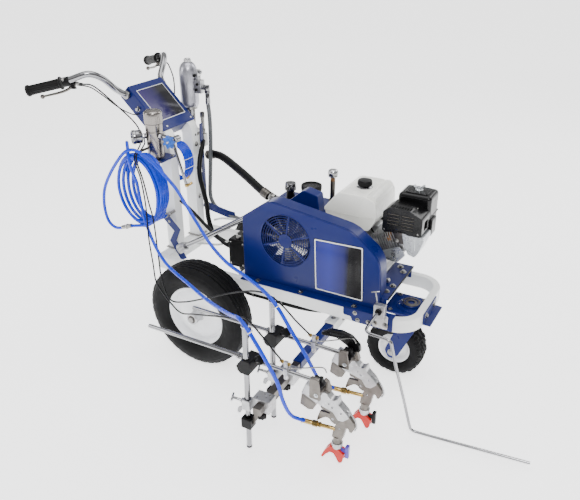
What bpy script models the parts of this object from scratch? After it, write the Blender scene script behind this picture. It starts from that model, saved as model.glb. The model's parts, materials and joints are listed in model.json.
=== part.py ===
"""Walk-behind line striping machine: frame, engine drive, paint pump and two spray guns.

The machine frame has X forward, Y towards the far side and Z up, with its zero on the floor
under the middle of the rear axle.  MACHINE_AT places that frame so that the whole machine is
centred on the world origin.  "near" is the side that carries the guns (-Y), "far" the other.
"""
import math

import bmesh
import bpy
from mathutils import Matrix, Vector

# ---------------------------------------------------------------- driving dimensions (metres)
MACHINE_AT = (-0.2504, 0.1411, 0.0)
GAP = 0.0003                    # clearance between touching pieces
SLIDE_FIT = 0.0006              # clearance between a sliding or turning piece and its bore
OVERCUT = 0.010                 # how far a cutting solid runs past the face it opens
WELD = 0.005                    # how far a welded piece runs into its neighbour
STEP = 0.003                    # how far a cross bar's faces stand inside the rail's

# Frame
RAIL_HALF = 0.165               # outer half width of the rail loop
RAIL_WIDE = 0.025
RAIL_TOP = 0.300
RAIL_BOTTOM = 0.253
LOOP_FRONT = 0.727
LOOP_REAR = -0.262
POINTER_Z = 0.331               # height of the pointer rod's pivot
LOOP_CORNER = 0.085             # outer corner radius of the loop
REAR_CORNER = 0.020
REAR_BAR = 0.045                # width of the loop's rear cross bar
CROSS_BARS = (0.085, 0.413)     # rear faces of the two inner cross bars
CROSS_BAR = 0.030
CARRIER_Y = (0.140, 0.156)      # axle carrier plate
CARRIER_HALF = 0.030
CARRIER_LOW = 0.164
AXLE_TUBE_R = 0.021
AXLE_TUBE_HALF = 0.158
AXLE_HALF = 0.322
SLEEVE_WALL = 0.0045
SLEEVE_Y = (-0.135, 0.100)
HANGER_Y = (0.020, 0.080)       # plate that hangs the sleeve from a cross bar
HANGER_HALF = 0.012

# Rear wheels
AXLE_Z = 0.188
TYRE_R = 0.188
TYRE_WIDE = 0.098
RIM_R = 0.111
WHEEL_Y = 0.260
AXLE_R = 0.0095
HUB_TUBE_R = 0.020
HUB_TUBE_HALF = 0.056
SEAT_SHARE = 0.66               # where the bead sits, as a share of the tyre's half width

# Caster
CASTER_X = 0.660
FRONT_AXLE = (0.623, 0.0, 0.0995)
FRONT_TYRE_R = 0.0995
FRONT_TYRE_WIDE = 0.086
FRONT_RIM_R = 0.058
FRONT_HUB = (0.014, 0.049)      # radius and half length
FRONT_PIN_R = 0.006
FRONT_PIN_HALF = 0.062
SWIVEL_PLATE = ((0.585, 0.7017), (-0.064, 0.064), (0.256, 0.263))
SWIVEL_TOP = 0.280
SWIVEL_R = 0.024
STEM_R = 0.010
STEM_TOP = 0.2735
CROWN = ((0.625, 0.695), (-0.0565, 0.0565), (0.2415, 0.2485))
LEG_Y = (0.0515, 0.0565)

# Columns and console
COLUMN_X = -0.238
COLUMN_Y = 0.066
COLUMN_DEEP = 0.045
COLUMN_WIDE = 0.040
BEND = 44.0                     # how far the columns turn back, degrees
EDGE = 0.003                    # bevel on folded and square-tube edges
CONSOLE_LOW = (-0.231, 0.752)   # front lower edge of the sloped face (x, z)
CONSOLE_HIGH = (-0.371, 0.889)  # rear upper edge of the sloped face
CONSOLE_HALF = 0.091
CONSOLE_DEEP = 0.055
BAR_R = 0.011                   # handlebar tube
GRIP_R = 0.016
GRIP_START = (-0.505, 0.251, 0.918)
GRIP_END = (-0.610, 0.307, 0.891)
BAR_FOOT = (-0.374, CONSOLE_HALF + 0.0003, 0.861)
FOOT_R = 0.0135
FOOT_DEEP = 0.014
BAR_ROUTE = [(-0.376, 0.1015, 0.863), (-0.398, 0.122, 0.884), (-0.412, 0.163, 0.925), (-0.436, 0.198, 0.943),
             (-0.475, 0.232, 0.930)]
PERCH_BACK = 0.016              # lever perch, this far before the grip
PERCH_HALF = 0.013
PERCH_R = 0.016
FLANGE_R = 0.021                # the grip's inner flange, and its outer one
END_FLANGE_R = 0.019
LEVER_PIVOT = (-0.486, 0.221, 0.905)
LEVER_REACH = 0.112             # along the grip
LEVER_DROP = Vector((0, 0, -0.012))
LEVER_R = 0.0042
BALL_R = 0.0075
HUB_R = 0.007
HUB_HALF = 0.006
CABLE_STOP = ((-0.489, 0.232, 0.917), (-0.458, 0.221, 0.914))

# Paint side
FILTER_XY = (-0.222, -0.150)
FILTER_R = 0.029
FILTER_Z = (0.6803, 0.842)
SHELF_Z = (0.668, 0.673)
OUTLET_Z = 0.640
VALVE_Z = 0.756
DRAIN_END = (-0.093, -0.165, 0.600)
KNOB_AT = (-0.128, -0.196, 0.756)
KNOB_R = 0.0185
KNOB_WAVE = 0.0042              # how far the knob's lobes stand in and out
KNOB_HALF = 0.0075
LOBES = 7
GAUGE_AT = (-0.268, -0.190, 0.752)
GAUGE_R = 0.024
GAUGE_BACK = 0.018
GAUGE_FRONT = 0.014
PUMP_XY = (-0.275, 0.1275)
MOTOR_R = 0.033
MOTOR_Z = (0.785, 0.956)
PUMP_TOP = 0.700
PUMP_LOW = 0.410
PUMP_R = (0.021, 0.026)         # tube and end fittings
TIE_Y = 0.019
TIE_R = 0.0045
ROD_BORE = 0.0085
PISTON_R = 0.0075
COUPLER = (0.0125, 0.014)       # radius and half length
SUCTION = ((-0.186, -0.100, 0.322), (0.094, -0.100, 0.500))
SUCTION_R = 0.010
SUCTION_NUT_R = 0.019

# Drive
GUARD_FACE = -0.140             # outer face of the belt guard
GUARD_BACK = -0.080
SHEET = 0.003
FAN_AT = (0.266, 0.468)         # axis of the driven pulley and its fan (x, z)
FAN_HOLE_R = 0.090
GRILLE_HUB_R = 0.024
GRILLE_RING_R = (0.058, 0.062)
GRILLE_THICK = 0.0025
SPOKES = 6
GUARD_OUTLINE = [(0.106, 0.522), (0.206, 0.596), (0.492, 0.553), (0.592, 0.475)]
GUARD_X = (0.106, 0.600)
FLANGE_FRONT = 0.655
SKIRT_REAR = 0.490
SKIRT_LOW = 0.257
SHAFT_AT = (0.470, 0.430)       # engine shaft axis (x, z)
BELT_Y = -0.104
PULLEY_R = (0.034, 0.060)       # engine pulley and fan pulley
BLADES = 6
PLATE_TOP = 0.345               # engine plate
PLATE_X = (0.360, 0.622)
PLATE_THICK = 0.005
PLATE_NEAR = -0.130
PLATE_FAR = 0.118
CASE_X = (0.402, 0.545)
CASE_Y = (-0.062, 0.118)
CASE_TOP = 0.488
SHAFT_R = 0.010
CYLINDER_TILT = 25.0            # degrees above level
CYLINDER_ROOT = (0.515, 0.022, 0.448)
FINS = 6
ELBOW_OUTLINE = [(0.628, 0.5297), (0.690, 0.5297), (0.692, 0.515), (0.674, 0.468), (0.658, 0.456),
                 (0.640, 0.470)]
COVER_OUTLINE = [(0.556, 0.530), (0.682, 0.530), (0.682, 0.590), (0.640, 0.610), (0.575, 0.612),
                 (0.556, 0.596)]
COVER_Y = (-0.042, 0.0325)
CLEANER = ((0.574, 0.681), (0.033, 0.124), (0.530, 0.638))
CLEANER_STUD = (0.628, 0.078)
TANK_OUTLINE = [(0.362, 0.505), (0.505, 0.505), (0.526, 0.545), (0.522, 0.606), (0.480, 0.622),
                (0.395, 0.622), (0.346, 0.560)]
TANK_Y = (-0.022, 0.160)
CAP_AT = (0.452, 0.060, 0.637)
STARTER_R = 0.074
STARTER_Y = (0.1183, 0.170)
RESERVOIR_OUTLINE = [(0.130, 0.3003), (0.340, 0.3003), (0.340, 0.500), (0.330, 0.530), (0.322, 0.592),
                     (0.270, 0.604), (0.203, 0.545), (0.130, 0.530)]
RESERVOIR_FAR = 0.125
RESERVOIR_TOP = 0.530
OIL_NECK = (0.182, 0.055)
OIL_CAN = (0.257, 0.066)
BREATHER = (0.316, 0.110)
MANIFOLD = ((0.018, 0.084), (-0.100, -0.020), (0.3003, 0.405))

# Spray guns: post (x, y), rod, cable anchor, and the gun's own place (x, y, lift)
GUN_ARMS = {
    "near": {"post": (0.388, -0.585), "rod_y": -0.557, "rod_rear": 0.032, "anchor_x": 0.489,
             "gun": (0.640, -0.515, 0.0)},
    "far": {"post": (0.388, -0.441), "rod_y": -0.413, "rod_rear": 0.088, "anchor_x": 0.501,
            "gun": (0.658, -0.360, 0.010)},
}
POST_R = 0.008
POST_Z = (0.030, 0.442)
ROD_R = 0.0062
ROD_Z = 0.315
ROD_TO_GUN = 0.069              # rod end behind the gun's nozzle axis
ARM_X = 0.428                   # cross arm axis
ARM_Z = 0.183
ARM_HALF = 0.0145
LUG_Z = (0.102, 0.136)          # clamp lug at a post's lower end
CLAMP_HALF = 0.019              # clamp that holds a rod to its post
CLAMP_RISE = 0.020
ANCHOR_TOP = 0.346              # cable anchor on the rod
HOSE_R = 0.0055
CABLE_R = 0.0025


# ---------------------------------------------------------------- scene and materials
def clear_scene():
    for thing in list(bpy.data.objects):
        bpy.data.objects.remove(thing, do_unlink=True)


def paint(name, colour, rough, metal=0.0):
    material = bpy.data.materials.new(name)
    material.use_nodes = True
    shader = material.node_tree.nodes["Principled BSDF"]
    shader.inputs["Base Color"].default_value = (*colour, 1.0)
    shader.inputs["Roughness"].default_value = rough
    shader.inputs["Metallic"].default_value = metal
    return material


def make_materials():
    return {
        "blue": paint("blue_enamel", (0.005, 0.018, 0.19), 0.30),
        "white": paint("white_enamel", (0.72, 0.72, 0.70), 0.35),
        "steel": paint("zinc_steel", (0.55, 0.54, 0.52), 0.32, 1.0),
        "chrome": paint("chrome_tube", (0.70, 0.70, 0.70), 0.12, 1.0),
        "alloy": paint("cast_alloy", (0.62, 0.62, 0.63), 0.42, 1.0),
        "tyre": paint("tyre_rubber", (0.012, 0.012, 0.013), 0.75),
        "rubber": paint("grip_rubber", (0.014, 0.014, 0.015), 0.65),
        "rim": paint("rim_white", (0.78, 0.79, 0.82), 0.30),
        "black": paint("black_enamel", (0.012, 0.012, 0.013), 0.32),
        "ivory": paint("ivory_tank", (0.80, 0.78, 0.70), 0.30),
        "hose": paint("blue_hose", (0.004, 0.075, 0.80), 0.35),
        "cable": paint("black_cable", (0.012, 0.012, 0.013), 0.50),
        "key": paint("violet_plastic", (0.25, 0.20, 0.75), 0.40),
        "knob": paint("blue_plastic", (0.03, 0.16, 0.50), 0.40),
        "belt": paint("belt_rubber", (0.02, 0.02, 0.02), 0.80),
    }


# ---------------------------------------------------------------- solid helpers
def finish(name, mesh_or_bm, material, pivot=(0, 0, 0), parent=None, smooth=32):
    """Link one closed solid, drawn in machine coordinates, with its origin at pivot."""
    if isinstance(mesh_or_bm, bmesh.types.BMesh):
        bm = mesh_or_bm
        mesh = bpy.data.meshes.new(name)
    else:
        mesh = mesh_or_bm
        mesh.name = name
        bm = bmesh.new()
        bm.from_mesh(mesh)
    bmesh.ops.translate(bm, verts=bm.verts, vec=-Vector(pivot))
    bmesh.ops.recalc_face_normals(bm, faces=bm.faces)
    bm.to_mesh(mesh)
    bm.free()
    mesh.materials.clear()
    mesh.materials.append(MATERIALS[material])
    mesh.shade_smooth()
    mesh.set_sharp_from_angle(angle=math.radians(smooth))
    thing = bpy.data.objects.new(name, mesh)
    bpy.context.collection.objects.link(thing)
    place(thing, pivot, parent)
    return thing


def place(thing, pivot, parent):
    """Put an object at pivot in machine coordinates, under an optional parent object."""
    thing.parent = parent or MACHINE
    origin = Vector(pivot)
    if parent is not None:
        origin = origin - PIVOTS[parent.name]
    thing.location = origin
    PIVOTS[thing.name] = Vector(pivot)


def box(x, y, z):
    """A block from three (low, high) pairs."""
    bm = bmesh.new()
    bmesh.ops.create_cube(bm, size=1.0)
    middle = Vector(((x[0] + x[1]) / 2, (y[0] + y[1]) / 2, (z[0] + z[1]) / 2))
    spans = (x[1] - x[0], y[1] - y[0], z[1] - z[0])
    bmesh.ops.scale(bm, verts=bm.verts, vec=spans)
    bmesh.ops.translate(bm, verts=bm.verts, vec=middle)
    return bm


def block(middle, size, turn=0.0, axis="Y"):
    """A block about a middle point, turned by an angle in degrees about one axis."""
    half = [s / 2 for s in size]
    bm = box((-half[0], half[0]), (-half[1], half[1]), (-half[2], half[2]))
    spin = Matrix.Rotation(math.radians(turn), 4, axis)
    bmesh.ops.transform(bm, verts=bm.verts, matrix=Matrix.Translation(Vector(middle)) @ spin)
    return bm


def bevelled(bm, width, segments=2, angle=40):
    """Round every edge sharper than the angle."""
    bmesh.ops.recalc_face_normals(bm, faces=bm.faces)
    limit = math.radians(angle)
    edges = [e for e in bm.edges if len(e.link_faces) == 2 and e.calc_face_angle(0) > limit]
    bmesh.ops.bevel(bm, geom=edges, offset=width, segments=segments, profile=0.5, affect="EDGES",
                    clamp_overlap=True)
    return bm


def rod(start, end, radius, sides=16, end_radius=None):
    """A round bar, or a cone, between two points."""
    start = Vector(start)
    end = Vector(end)
    along = end - start
    bm = bmesh.new()
    bmesh.ops.create_cone(bm, cap_ends=True, segments=sides, radius1=radius,
                          radius2=radius if end_radius is None else end_radius, depth=along.length)
    spin = along.to_track_quat("Z", "Y").to_matrix().to_4x4()
    bmesh.ops.transform(bm, verts=bm.verts, matrix=Matrix.Translation((start + end) / 2) @ spin)
    return bm


def lathe(profile, origin, axis="Y", sides=32):
    """Turn a closed profile of (radius, along) points about an axis through origin."""
    bm = bmesh.new()
    rings = []
    for step in range(sides):
        angle = 2 * math.pi * step / sides
        c = math.cos(angle)
        s = math.sin(angle)
        ring = []
        for radius, along in profile:
            local = {"Y": (radius * c, along, radius * s), "Z": (radius * c, radius * s, along),
                     "X": (along, radius * c, radius * s)}[axis]
            ring.append(bm.verts.new(Vector(origin) + Vector(local)))
        rings.append(ring)
    count = len(profile)
    for step in range(sides):
        here = rings[step]
        there = rings[(step + 1) % sides]
        for k in range(count):
            bm.faces.new((here[k], here[(k + 1) % count], there[(k + 1) % count], there[k]))
    bmesh.ops.remove_doubles(bm, verts=bm.verts, dist=1e-6)
    bmesh.ops.recalc_face_normals(bm, faces=bm.faces)
    return bm


def fillet(points, radii, steps=5):
    """Round the corners of a flat outline with arcs of the given radii."""
    outline = []
    count = len(points)
    for k in range(count):
        corner = Vector(points[k])
        radius = radii[k]
        if radius <= 0:
            outline.append(tuple(corner))
            continue
        back = (Vector(points[k - 1]) - corner).normalized()
        ahead = (Vector(points[(k + 1) % count]) - corner).normalized()
        half = back.angle(ahead) / 2
        reach = radius / math.tan(half)
        centre = corner + (back + ahead).normalized() * (radius / math.sin(half))
        first = corner + back * reach - centre
        last = corner + ahead * reach - centre
        sweep = first.angle(last)
        side = 1 if first.x * last.y - first.y * last.x > 0 else -1
        for step in range(steps + 1):
            angle = side * sweep * step / steps
            c = math.cos(angle)
            s = math.sin(angle)
            outline.append((centre.x + first.x * c - first.y * s, centre.y + first.x * s + first.y * c))
    return outline


def slab(outline, low, high, plane="XZ"):
    """Extrude a flat outline: XZ outlines along Y, XY along Z and YZ along X."""
    bm = bmesh.new()

    def put(a, b, depth):
        return {"XZ": (a, depth, b), "XY": (a, b, depth), "YZ": (depth, a, b)}[plane]

    bottom = [bm.verts.new(put(a, b, low)) for a, b in outline]
    face = bm.faces.new(bottom)
    grown = bmesh.ops.extrude_face_region(bm, geom=[face])
    raised = [v for v in grown["geom"] if isinstance(v, bmesh.types.BMVert)]
    shift = Vector(put(0, 0, high - low))
    bmesh.ops.translate(bm, verts=raised, vec=shift)
    bmesh.ops.recalc_face_normals(bm, faces=bm.faces)
    return bm


def circle(centre, radius, steps=24, start=0.0):
    return [(centre[0] + radius * math.cos(start + 2 * math.pi * k / steps),
             centre[1] + radius * math.sin(start + 2 * math.pi * k / steps)) for k in range(steps)]


def moved(bm, matrix):
    bmesh.ops.transform(bm, verts=bm.verts, matrix=matrix)
    return bm


def guide(bm):
    """A temporary object for a Boolean."""
    mesh = bpy.data.meshes.new("guide")
    bmesh.ops.recalc_face_normals(bm, faces=bm.faces)
    bm.to_mesh(mesh)
    bm.free()
    thing = bpy.data.objects.new("guide", mesh)
    bpy.context.collection.objects.link(thing)
    thing.hide_render = True
    thing.display_type = "WIRE"
    return thing


def combine(base, added=(), cut=()):
    """Union the added solids with the base, then cut; returns one mesh."""
    body = guide(base)
    helpers = []
    for mode, group in (("UNION", added), ("DIFFERENCE", cut)):
        for piece in group:
            tool = guide(piece)
            helpers.append(tool)
            step = body.modifiers.new("join", "BOOLEAN")
            step.operation = mode
            step.solver = "EXACT"
            step.object = tool
    graph = bpy.context.evaluated_depsgraph_get()
    mesh = bpy.data.meshes.new_from_object(body.evaluated_get(graph))
    for thing in helpers + [body]:
        bpy.data.objects.remove(thing, do_unlink=True)
    return mesh


def as_bmesh(mesh):
    bm = bmesh.new()
    bm.from_mesh(mesh)
    return bm


def smooth_route(points, spacing):
    """Even points along a smooth curve through the route's own points."""
    route = [Vector(p) for p in points]
    ends = [route[0] * 2 - route[1]] + route + [route[-1] * 2 - route[-2]]
    fine = []
    for k in range(1, len(ends) - 2):
        before, start, stop, after = ends[k - 1:k + 3]
        for step in range(24):
            t = step / 24
            fine.append(0.5 * (2 * start + (stop - before) * t
                               + (2 * before - 5 * start + 4 * stop - after) * t ** 2
                               + (3 * start - before - 3 * stop + after) * t ** 3))
    fine.append(route[-1])
    travel = [0.0]
    for a, b in zip(fine, fine[1:]):
        travel.append(travel[-1] + (b - a).length)
    count = max(2, round(travel[-1] / spacing))
    even = []
    k = 0
    for step in range(count + 1):
        goal = travel[-1] * step / count
        while k < len(travel) - 2 and travel[k + 1] < goal:
            k += 1
        share = (goal - travel[k]) / (travel[k + 1] - travel[k])
        even.append(fine[k].lerp(fine[k + 1], share))
    return even


def tube_curve(points, radius, resolution):
    curve = bpy.data.curves.new("route", "CURVE")
    curve.dimensions = "3D"
    curve.bevel_depth = radius
    curve.bevel_resolution = resolution
    curve.use_fill_caps = True
    spline = curve.splines.new("POLY")
    spline.points.add(len(points) - 1)
    for slot, point in zip(spline.points, points):
        slot.co = (*point, 1.0)
    return curve


def tube(name, points, radius, material, spacing=None, resolution=2):
    """A hose, cable or bent tube along a smooth route, as a curve object."""
    even = smooth_route(points, spacing or radius * 5)
    thing = bpy.data.objects.new(name, tube_curve(even, radius, resolution))
    thing.data.materials.append(MATERIALS[material])
    bpy.context.collection.objects.link(thing)
    place(thing, (0, 0, 0), None)
    return thing


def tube_solid(points, radius, spacing, resolution=2):
    """The same tube as a bmesh, for joining with other solids."""
    thing = bpy.data.objects.new("guide", tube_curve(smooth_route(points, spacing), radius, resolution))
    bpy.context.collection.objects.link(thing)
    graph = bpy.context.evaluated_depsgraph_get()
    mesh = bpy.data.meshes.new_from_object(thing.evaluated_get(graph))
    bm = bmesh.new()
    bm.from_mesh(mesh)
    bmesh.ops.remove_doubles(bm, verts=bm.verts, dist=1e-6)
    bpy.data.objects.remove(thing, do_unlink=True)
    return bm


def mirrored(point, side):
    """A point given for the far side, on the near or the far side."""
    return (point[0], point[1] * side, point[2])


# ---------------------------------------------------------------- frame
def make_chassis():
    inner = RAIL_HALF - RAIL_WIDE
    outer_loop = fillet([(LOOP_REAR, -RAIL_HALF), (LOOP_FRONT, -RAIL_HALF),
                         (LOOP_FRONT, RAIL_HALF), (LOOP_REAR, RAIL_HALF)],
                        [REAR_CORNER, LOOP_CORNER, LOOP_CORNER, REAR_CORNER], steps=6)
    front = LOOP_FRONT - RAIL_WIDE
    rear = LOOP_REAR + REAR_BAR
    corner = LOOP_CORNER - RAIL_WIDE
    inner_loop = fillet([(rear, -inner), (front, -inner), (front, inner), (rear, inner)],
                        [RAIL_WIDE / 5, corner, corner, RAIL_WIDE / 5], steps=6)
    loop = slab(outer_loop, RAIL_BOTTOM, RAIL_TOP, "XY")
    opening = slab(inner_loop, RAIL_BOTTOM - OVERCUT, RAIL_TOP + OVERCUT, "XY")
    reach = inner + WELD
    members = [box((x, x + CROSS_BAR), (-reach, reach), (RAIL_BOTTOM + STEP, RAIL_TOP - STEP))
               for x in CROSS_BARS]
    for side in (-1, 1):
        face = sorted((side * CARRIER_Y[0], side * CARRIER_Y[1]))
        members.append(box((-CARRIER_HALF, CARRIER_HALF), face, (CARRIER_LOW, RAIL_BOTTOM + WELD)))
    members.append(rod((0, -AXLE_TUBE_HALF, AXLE_Z), (0, AXLE_TUBE_HALF, AXLE_Z), AXLE_TUBE_R, 20))
    members.append(rod((0, -AXLE_HALF, AXLE_Z), (0, AXLE_HALF, AXLE_Z), AXLE_R, 16))
    outside = ARM_HALF + SLEEVE_WALL
    inside = ARM_HALF + GAP
    members.append(box((ARM_X - outside, ARM_X + outside), SLEEVE_Y, (ARM_Z - outside, ARM_Z + outside)))
    members.append(box((ARM_X - HANGER_HALF, ARM_X + HANGER_HALF), HANGER_Y,
                       (ARM_Z + ARM_HALF + SLEEVE_WALL / 2, RAIL_BOTTOM + WELD)))
    socket = box((ARM_X - inside, ARM_X + inside), (SLEEVE_Y[0] - OVERCUT, SLEEVE_Y[1] + OVERCUT),
                 (ARM_Z - inside, ARM_Z + inside))
    finish("chassis", combine(as_bmesh(combine(loop, cut=[opening])), members, [socket]), "white")


def console_axes():
    """Unit vectors up the sloped face and out of it, in the (x, z) plane."""
    up = (Vector(CONSOLE_HIGH) - Vector(CONSOLE_LOW)).normalized()
    out = Vector((up.y, -up.x))
    return up, out


def make_columns():
    """Two upright tubes that bend back into the console's lower end."""
    up, out = console_axes()
    end_mid = Vector(CONSOLE_LOW) - out * (CONSOLE_DEEP / 2) - up * GAP
    meet = end_mid - up * ((end_mid.x - COLUMN_X) / up.x)
    half = COLUMN_DEEP / 2
    front = COLUMN_X + half
    rear = COLUMN_X - half
    lift = half * math.tan(math.radians(BEND / 2))
    outline = [(rear, RAIL_TOP + GAP), (front, RAIL_TOP + GAP), (front, meet.y + lift)]
    outline += [tuple(end_mid + out * half), tuple(end_mid - out * half), (rear, meet.y - lift)]
    outline = fillet(outline, [0, 0, 0.05, 0, 0, 0.012], steps=5)
    for word, side in (("near", -1), ("far", 1)):
        low, high = sorted((side * (COLUMN_Y - COLUMN_WIDE / 2), side * (COLUMN_Y + COLUMN_WIDE / 2)))
        bm = bevelled(slab(outline, low, high), EDGE, 1, 60)
        finish(f"{word}_column", bm, "white")


def make_console():
    up, out = console_axes()
    low = Vector(CONSOLE_LOW)
    high = Vector(CONSOLE_HIGH)
    outline = [tuple(p) for p in (low, high, high - out * CONSOLE_DEEP, low - out * CONSOLE_DEEP)]
    finish("console_box", bevelled(slab(outline, -CONSOLE_HALF, CONSOLE_HALF), EDGE, 1), "blue")


def make_handlebars():
    """Each bar leaves the console's side, sweeps up and back, and carries a grip and a lever."""
    for word, side in (("near", -1), ("far", 1)):
        start = Vector(mirrored(GRIP_START, side))
        end = Vector(mirrored(GRIP_END, side))
        along = (end - start).normalized()
        perch_at = start - along * PERCH_BACK
        bar = tube_solid([mirrored(p, side) for p in BAR_ROUTE] + [perch_at], BAR_R, 0.016)
        pivot = Vector(mirrored(LEVER_PIVOT, side))
        perch = rod(perch_at - along * PERCH_HALF, perch_at + along * PERCH_HALF, PERCH_R, 16)
        across = (pivot - perch_at).normalized()
        yoke = rod(perch_at + across * WELD, pivot - across * (HUB_R + WELD - SLIDE_FIT), 0.008, 10)
        stop = rod(mirrored(CABLE_STOP[0], side), mirrored(CABLE_STOP[1], side), 0.004, 10)
        foot = Vector(mirrored(BAR_FOOT, side))
        socket = rod(foot, foot + Vector((0, side * FOOT_DEEP, 0)), FOOT_R, 16)
        finish(f"{word}_handlebar", combine(bar, [perch, yoke, stop, socket]), "steel")
        collar = rod(start + along * GAP, start + along * HUB_HALF, FLANGE_R, 20)
        grip = rod(start + along * HUB_HALF / 2, end, GRIP_R, 20)
        cap = rod(end - along * FOOT_DEEP / 2, end, END_FLANGE_R, 20)
        finish(f"{word}_grip", combine(grip, [collar, cap]), "rubber")
        make_lever(word, pivot, along)


def make_lever(word, pivot, along):
    """A bent lever with a ball end, below and inboard of the grip."""
    tip = pivot + along * LEVER_REACH + LEVER_DROP
    middle = pivot + along * LEVER_REACH * 0.45 + LEVER_DROP
    rise = Vector((0, 0, HUB_HALF))
    hub = rod(pivot - rise, pivot + rise, HUB_R, 14)
    blade = tube_solid([pivot, middle, tip], LEVER_R, 0.014)
    ball = bmesh.new()
    bmesh.ops.create_icosphere(ball, subdivisions=2, radius=BALL_R)
    moved(ball, Matrix.Translation(tip))
    finish(f"{word}_lever", combine(hub, [blade, ball]), "steel", tuple(pivot))


# ---------------------------------------------------------------- wheels
def tyre_profile(radius, rim, wide):
    """Section of a pneumatic tyre, (radius, y), rim seat to tread and back."""
    half = wide / 2
    seat = half * SEAT_SHARE
    right = [(rim + 0.002, seat), (rim + (radius - rim) * 0.22, half * 0.93),
             (rim + (radius - rim) * 0.52, half), (rim + (radius - rim) * 0.80, half * 0.86),
             (radius * 0.985, half * 0.55), (radius, 0.0)]
    left = [(r, -y) for r, y in reversed(right[:-1])]
    return right + left


def rim_profile(rim, wide, hub_r, hub_half, bore):
    """Section of a pressed rim with a dished disc and a hub tube."""
    half = wide / 2
    seat = half * SEAT_SHARE
    return [(rim, seat), (rim - 0.006, seat + 0.004), (rim - 0.012, seat - 0.006), (rim - 0.016, 0.012),
            (hub_r, 0.012), (hub_r, hub_half), (bore, hub_half), (bore, -hub_half), (hub_r, -hub_half),
            (hub_r, -0.002), (rim - 0.016, 0.000), (rim - 0.012, -seat + 0.006), (rim - 0.006, -seat - 0.004),
            (rim, -seat)]


def make_rear_wheels():
    for word, side in (("near", -1), ("far", 1)):
        hub = (0, side * WHEEL_Y, AXLE_Z)
        finish(f"{word}_tyre", lathe(tyre_profile(TYRE_R, RIM_R, TYRE_WIDE), hub, "Y", 32), "tyre", hub)
        profile = [(r, y * side) for r, y in
                   rim_profile(RIM_R, TYRE_WIDE, HUB_TUBE_R, HUB_TUBE_HALF, AXLE_R + SLIDE_FIT)]
        finish(f"{word}_rim", lathe(profile, hub, "Y", 24), "rim", hub)


def make_caster():
    plate = bevelled(box(*SWIVEL_PLATE), 0.002, 1)
    tower = rod((CASTER_X, 0, SWIVEL_PLATE[2][1] - STEP), (CASTER_X, 0, SWIVEL_TOP), SWIVEL_R, 24)
    bore = rod((CASTER_X, 0, CROWN[2][0]), (CASTER_X, 0, STEM_TOP + SLIDE_FIT), STEM_R + SLIDE_FIT, 16)
    finish("caster_plate", combine(plate, [tower], [bore]), "blue")
    stem = rod((CASTER_X, 0, CROWN[2][0] + STEP), (CASTER_X, 0, STEM_TOP), STEM_R, 16)
    bearing = rod((CASTER_X, 0, CROWN[2][0] + WELD), (CASTER_X, 0, SWIVEL_PLATE[2][0] - GAP), 0.028, 24)
    added = [stem, bearing]
    x, _, z = FRONT_AXLE
    top = CROWN[2][1] - SLIDE_FIT
    leg = [(CROWN[0][0] + 0.002, top), (CROWN[0][1] - 0.002, top), (CROWN[0][1] - 0.002, z + 0.1005),
           (x + 0.022, z - 0.004), (x + 0.010, z - 0.020), (x - 0.012, z - 0.018), (x - 0.022, z + 0.004),
           (CROWN[0][0] + 0.005, z + 0.0905)]
    for side in (-1, 1):
        added.append(slab(leg, *sorted((side * LEG_Y[0], side * LEG_Y[1]))))
    added.append(rod((x, -FRONT_PIN_HALF, z), (x, FRONT_PIN_HALF, z), FRONT_PIN_R, 12))
    finish("caster_fork", combine(box(*CROWN), added), "blue", (CASTER_X, 0, CROWN[2][1]))
    finish("front_tyre", lathe(tyre_profile(FRONT_TYRE_R, FRONT_RIM_R, FRONT_TYRE_WIDE), FRONT_AXLE, "Y", 28),
           "tyre", FRONT_AXLE)
    rim = rim_profile(FRONT_RIM_R, FRONT_TYRE_WIDE, *FRONT_HUB, FRONT_PIN_R + SLIDE_FIT)
    finish("front_rim", lathe(rim, FRONT_AXLE, "Y", 18), "rim", FRONT_AXLE)


BUMPER_Y = (-0.092, 0.036)
BUMPER_LOW = 0.262
POINTER_FOOT = (0.592, 0.640)
POINTER_EAR = (0.598, 0.634)
POINTER_X = 0.615
POINTER_R = 0.0045
POINTER_ROUTE = [(0.615, -0.200, POINTER_Z), (0.615, -0.215, POINTER_Z), (0.615, -0.262, 0.330),
                 (0.617, -0.294, 0.330), (0.628, -0.303, 0.327), (0.655, -0.305, 0.326),
                 (0.688, -0.305, 0.323), (0.699, -0.305, 0.315), (0.703, -0.305, 0.300),
                 (0.722, -0.305, 0.230), (0.752, -0.305, 0.130), (0.776, -0.303, 0.042),
                 (0.784, -0.301, 0.027), (0.800, -0.299, 0.023), (0.860, -0.293, 0.022),
                 (0.980, -0.281, 0.022), (1.120, -0.267, 0.022)]


def make_front_brackets():
    """Folded plate on the bumper, and the clamp that the marking pointer's rod turns in."""
    x = LOOP_FRONT + GAP
    thick = 0.004
    deep = 0.026
    plate = slab([(x, RAIL_TOP), (x + thick, RAIL_TOP), (x + thick, BUMPER_LOW + thick + 0.002),
                  (x + deep, BUMPER_LOW + thick), (x + deep, BUMPER_LOW), (x, BUMPER_LOW)], *BUMPER_Y)
    finish("bumper_bracket", plate, "blue")
    face = -RAIL_HALF - SHEET - GAP * 2
    foot = box(POINTER_FOOT, (face - thick, face), (BUMPER_LOW, BUMPER_LOW + 0.048))
    ear = box(POINTER_EAR, (face - 0.022, face), (RAIL_TOP + 0.002, RAIL_TOP + 0.052))
    bore = rod((POINTER_X, face - 0.030, POINTER_Z), (POINTER_X, face + OVERCUT, POINTER_Z),
               POINTER_R + SLIDE_FIT, 16)
    finish("pointer_bracket", combine(foot, [ear], [bore]), "steel")
    start = (POINTER_X, face - 0.001, POINTER_Z)
    arm = tube_solid([start] + POINTER_ROUTE, POINTER_R, 0.016, 1)
    finish("pointer_rod", arm, "steel", (POINTER_X, face - 0.011, POINTER_Z))


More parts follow.
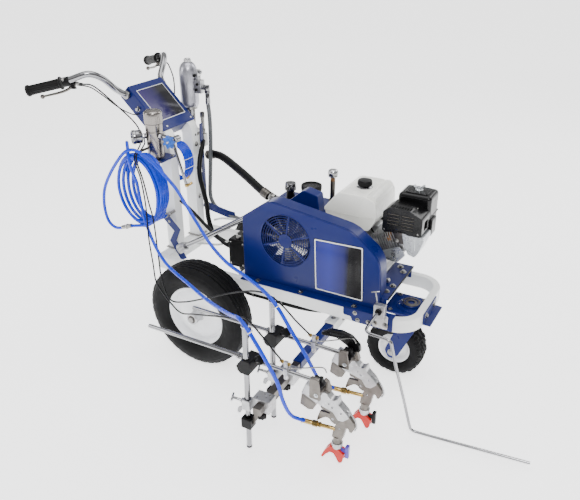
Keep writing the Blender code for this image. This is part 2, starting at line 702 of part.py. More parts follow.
# ---------------------------------------------------------------- paint pump, filter and hoses
def make_filter():
    """Filter bowl on its shelf, with the drain valve on one side and a gauge port on the other."""
    x, y = FILTER_XY
    low, high = FILTER_Z
    cap = high - 0.048
    body = lathe([(0, low), (FILTER_R - 0.002, low), (FILTER_R, low + STEP), (FILTER_R, cap),
                  (FILTER_R + 0.0015, cap + 0.002), (FILTER_R + 0.0015, high - 0.010),
                  (FILTER_R - STEP, high), (0, high)], (x, y, 0), "Z", 20)
    shelf = box((x - 0.038, x + 0.036), (-0.184, -COLUMN_Y - COLUMN_WIDE / 2 - GAP), SHELF_Z)
    neck = rod((x, y, OUTLET_Z), (x, y, low + STEP), 0.009, 12)
    drain_y = DRAIN_END[1]
    valve = rod((x + 0.020, y - 0.008, VALVE_Z), (KNOB_AT[0] + 0.012, drain_y, VALVE_Z), 0.011, 14)
    stem = rod((KNOB_AT[0], drain_y + 0.010, VALVE_Z),
               (KNOB_AT[0], KNOB_AT[1] + KNOB_HALF + GAP, VALVE_Z), 0.008, 12)
    drain = rod((KNOB_AT[0] - 0.012, drain_y, VALVE_Z), DRAIN_END, 0.006, 10)
    facing = Vector((-0.6, -0.8, 0))
    centre = Vector(GAUGE_AT)
    port = rod(centre - facing * 0.042, centre - facing * (GAUGE_BACK + GAP), 0.008, 12)
    finish("paint_filter", combine(body, [shelf, neck, valve, stem, drain, port]), "steel")
    finish("pressure_gauge",
           rod(centre - facing * GAUGE_BACK, centre + facing * GAUGE_FRONT, GAUGE_R, 24), "steel")
    outline = []
    for k in range(LOBES * 6):
        angle = 2 * math.pi * k / (LOBES * 6)
        reach = KNOB_R + KNOB_WAVE * math.cos(LOBES * angle)
        outline.append((KNOB_AT[0] + reach * math.cos(angle), KNOB_AT[2] + reach * math.sin(angle)))
    knob = slab(outline, KNOB_AT[1] - KNOB_HALF, KNOB_AT[1] + KNOB_HALF)
    finish("prime_knob", knob, "knob", KNOB_AT)


def make_pump():
    """Hydraulic motor on top, displacement pump below, and the rod that joins them."""
    x, y = PUMP_XY
    low, high = MOTOR_Z
    make_motor(x, y, low, high)
    make_displacement_pump(x, y, low)
    middle = Vector((x, y, (PUMP_TOP + low) / 2))
    half = Vector((0, 0, COUPLER[1]))
    coupler = rod(middle - half, middle + half, COUPLER[0], 16)
    shaft = rod((x, y, PUMP_TOP - 0.055), (x, y, low + 0.045), PISTON_R, 16)
    finish("pump_rod", combine(shaft, [coupler]), "chrome", tuple(middle))


def make_motor(x, y, low, high):
    top_r = 0.013
    motor = lathe([(ROD_BORE, low), (MOTOR_R - STEP, low), (MOTOR_R, low + 0.004),
                   (MOTOR_R, high - 0.060), (MOTOR_R - STEP, high - 0.036),
                   (MOTOR_R - 0.012, high - 0.017), (top_r, high - 0.011), (top_r, high - 0.002),
                   (0.010, high), (0, high), (0, low + 0.090), (ROD_BORE, low + 0.090)], (x, y, 0), "Z", 20)
    side = x + 0.026
    blocks = [box((side, x + 0.062), (y - 0.014, y + 0.014), (0.836, 0.884)),
              box((side, x + 0.050), (y - 0.011, y + 0.011), (0.896, 0.920))]
    arm = rod((x + 0.050, y, 0.860), (x + 0.081, y, 0.860), 0.0075, 12)
    elbow = rod((x + 0.079, y, 0.869), (x + 0.079, y, 0.838), 0.010, 12)
    finish("hydraulic_motor", combine(motor, blocks + [arm, elbow]), "alloy")


def make_displacement_pump(x, y, motor_low):
    top = PUMP_TOP
    tube_r, end_r = PUMP_R
    neck = top - 0.034
    foot = PUMP_LOW + 0.066
    pump = lathe([(ROD_BORE, top), (end_r, top), (end_r, neck + 0.004), (tube_r, neck),
                  (tube_r, foot + 0.004), (end_r, foot), (end_r, PUMP_LOW + 0.010), (0.012, PUMP_LOW),
                  (0, PUMP_LOW), (0, top - 0.100), (ROD_BORE, top - 0.100)], (x, y, 0), "Z", 18)
    ties = [rod((x, y + side * TIE_Y, top - OVERCUT), (x, y + side * TIE_Y, motor_low - GAP), TIE_R, 10)
            for side in (-1, 1)]
    manifold = box((x + 0.015, x + 0.062), (y - 0.012, y + 0.012), (0.640, 0.690))
    outlet = rod((x + 0.050, y, 0.660), (x + 0.050, y, 0.770), 0.0085, 12)
    column_pad = box((x, COLUMN_X + 0.015), (COLUMN_Y + COLUMN_WIDE / 2 + GAP, y), (0.500, 0.540))
    finish("paint_pump", combine(pump, ties + [manifold, outlet, column_pad]), "steel")


def make_suction_tube():
    start, end = (Vector(p) for p in SUCTION)
    along = (end - start).normalized()
    nut = rod(start - along * 0.016, start + along * 0.020, SUCTION_NUT_R, 20)
    elbow = rod(start - along * 0.004, start + Vector((-0.004, 0.012, -0.0215)), 0.012, 12)
    finish("suction_tube", combine(rod(start, end, SUCTION_R, 16), [nut, elbow]), "chrome")


HANK_AT = (-0.272, 0.583)
HANK_HALF = (0.098, 0.130)
HANK_Y = (-0.246, -0.186)

NEAR_HOSE = [(-0.229, -0.2518, 0.592), (-0.222, -0.253, 0.540), (-0.200, -0.262, 0.474),
             (-0.134, -0.300, 0.417), (-0.051, -0.345, 0.392), (0.070, -0.402, 0.388),
             (0.182, -0.462, 0.394), (0.298, -0.530, 0.422), (0.380, -0.591, 0.461),
             (0.4195, -0.602, 0.428), (0.461, -0.602, 0.364), (0.490, -0.594, 0.296),
             (0.500, -0.586, 0.240), (0.509, -0.570, 0.190), (0.519, -0.552, 0.160)]
FAR_HOSE = [(-0.210, -0.2518, 0.728), (-0.150, -0.258, 0.702), (-0.070, -0.262, 0.640),
            (-0.024, -0.266, 0.585), (0.020, -0.274, 0.535), (0.089, -0.303, 0.487),
            (0.170, -0.338, 0.460), (0.261, -0.382, 0.459), (0.368, -0.446, 0.466),
            (0.419, -0.462, 0.437), (0.459, -0.456, 0.368), (0.495, -0.446, 0.300),
            (0.515, -0.430, 0.240), (0.525, -0.412, 0.196), (0.537, -0.395, 0.169)]
NEAR_CABLE = [(-0.425, -0.204, 0.910), (-0.391, -0.200, 0.893), (-0.334, -0.184, 0.842),
              (-0.300, -0.162, 0.797), (-0.284, -0.152, 0.762), (-0.273, -0.165, 0.7275),
              (-0.247, -0.210, 0.7195), (-0.2295, -0.250, 0.713), (-0.212, -0.269, 0.690),
              (-0.197, -0.269, 0.640), (-0.184, -0.274, 0.550), (-0.1725, -0.290, 0.448),
              (-0.157, -0.300, 0.354), (-0.121, -0.336, 0.318), (-0.093, -0.345, 0.290),
              (-0.046, -0.362, 0.268), (0.019, -0.384, 0.261), (0.109, -0.425, 0.306),
              (0.250, -0.505, 0.383), (0.315, -0.530, 0.412), (0.378, -0.562, 0.447),
              (0.433, -0.570, 0.412), (0.458, -0.562, 0.375), (0.485, -0.557, 0.342)]
FAR_CABLE = [(-0.425, 0.208, 0.905), (-0.385, 0.180, 0.860), (-0.352, 0.130, 0.800),
             (-0.330, 0.050, 0.745), (-0.318, -0.050, 0.724), (-0.298, -0.115, 0.7265),
             (-0.262, -0.158, 0.7235), (-0.238, -0.204, 0.719), (-0.2215, -0.250, 0.713),
             (-0.203, -0.269, 0.690), (-0.188, -0.269, 0.640), (-0.1765, -0.266, 0.560),
             (-0.168, -0.262, 0.495), (-0.137, -0.292, 0.383), (-0.104, -0.325, 0.326),
             (-0.061, -0.345, 0.268), (0.000, -0.350, 0.276), (0.115, -0.372, 0.336),
             (0.206, -0.384, 0.384), (0.310, -0.415, 0.437), (0.370, -0.428, 0.447),
             (0.416, -0.432, 0.428), (0.453, -0.420, 0.382), (0.497, -0.413, 0.342)]
PRESSURE_HOSE = [(-0.213, 0.1275, 0.606), (-0.170, 0.124, 0.615), (-0.115, 0.104, 0.612),
                 (0.001, 0.050, 0.587), (0.085, 0.012, 0.563), (0.129, 0.000, 0.548)]
MOTOR_HOSE = [(-0.196, 0.1275, 0.8377), (-0.196, 0.1275, 0.800), (-0.188, 0.121, 0.760),
              (-0.179, 0.108, 0.700), (-0.175, 0.0985, 0.648), (-0.180, 0.0990, 0.590),
              (-0.190, 0.105, 0.520), (-0.196, 0.108, 0.470), (-0.190, 0.107, 0.434),
              (-0.160, 0.105, 0.405), (-0.060, 0.090, 0.390), (0.020, 0.085, 0.388),
              (0.129, 0.085, 0.388)]


def inlet_line(arm):
    """Mouth of a gun's paint inlet, and the unit vector from there into the gun."""
    x, y, lift = arm["gun"]
    mouth = Vector((x - 0.075, y - 0.016, 0.144 + lift))
    head = Vector((x - 0.010, y - 0.006, 0.142 + lift))
    return mouth, (head - mouth).normalized()


def hose_route(points, arm):
    """A hose's own points, then straight into its gun's inlet."""
    mouth, inward = inlet_line(arm)
    return points + [mouth - inward * 0.030, mouth - inward * GAP]


def make_hoses():
    x, z = HANK_AT
    a, b = HANK_HALF
    turns = [2 * math.pi * k / 32 for k in range(32)]
    outline = [(x + a * math.cos(turn), z + b * math.sin(turn)) for turn in turns]
    finish("hose_hank", slab(outline, *HANK_Y), "hose")
    for word, points in (("near", NEAR_HOSE), ("far", FAR_HOSE)):
        tube(f"{word}_spray_hose", hose_route(points, GUN_ARMS[word]), HOSE_R, "hose", 0.030)
    for word, side, points in (("near", -1, NEAR_CABLE), ("far", 1, FAR_CABLE)):
        mouth = Vector(mirrored(CABLE_STOP[1], side))
        outward = (mouth - Vector(mirrored(CABLE_STOP[0], side))).normalized()
        tube(f"{word}_trigger_cable", [mouth + outward * GAP, mouth + outward * 0.015] + points,
             CABLE_R, "cable", 0.024)
    tube("pressure_hose", PRESSURE_HOSE, 0.0145, "cable", 0.050)
    tube("motor_hose", MOTOR_HOSE, 0.0075, "cable", 0.038)


# ---------------------------------------------------------------- engine and drive
def guard_outline(inset):
    """Side view of the belt guard, drawn in from its edge by inset."""
    i = inset
    rear, crest, shoulder, front = GUARD_OUTLINE
    foot = RAIL_TOP + GAP
    points = [(GUARD_X[0] + i, foot), (rear[0] + i, rear[1] - i * 0.6),
              (crest[0] + i * 0.2, crest[1] - i), (shoulder[0] - i * 0.2, shoulder[1] - i),
              (front[0] - i, front[1] - i * 0.5), (GUARD_X[1] - i, foot)]
    return fillet(points, [0, 0.012, 0.07, 0.11, 0.09, 0], steps=6)


def make_guard():
    """Folded cover, open at the back, with a round grille in front of the fan."""
    hollow_outline = guard_outline(SHEET)
    for end in (0, -1):
        hollow_outline[end] = (hollow_outline[end][0], RAIL_TOP - OVERCUT)
    hollow = slab(hollow_outline, GUARD_FACE + SHEET, GUARD_BACK + OVERCUT)
    hole = slab(circle(FAN_AT, FAN_HOLE_R, 28), GUARD_FACE - OVERCUT, GUARD_FACE + OVERCUT)
    notch = box((GUARD_X[1] - 0.015, GUARD_X[1] + 0.015), (PLATE_NEAR - GAP * 2, GUARD_BACK + OVERCUT),
                (RAIL_TOP - OVERCUT, PLATE_TOP + GAP * 2))
    shell = as_bmesh(combine(slab(guard_outline(0), GUARD_FACE, GUARD_BACK), cut=[hollow, hole, notch]))
    flange = box((GUARD_X[0], FLANGE_FRONT), (-RAIL_HALF - SHEET - GAP, GUARD_FACE + 0.002),
                 (RAIL_TOP + GAP, RAIL_TOP + GAP + SHEET + 0.0002))
    skirt = box((SKIRT_REAR, FLANGE_FRONT), (-RAIL_HALF - SHEET - GAP, -RAIL_HALF - GAP),
                (SKIRT_LOW, RAIL_TOP + GAP + SHEET))
    finish("belt_guard", combine(shell, make_grille() + [flange, skirt]), "blue")


def make_grille():
    """Hub, spokes and one ring, flush with the guard's outer face."""
    back = GUARD_FACE + GRILLE_THICK
    middle_y = (GUARD_FACE + back) / 2
    grille = [slab(circle(FAN_AT, GRILLE_HUB_R, 20), GUARD_FACE, back)]
    reach = (GRILLE_HUB_R + FAN_HOLE_R) / 2 - 0.002
    for k in range(SPOKES):
        angle = 2 * math.pi * (k + 0.35) / SPOKES
        middle = (FAN_AT[0] + reach * math.cos(angle), middle_y, FAN_AT[1] + reach * math.sin(angle))
        grille.append(block(middle, (0.078, GRILLE_THICK - 0.0002, 0.0045), -math.degrees(angle)))
    inner, outer = GRILLE_RING_R
    low = GUARD_FACE + GAP
    high = back - GAP
    ring = [(inner, low), (outer, low), (outer, high), (inner, high)]
    grille.append(lathe(ring, (FAN_AT[0], 0, FAN_AT[1]), "Y", 24))
    return grille


def make_drive():
    """Engine pulley, fan pulley and the vee belt between them."""
    sx, sz = SHAFT_AT
    fx, fz = FAN_AT
    y = BELT_Y
    small, large = PULLEY_R
    bore = SHAFT_R + SLIDE_FIT
    lip = 0.004
    floor_half = 0.002
    drive = [(bore, -0.012), (small + lip, -0.012), (small - lip, -floor_half), (small - lip, floor_half),
             (small + lip, 0.012), (bore, 0.012)]
    finish("drive_pulley", lathe(drive, (sx, y, sz), "Y", 20), "steel", (sx, y, sz))
    driven = [(0, -0.012), (0.018, -0.012), (0.018, -0.008), (large + lip, -0.008),
              (large - lip, -floor_half), (large - lip, floor_half), (large + lip, 0.010),
              (0.016, 0.010), (0.016, 0.0235), (0, 0.0235)]
    blades = []
    for k in range(BLADES):
        angle = 360 * k / BLADES
        turn = math.radians(angle)
        middle = (fx + 0.044 * math.cos(turn), y - 0.016, fz + 0.044 * math.sin(turn))
        blades.append(block(middle, (0.066, 0.018, 0.003), -angle))
    finish("driven_pulley", combine(lathe(driven, (fx, y, fz), "Y", 24), blades), "steel", (fx, y, fz))
    half = 0.0014
    band = combine(slab(belt_outline(0.004), y - half, y + half),
                   cut=[slab(belt_outline(0.0005), y - OVERCUT, y + OVERCUT)])
    finish("drive_belt", band, "belt")


def belt_outline(extra):
    """Outline of an open belt round both pulleys, standing out from their grooves by extra."""
    small, large = PULLEY_R
    big = large - 0.0035 + extra
    little = small - 0.0035 + extra
    span = Vector(SHAFT_AT) - Vector(FAN_AT)
    tilt = math.asin((big - little) / span.length)
    base = math.atan2(span.y, span.x)
    quarter = math.pi / 2
    arcs = ((FAN_AT, big, base + quarter - tilt, base + 3 * quarter + tilt),
            (SHAFT_AT, little, base - quarter + tilt, base + quarter - tilt))
    points = []
    for centre, radius, first, last in arcs:
        for step in range(11):
            angle = first + (last - first) * step / 10
            points.append((centre[0] + radius * math.cos(angle), centre[1] + radius * math.sin(angle)))
    return points


def make_engine():
    top = PLATE_TOP
    near = PLATE_NEAR
    far = PLATE_FAR
    plate = box(PLATE_X, (near, far), (top - PLATE_THICK, top))
    skirts = [box((PLATE_X[0] + 0.004, PLATE_X[1] - 0.004), pair, (RAIL_TOP + GAP, top - 0.002))
              for pair in ((near, near + 0.004), (far - 0.004, far))]
    slot = box((0.500, 0.530), (-0.050, 0.050), (top - OVERCUT * 2, top + OVERCUT))
    finish("engine_plate", combine(plate, skirts, [slot]), "blue")
    make_engine_block()
    corners = [0.006, 0.010, 0.012, 0.01, 0.006, 0.006]
    cover = slab(fillet(COVER_OUTLINE, corners, 2), *COVER_Y)
    finish("muffler_cover", bevelled(cover, 0.004, 1, 60), "black")
    x, y = CLEANER_STUD
    cleaner_top = CLEANER[2][1]
    stud = rod((x, y, cleaner_top - 0.008), (x, y, cleaner_top + 0.012), 0.006, 10)
    lip = box((0.675, 0.690), (0.040, 0.085), (0.505, 0.560))
    finish("air_cleaner", combine(bevelled(box(*CLEANER), 0.012, 2), [stud, lip]), "black")
    make_fuel_tank()
    make_starter()


def make_engine_block():
    """Crankcase, shaft, tilted cylinder with cooling fins, head and the ports above it."""
    sx, sz = SHAFT_AT
    case = bevelled(box(CASE_X, CASE_Y, (PLATE_TOP + GAP, CASE_TOP)), 0.012, 1)
    added = [rod((sx, -0.0735, sz), (sx, -0.050, sz), 0.048, 28),
             rod((sx, -0.117, sz), (sx, -0.050, sz), SHAFT_R, 16)]
    turn = math.radians(CYLINDER_TILT)
    axis = Vector((math.cos(turn), 0, math.sin(turn)))
    root = Vector(CYLINDER_ROOT)
    added.append(block(root + axis * 0.050, (0.110, 0.080, 0.074), -CYLINDER_TILT))
    for k in range(FINS):
        added.append(block(root + axis * (0.030 + 0.012 * k), (0.004, 0.108, 0.092), -CYLINDER_TILT))
    added.append(block(root + axis * 0.1125, (0.019, 0.094, 0.062), -CYLINDER_TILT))
    added.append(box((0.555, 0.643), (-0.026, 0.012), (0.505, 0.5285)))
    added.append(slab(ELBOW_OUTLINE, -0.030, 0.036))
    added.append(box((0.592, 0.648), (0.028, 0.105), (0.482, 0.5291)))
    for x in (0.415, 0.495):
        added.append(box((x, x + 0.022), (0.030, 0.090), (CASE_TOP - 0.008, TANK_OUTLINE[0][1] - GAP)))
    finish("engine_block", combine(case, added), "alloy")


def make_fuel_tank():
    outline = fillet(TANK_OUTLINE, [0.012, 0.015, 0.012, 0.020, 0.02, 0.03, 0.010], 2)
    x, y, z = CAP_AT
    low = z - 0.008
    neck = rod((x, y, low - 0.019), (x, y, low - GAP), 0.019, 20)
    finish("fuel_tank", combine(bevelled(slab(outline, *TANK_Y), 0.012, 2, 50), [neck]), "ivory")
    cap = lathe([(0, low), (0.023, low), (0.024, low + STEP), (0.024, low + 0.012), (0.021, low + 0.016),
                 (0, low + 0.016)], (x, y, 0), "Z", 20)
    finish("fuel_cap", cap, "black", CAP_AT)


def make_starter():
    sx, sz = SHAFT_AT
    back, front = STARTER_Y
    shell = lathe([(0, back), (STARTER_R - 0.002, back), (STARTER_R, back + 0.0037),
                   (STARTER_R, front - 0.020), (0.062, front - 0.004), (0.028, front), (0, front)],
                  (sx, 0, sz), "Y", 24)
    pull = box((sx - 0.045, sx - 0.015), (front - 0.020, front - 0.005), (sz + 0.040, sz + 0.056))
    finish("recoil_starter", combine(shell, [pull]), "black")


def upright(at, low, high, radius, sides):
    """A vertical rod at an (x, y) place."""
    return rod((at[0], at[1], low), (at[0], at[1], high), radius, sides)


def make_hydraulics():
    """Reservoir with its filler, filter can and breather; the pump on the fan shaft; the valve block."""
    top = RESERVOIR_TOP
    root = top - WELD
    added = [box((0.130, 0.340), (0.018, RESERVOIR_FAR), (RAIL_TOP + GAP, top)),
             upright(OIL_NECK, root, 0.568, 0.014, 12), upright(OIL_NECK, 0.562, 0.590, 0.020, 16),
             upright(OIL_CAN, root, 0.592, 0.036, 20),
             upright(BREATHER, root, 0.625, 0.009, 10), upright(BREATHER, 0.617, 0.643, 0.018, 16)]
    finish("hydraulic_tank", combine(slab(RESERVOIR_OUTLINE, -0.022, 0.022), added), "blue")
    fx, fz = FAN_AT
    nose_y = GUARD_BACK + 0.0005
    body = box((fx - 0.035, fx + 0.035), (-0.0745, -0.0225), (fz - 0.040, fz + 0.040))
    socket = rod((fx, nose_y - OVERCUT, fz), (fx, nose_y + 0.011, fz), 0.016 + SLIDE_FIT, 20)
    nose = rod((fx, nose_y, fz), (fx, -0.060, fz), 0.026, 24)
    finish("hydraulic_pump", combine(body, [nose], [socket]), "alloy")
    finish("hydraulic_manifold", bevelled(box(*MANIFOLD), 0.004, 1), "black")


# ---------------------------------------------------------------- spray guns
def make_cross_arm():
    """Square arm in the frame's sleeve, with a clamp lug and a channel for each post."""
    half = ARM_HALF
    thin = ARM_HALF - 0.0025
    outer = box((ARM_X - half, ARM_X + half), (-0.365, 0.060), (ARM_Z - half, ARM_Z + half))
    added = [box((ARM_X - thin, ARM_X + thin), (-0.606, -0.350), (ARM_Z - thin, ARM_Z + thin))]
    cuts = []
    lug = 0.016
    lug_low, lug_high = LUG_Z
    for arm in GUN_ARMS.values():
        x, y = arm["post"]
        added.append(box((x - lug, x + lug), (y - lug, y + lug), LUG_Z))
        web_z = (lug_low + OVERCUT, ARM_Z - 0.004)
        added.append(box((x + 0.010, ARM_X + 0.006), (y - 0.003, y + 0.012), web_z))
        added.append(box((x + 0.012, ARM_X + 0.026), (y + 0.004, y + 0.044), (0.163, 0.205)))
        cuts.append(rod((x, y, lug_low - 0.022), (x, y, lug_high + 0.024), POST_R + GAP, 16))
    finish("gun_cross_arm", combine(outer, added, cuts), "blue")


GUN_SIDE = [(-0.117, 0.195), (-0.111, 0.240), (-0.099, 0.274), (-0.036, 0.256), (-0.019, 0.238),
            (-0.006, 0.252), (-0.001, 0.233), (0.020, 0.214), (0.043, 0.182), (0.047, 0.166),
            (0.038, 0.149), (0.031, 0.150), (0.028, 0.163), (0.020, 0.156), (0.010, 0.112),
            (-0.020, 0.112), (-0.012, 0.146), (-0.003, 0.178), (-0.017, 0.200), (-0.042, 0.207),
            (-0.066, 0.212), (-0.090, 0.185)]
GUN_GRIP = [(-0.117, 0.195), (-0.111, 0.240), (-0.099, 0.274), (-0.038, 0.257), (-0.042, 0.216),
            (-0.066, 0.208), (-0.090, 0.185)]
TIP_GUARD = [(-0.024, 0.078), (-0.003, 0.078), (0.019, 0.063), (0.015, 0.036), (0.006, 0.027),
             (-0.003, 0.045), (-0.012, 0.058), (-0.022, 0.059), (-0.035, 0.044), (-0.044, 0.028),
             (-0.050, 0.032)]
TRIGGER_SIDE = [(-0.060, 0.184), (-0.022, 0.187), (-0.013, 0.176), (-0.020, 0.164), (-0.040, 0.171),
                (-0.053, 0.161), (-0.069, 0.146), (-0.067, 0.160)]
TRIGGER_PIVOT = (-0.018, 0.177)
NOZZLE_X = -0.006
KEY_Z = 0.069
KEY_R = 0.0055
KEY_WING = (0.0205, 0.030)      # the key's wing, in front of the nozzle axis
KEY_WING_HALF = 0.022
GRIP_HALF = 0.019
GUN_HALF = 0.011                # half thickness of the gun's body


def make_gun_body(arm):
    """Airless gun: grip block, body, head, nozzle, tip guard and rod clamp, as one casting."""
    x, y, lift = arm["gun"]

    def side(outline, half):
        return slab([(x + a, b + lift) for a, b in outline], y - half, y + half)

    def along_x(start, end, radius, sides):
        return rod((x + start, y, KEY_Z + lift), (x + end, y, KEY_Z + lift), radius, sides)

    nozzle = x + NOZZLE_X
    added = [side(GUN_GRIP, GRIP_HALF), side(TIP_GUARD, 0.012)]
    added.append(rod((nozzle, y, 0.070 + lift), (nozzle, y, 0.116 + lift), 0.0125, 14))
    added.append(rod((nozzle, y, 0.0765 + lift), (nozzle, y, 0.094 + lift), 0.016, 14))
    clamp = sorted((arm["rod_y"] - 0.012, y))
    rear = x - ROD_TO_GUN
    added.append(box((rear, rear + 0.026), clamp, (ROD_Z - 0.055 + lift, ROD_Z + 0.011)))
    knob_z = ROD_Z - CLAMP_HALF
    added.append(rod((rear + 0.011, y - 0.034, knob_z), (rear + 0.011, y, knob_z), 0.020, 16))
    mouth, inward = inlet_line(arm)
    added.append(rod(mouth, mouth + inward * 0.066, 0.006, 10))
    px, pz = TRIGGER_PIVOT
    for way in (-1, 1):
        cheek = sorted((y + way * 0.0055, y + way * 0.0105))
        added.append(box((x + px - 0.007, x + px + 0.018), cheek, (pz - 0.007 + lift, pz + 0.026 + lift)))
    bore = along_x(-0.050, 0.050, KEY_R + SLIDE_FIT, 12)
    return combine(side(GUN_SIDE, GUN_HALF), added, [bore])


def make_guns():
    for word, arm in GUN_ARMS.items():
        x, y = arm["post"]
        rod_y = arm["rod_y"]
        finish(f"{word}_gun_post", rod((x, y, POST_Z[0]), (x, y, POST_Z[1]), POST_R, 16), "chrome")
        end = arm["gun"][0] - ROD_TO_GUN - GAP
        bar = rod((arm["rod_rear"], rod_y, ROD_Z), (end, rod_y, ROD_Z), ROD_R, 12)
        clamp = box((x - CLAMP_HALF, x + CLAMP_HALF), (y - 0.013, rod_y + 0.011),
                    (ROD_Z - CLAMP_RISE, ROD_Z + CLAMP_RISE))
        anchor = box((arm["anchor_x"], arm["anchor_x"] + 0.014), (rod_y - 0.008, rod_y + 0.008),
                     (ROD_Z - 0.010, ANCHOR_TOP))
        bore = rod((x, y, ROD_Z - 0.050), (x, y, ROD_Z + 0.050), POST_R + SLIDE_FIT, 16)
        finish(f"{word}_gun_rod", combine(bar, [clamp, anchor], [bore]), "chrome")
        finish(f"{word}_gun", make_gun_body(arm), "alloy")
        make_trigger(word, arm)
        make_tip_key(word, arm)


def make_trigger(word, arm):
    x, y, lift = arm["gun"]
    px, pz = TRIGGER_PIVOT
    blade = slab([(x + a, b + lift) for a, b in TRIGGER_SIDE], y - 0.004, y + 0.004)
    finish(f"{word}_trigger", blade, "steel", (x + px, y, pz + lift))


def make_tip_key(word, arm):
    x, y, lift = arm["gun"]
    z = KEY_Z + lift
    barrel = rod((x - 0.018, y, z), (x + 0.026, y, z), KEY_R, 12)
    half = KEY_WING_HALF
    outline = [(y - 0.003, z - half), (y + 0.003, z - half), (y + 0.006, z + half), (y - 0.006, z + half)]
    wing = slab(outline, x + KEY_WING[0], x + KEY_WING[1], "YZ")
    finish(f"{word}_tip_key", combine(barrel, [wing]), "key" if word == "near" else "black", (x, y, z))


clear_scene()
MATERIALS = make_materials()
PIVOTS = {}
MACHINE = bpy.data.objects.new("machine", None)
bpy.context.collection.objects.link(MACHINE)
MACHINE.location = MACHINE_AT
make_chassis()
make_columns()
make_console()
make_handlebars()
make_rear_wheels()
make_caster()
make_front_brackets()
make_filter()
make_pump()
make_suction_tube()
make_hoses()
make_guard()
make_drive()
make_engine()
make_hydraulics()
make_cross_arm()
make_guns()
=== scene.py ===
"""The looks of the line striping machine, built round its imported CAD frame."""
import json
import math

import bmesh
import bpy
from mathutils import Matrix, Vector


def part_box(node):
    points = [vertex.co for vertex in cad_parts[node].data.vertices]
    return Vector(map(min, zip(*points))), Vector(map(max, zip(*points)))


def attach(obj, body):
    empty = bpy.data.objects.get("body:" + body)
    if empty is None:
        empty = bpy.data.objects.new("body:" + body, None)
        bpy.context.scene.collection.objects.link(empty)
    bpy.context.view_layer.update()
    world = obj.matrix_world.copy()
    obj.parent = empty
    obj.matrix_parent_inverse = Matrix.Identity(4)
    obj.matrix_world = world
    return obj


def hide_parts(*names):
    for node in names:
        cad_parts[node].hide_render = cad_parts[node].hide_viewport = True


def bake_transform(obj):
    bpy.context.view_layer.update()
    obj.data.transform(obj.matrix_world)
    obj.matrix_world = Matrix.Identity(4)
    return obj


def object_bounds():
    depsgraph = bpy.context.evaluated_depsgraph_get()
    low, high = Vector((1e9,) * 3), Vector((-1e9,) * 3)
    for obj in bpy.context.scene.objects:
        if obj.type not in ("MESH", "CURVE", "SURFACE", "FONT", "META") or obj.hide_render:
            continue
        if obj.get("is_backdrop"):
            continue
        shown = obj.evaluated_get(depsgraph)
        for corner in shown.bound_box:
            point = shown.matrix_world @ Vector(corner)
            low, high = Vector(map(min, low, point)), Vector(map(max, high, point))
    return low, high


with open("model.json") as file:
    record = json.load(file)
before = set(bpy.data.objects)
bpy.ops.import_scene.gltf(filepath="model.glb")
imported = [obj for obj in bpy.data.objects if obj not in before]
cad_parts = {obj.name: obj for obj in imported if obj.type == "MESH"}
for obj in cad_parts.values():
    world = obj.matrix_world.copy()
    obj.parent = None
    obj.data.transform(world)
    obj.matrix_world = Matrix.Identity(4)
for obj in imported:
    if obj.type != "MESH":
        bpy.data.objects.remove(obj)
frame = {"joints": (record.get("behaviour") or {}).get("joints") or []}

CAD_BOX = [list(corner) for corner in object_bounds()]
JOINTS = {joint["name"]: joint for joint in frame["joints"]}


def joint_at(name):
    return Vector(JOINTS[name]["pos_m"])


# The machine's own frame: X forward, Y to the far side, zero on the floor under the rear axle's middle.
AXLE = (joint_at("near_wheel_roll") + joint_at("far_wheel_roll")) / 2
ORIGIN = Vector((AXLE.x, AXLE.y, 0))
NEAR = -1
FAR = 1
SIDES = (("near", NEAR), ("far", FAR))
# Heights that several pieces share: the frame rail's top face, and the gun rods' middle.
RAIL_TOP = 0.3003
ROD_HEIGHT = 0.315


def local_box(node):
    """A CAD node's lowest and highest corners in the machine's frame."""
    low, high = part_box(node)
    return low - ORIGIN, high - ORIGIN


def local_joint(name):
    return joint_at(name) - ORIGIN


# ---------------------------------------------------------------- materials
def new_material(name):
    material = bpy.data.materials.new(name)
    material.use_nodes = True
    nodes = material.node_tree.nodes
    return material, nodes, material.node_tree.links, nodes["Principled BSDF"]


def texture(nodes, links, scale, detail=3.0, stretch=(1, 1, 1)):
    """Noise in object coordinates, optionally stretched along the axes."""
    coords = nodes.new("ShaderNodeTexCoord")
    mapping = nodes.new("ShaderNodeMapping")
    mapping.inputs["Scale"].default_value = stretch
    noise = nodes.new("ShaderNodeTexNoise")
    noise.inputs["Scale"].default_value = scale
    noise.inputs["Detail"].default_value = detail
    links.new(coords.outputs["Object"], mapping.inputs["Vector"])
    links.new(mapping.outputs["Vector"], noise.inputs["Vector"])
    return noise


def ramp(nodes, links, source, stops):
    node = nodes.new("ShaderNodeValToRGB")
    elements = node.color_ramp.elements
    while len(elements) > len(stops):
        elements.remove(elements[-1])
    while len(elements) < len(stops):
        elements.new(0.5)
    for element, (at, colour) in zip(elements, stops):
        element.position = at
        element.color = (*colour, 1.0)
    links.new(source, node.inputs["Fac"])
    return node


def add_bump(nodes, links, shader, source, strength, distance):
    bump = nodes.new("ShaderNodeBump")
    bump.inputs["Strength"].default_value = strength
    bump.inputs["Distance"].default_value = distance
    links.new(source, bump.inputs["Height"])
    links.new(bump.outputs["Normal"], shader.inputs["Normal"])


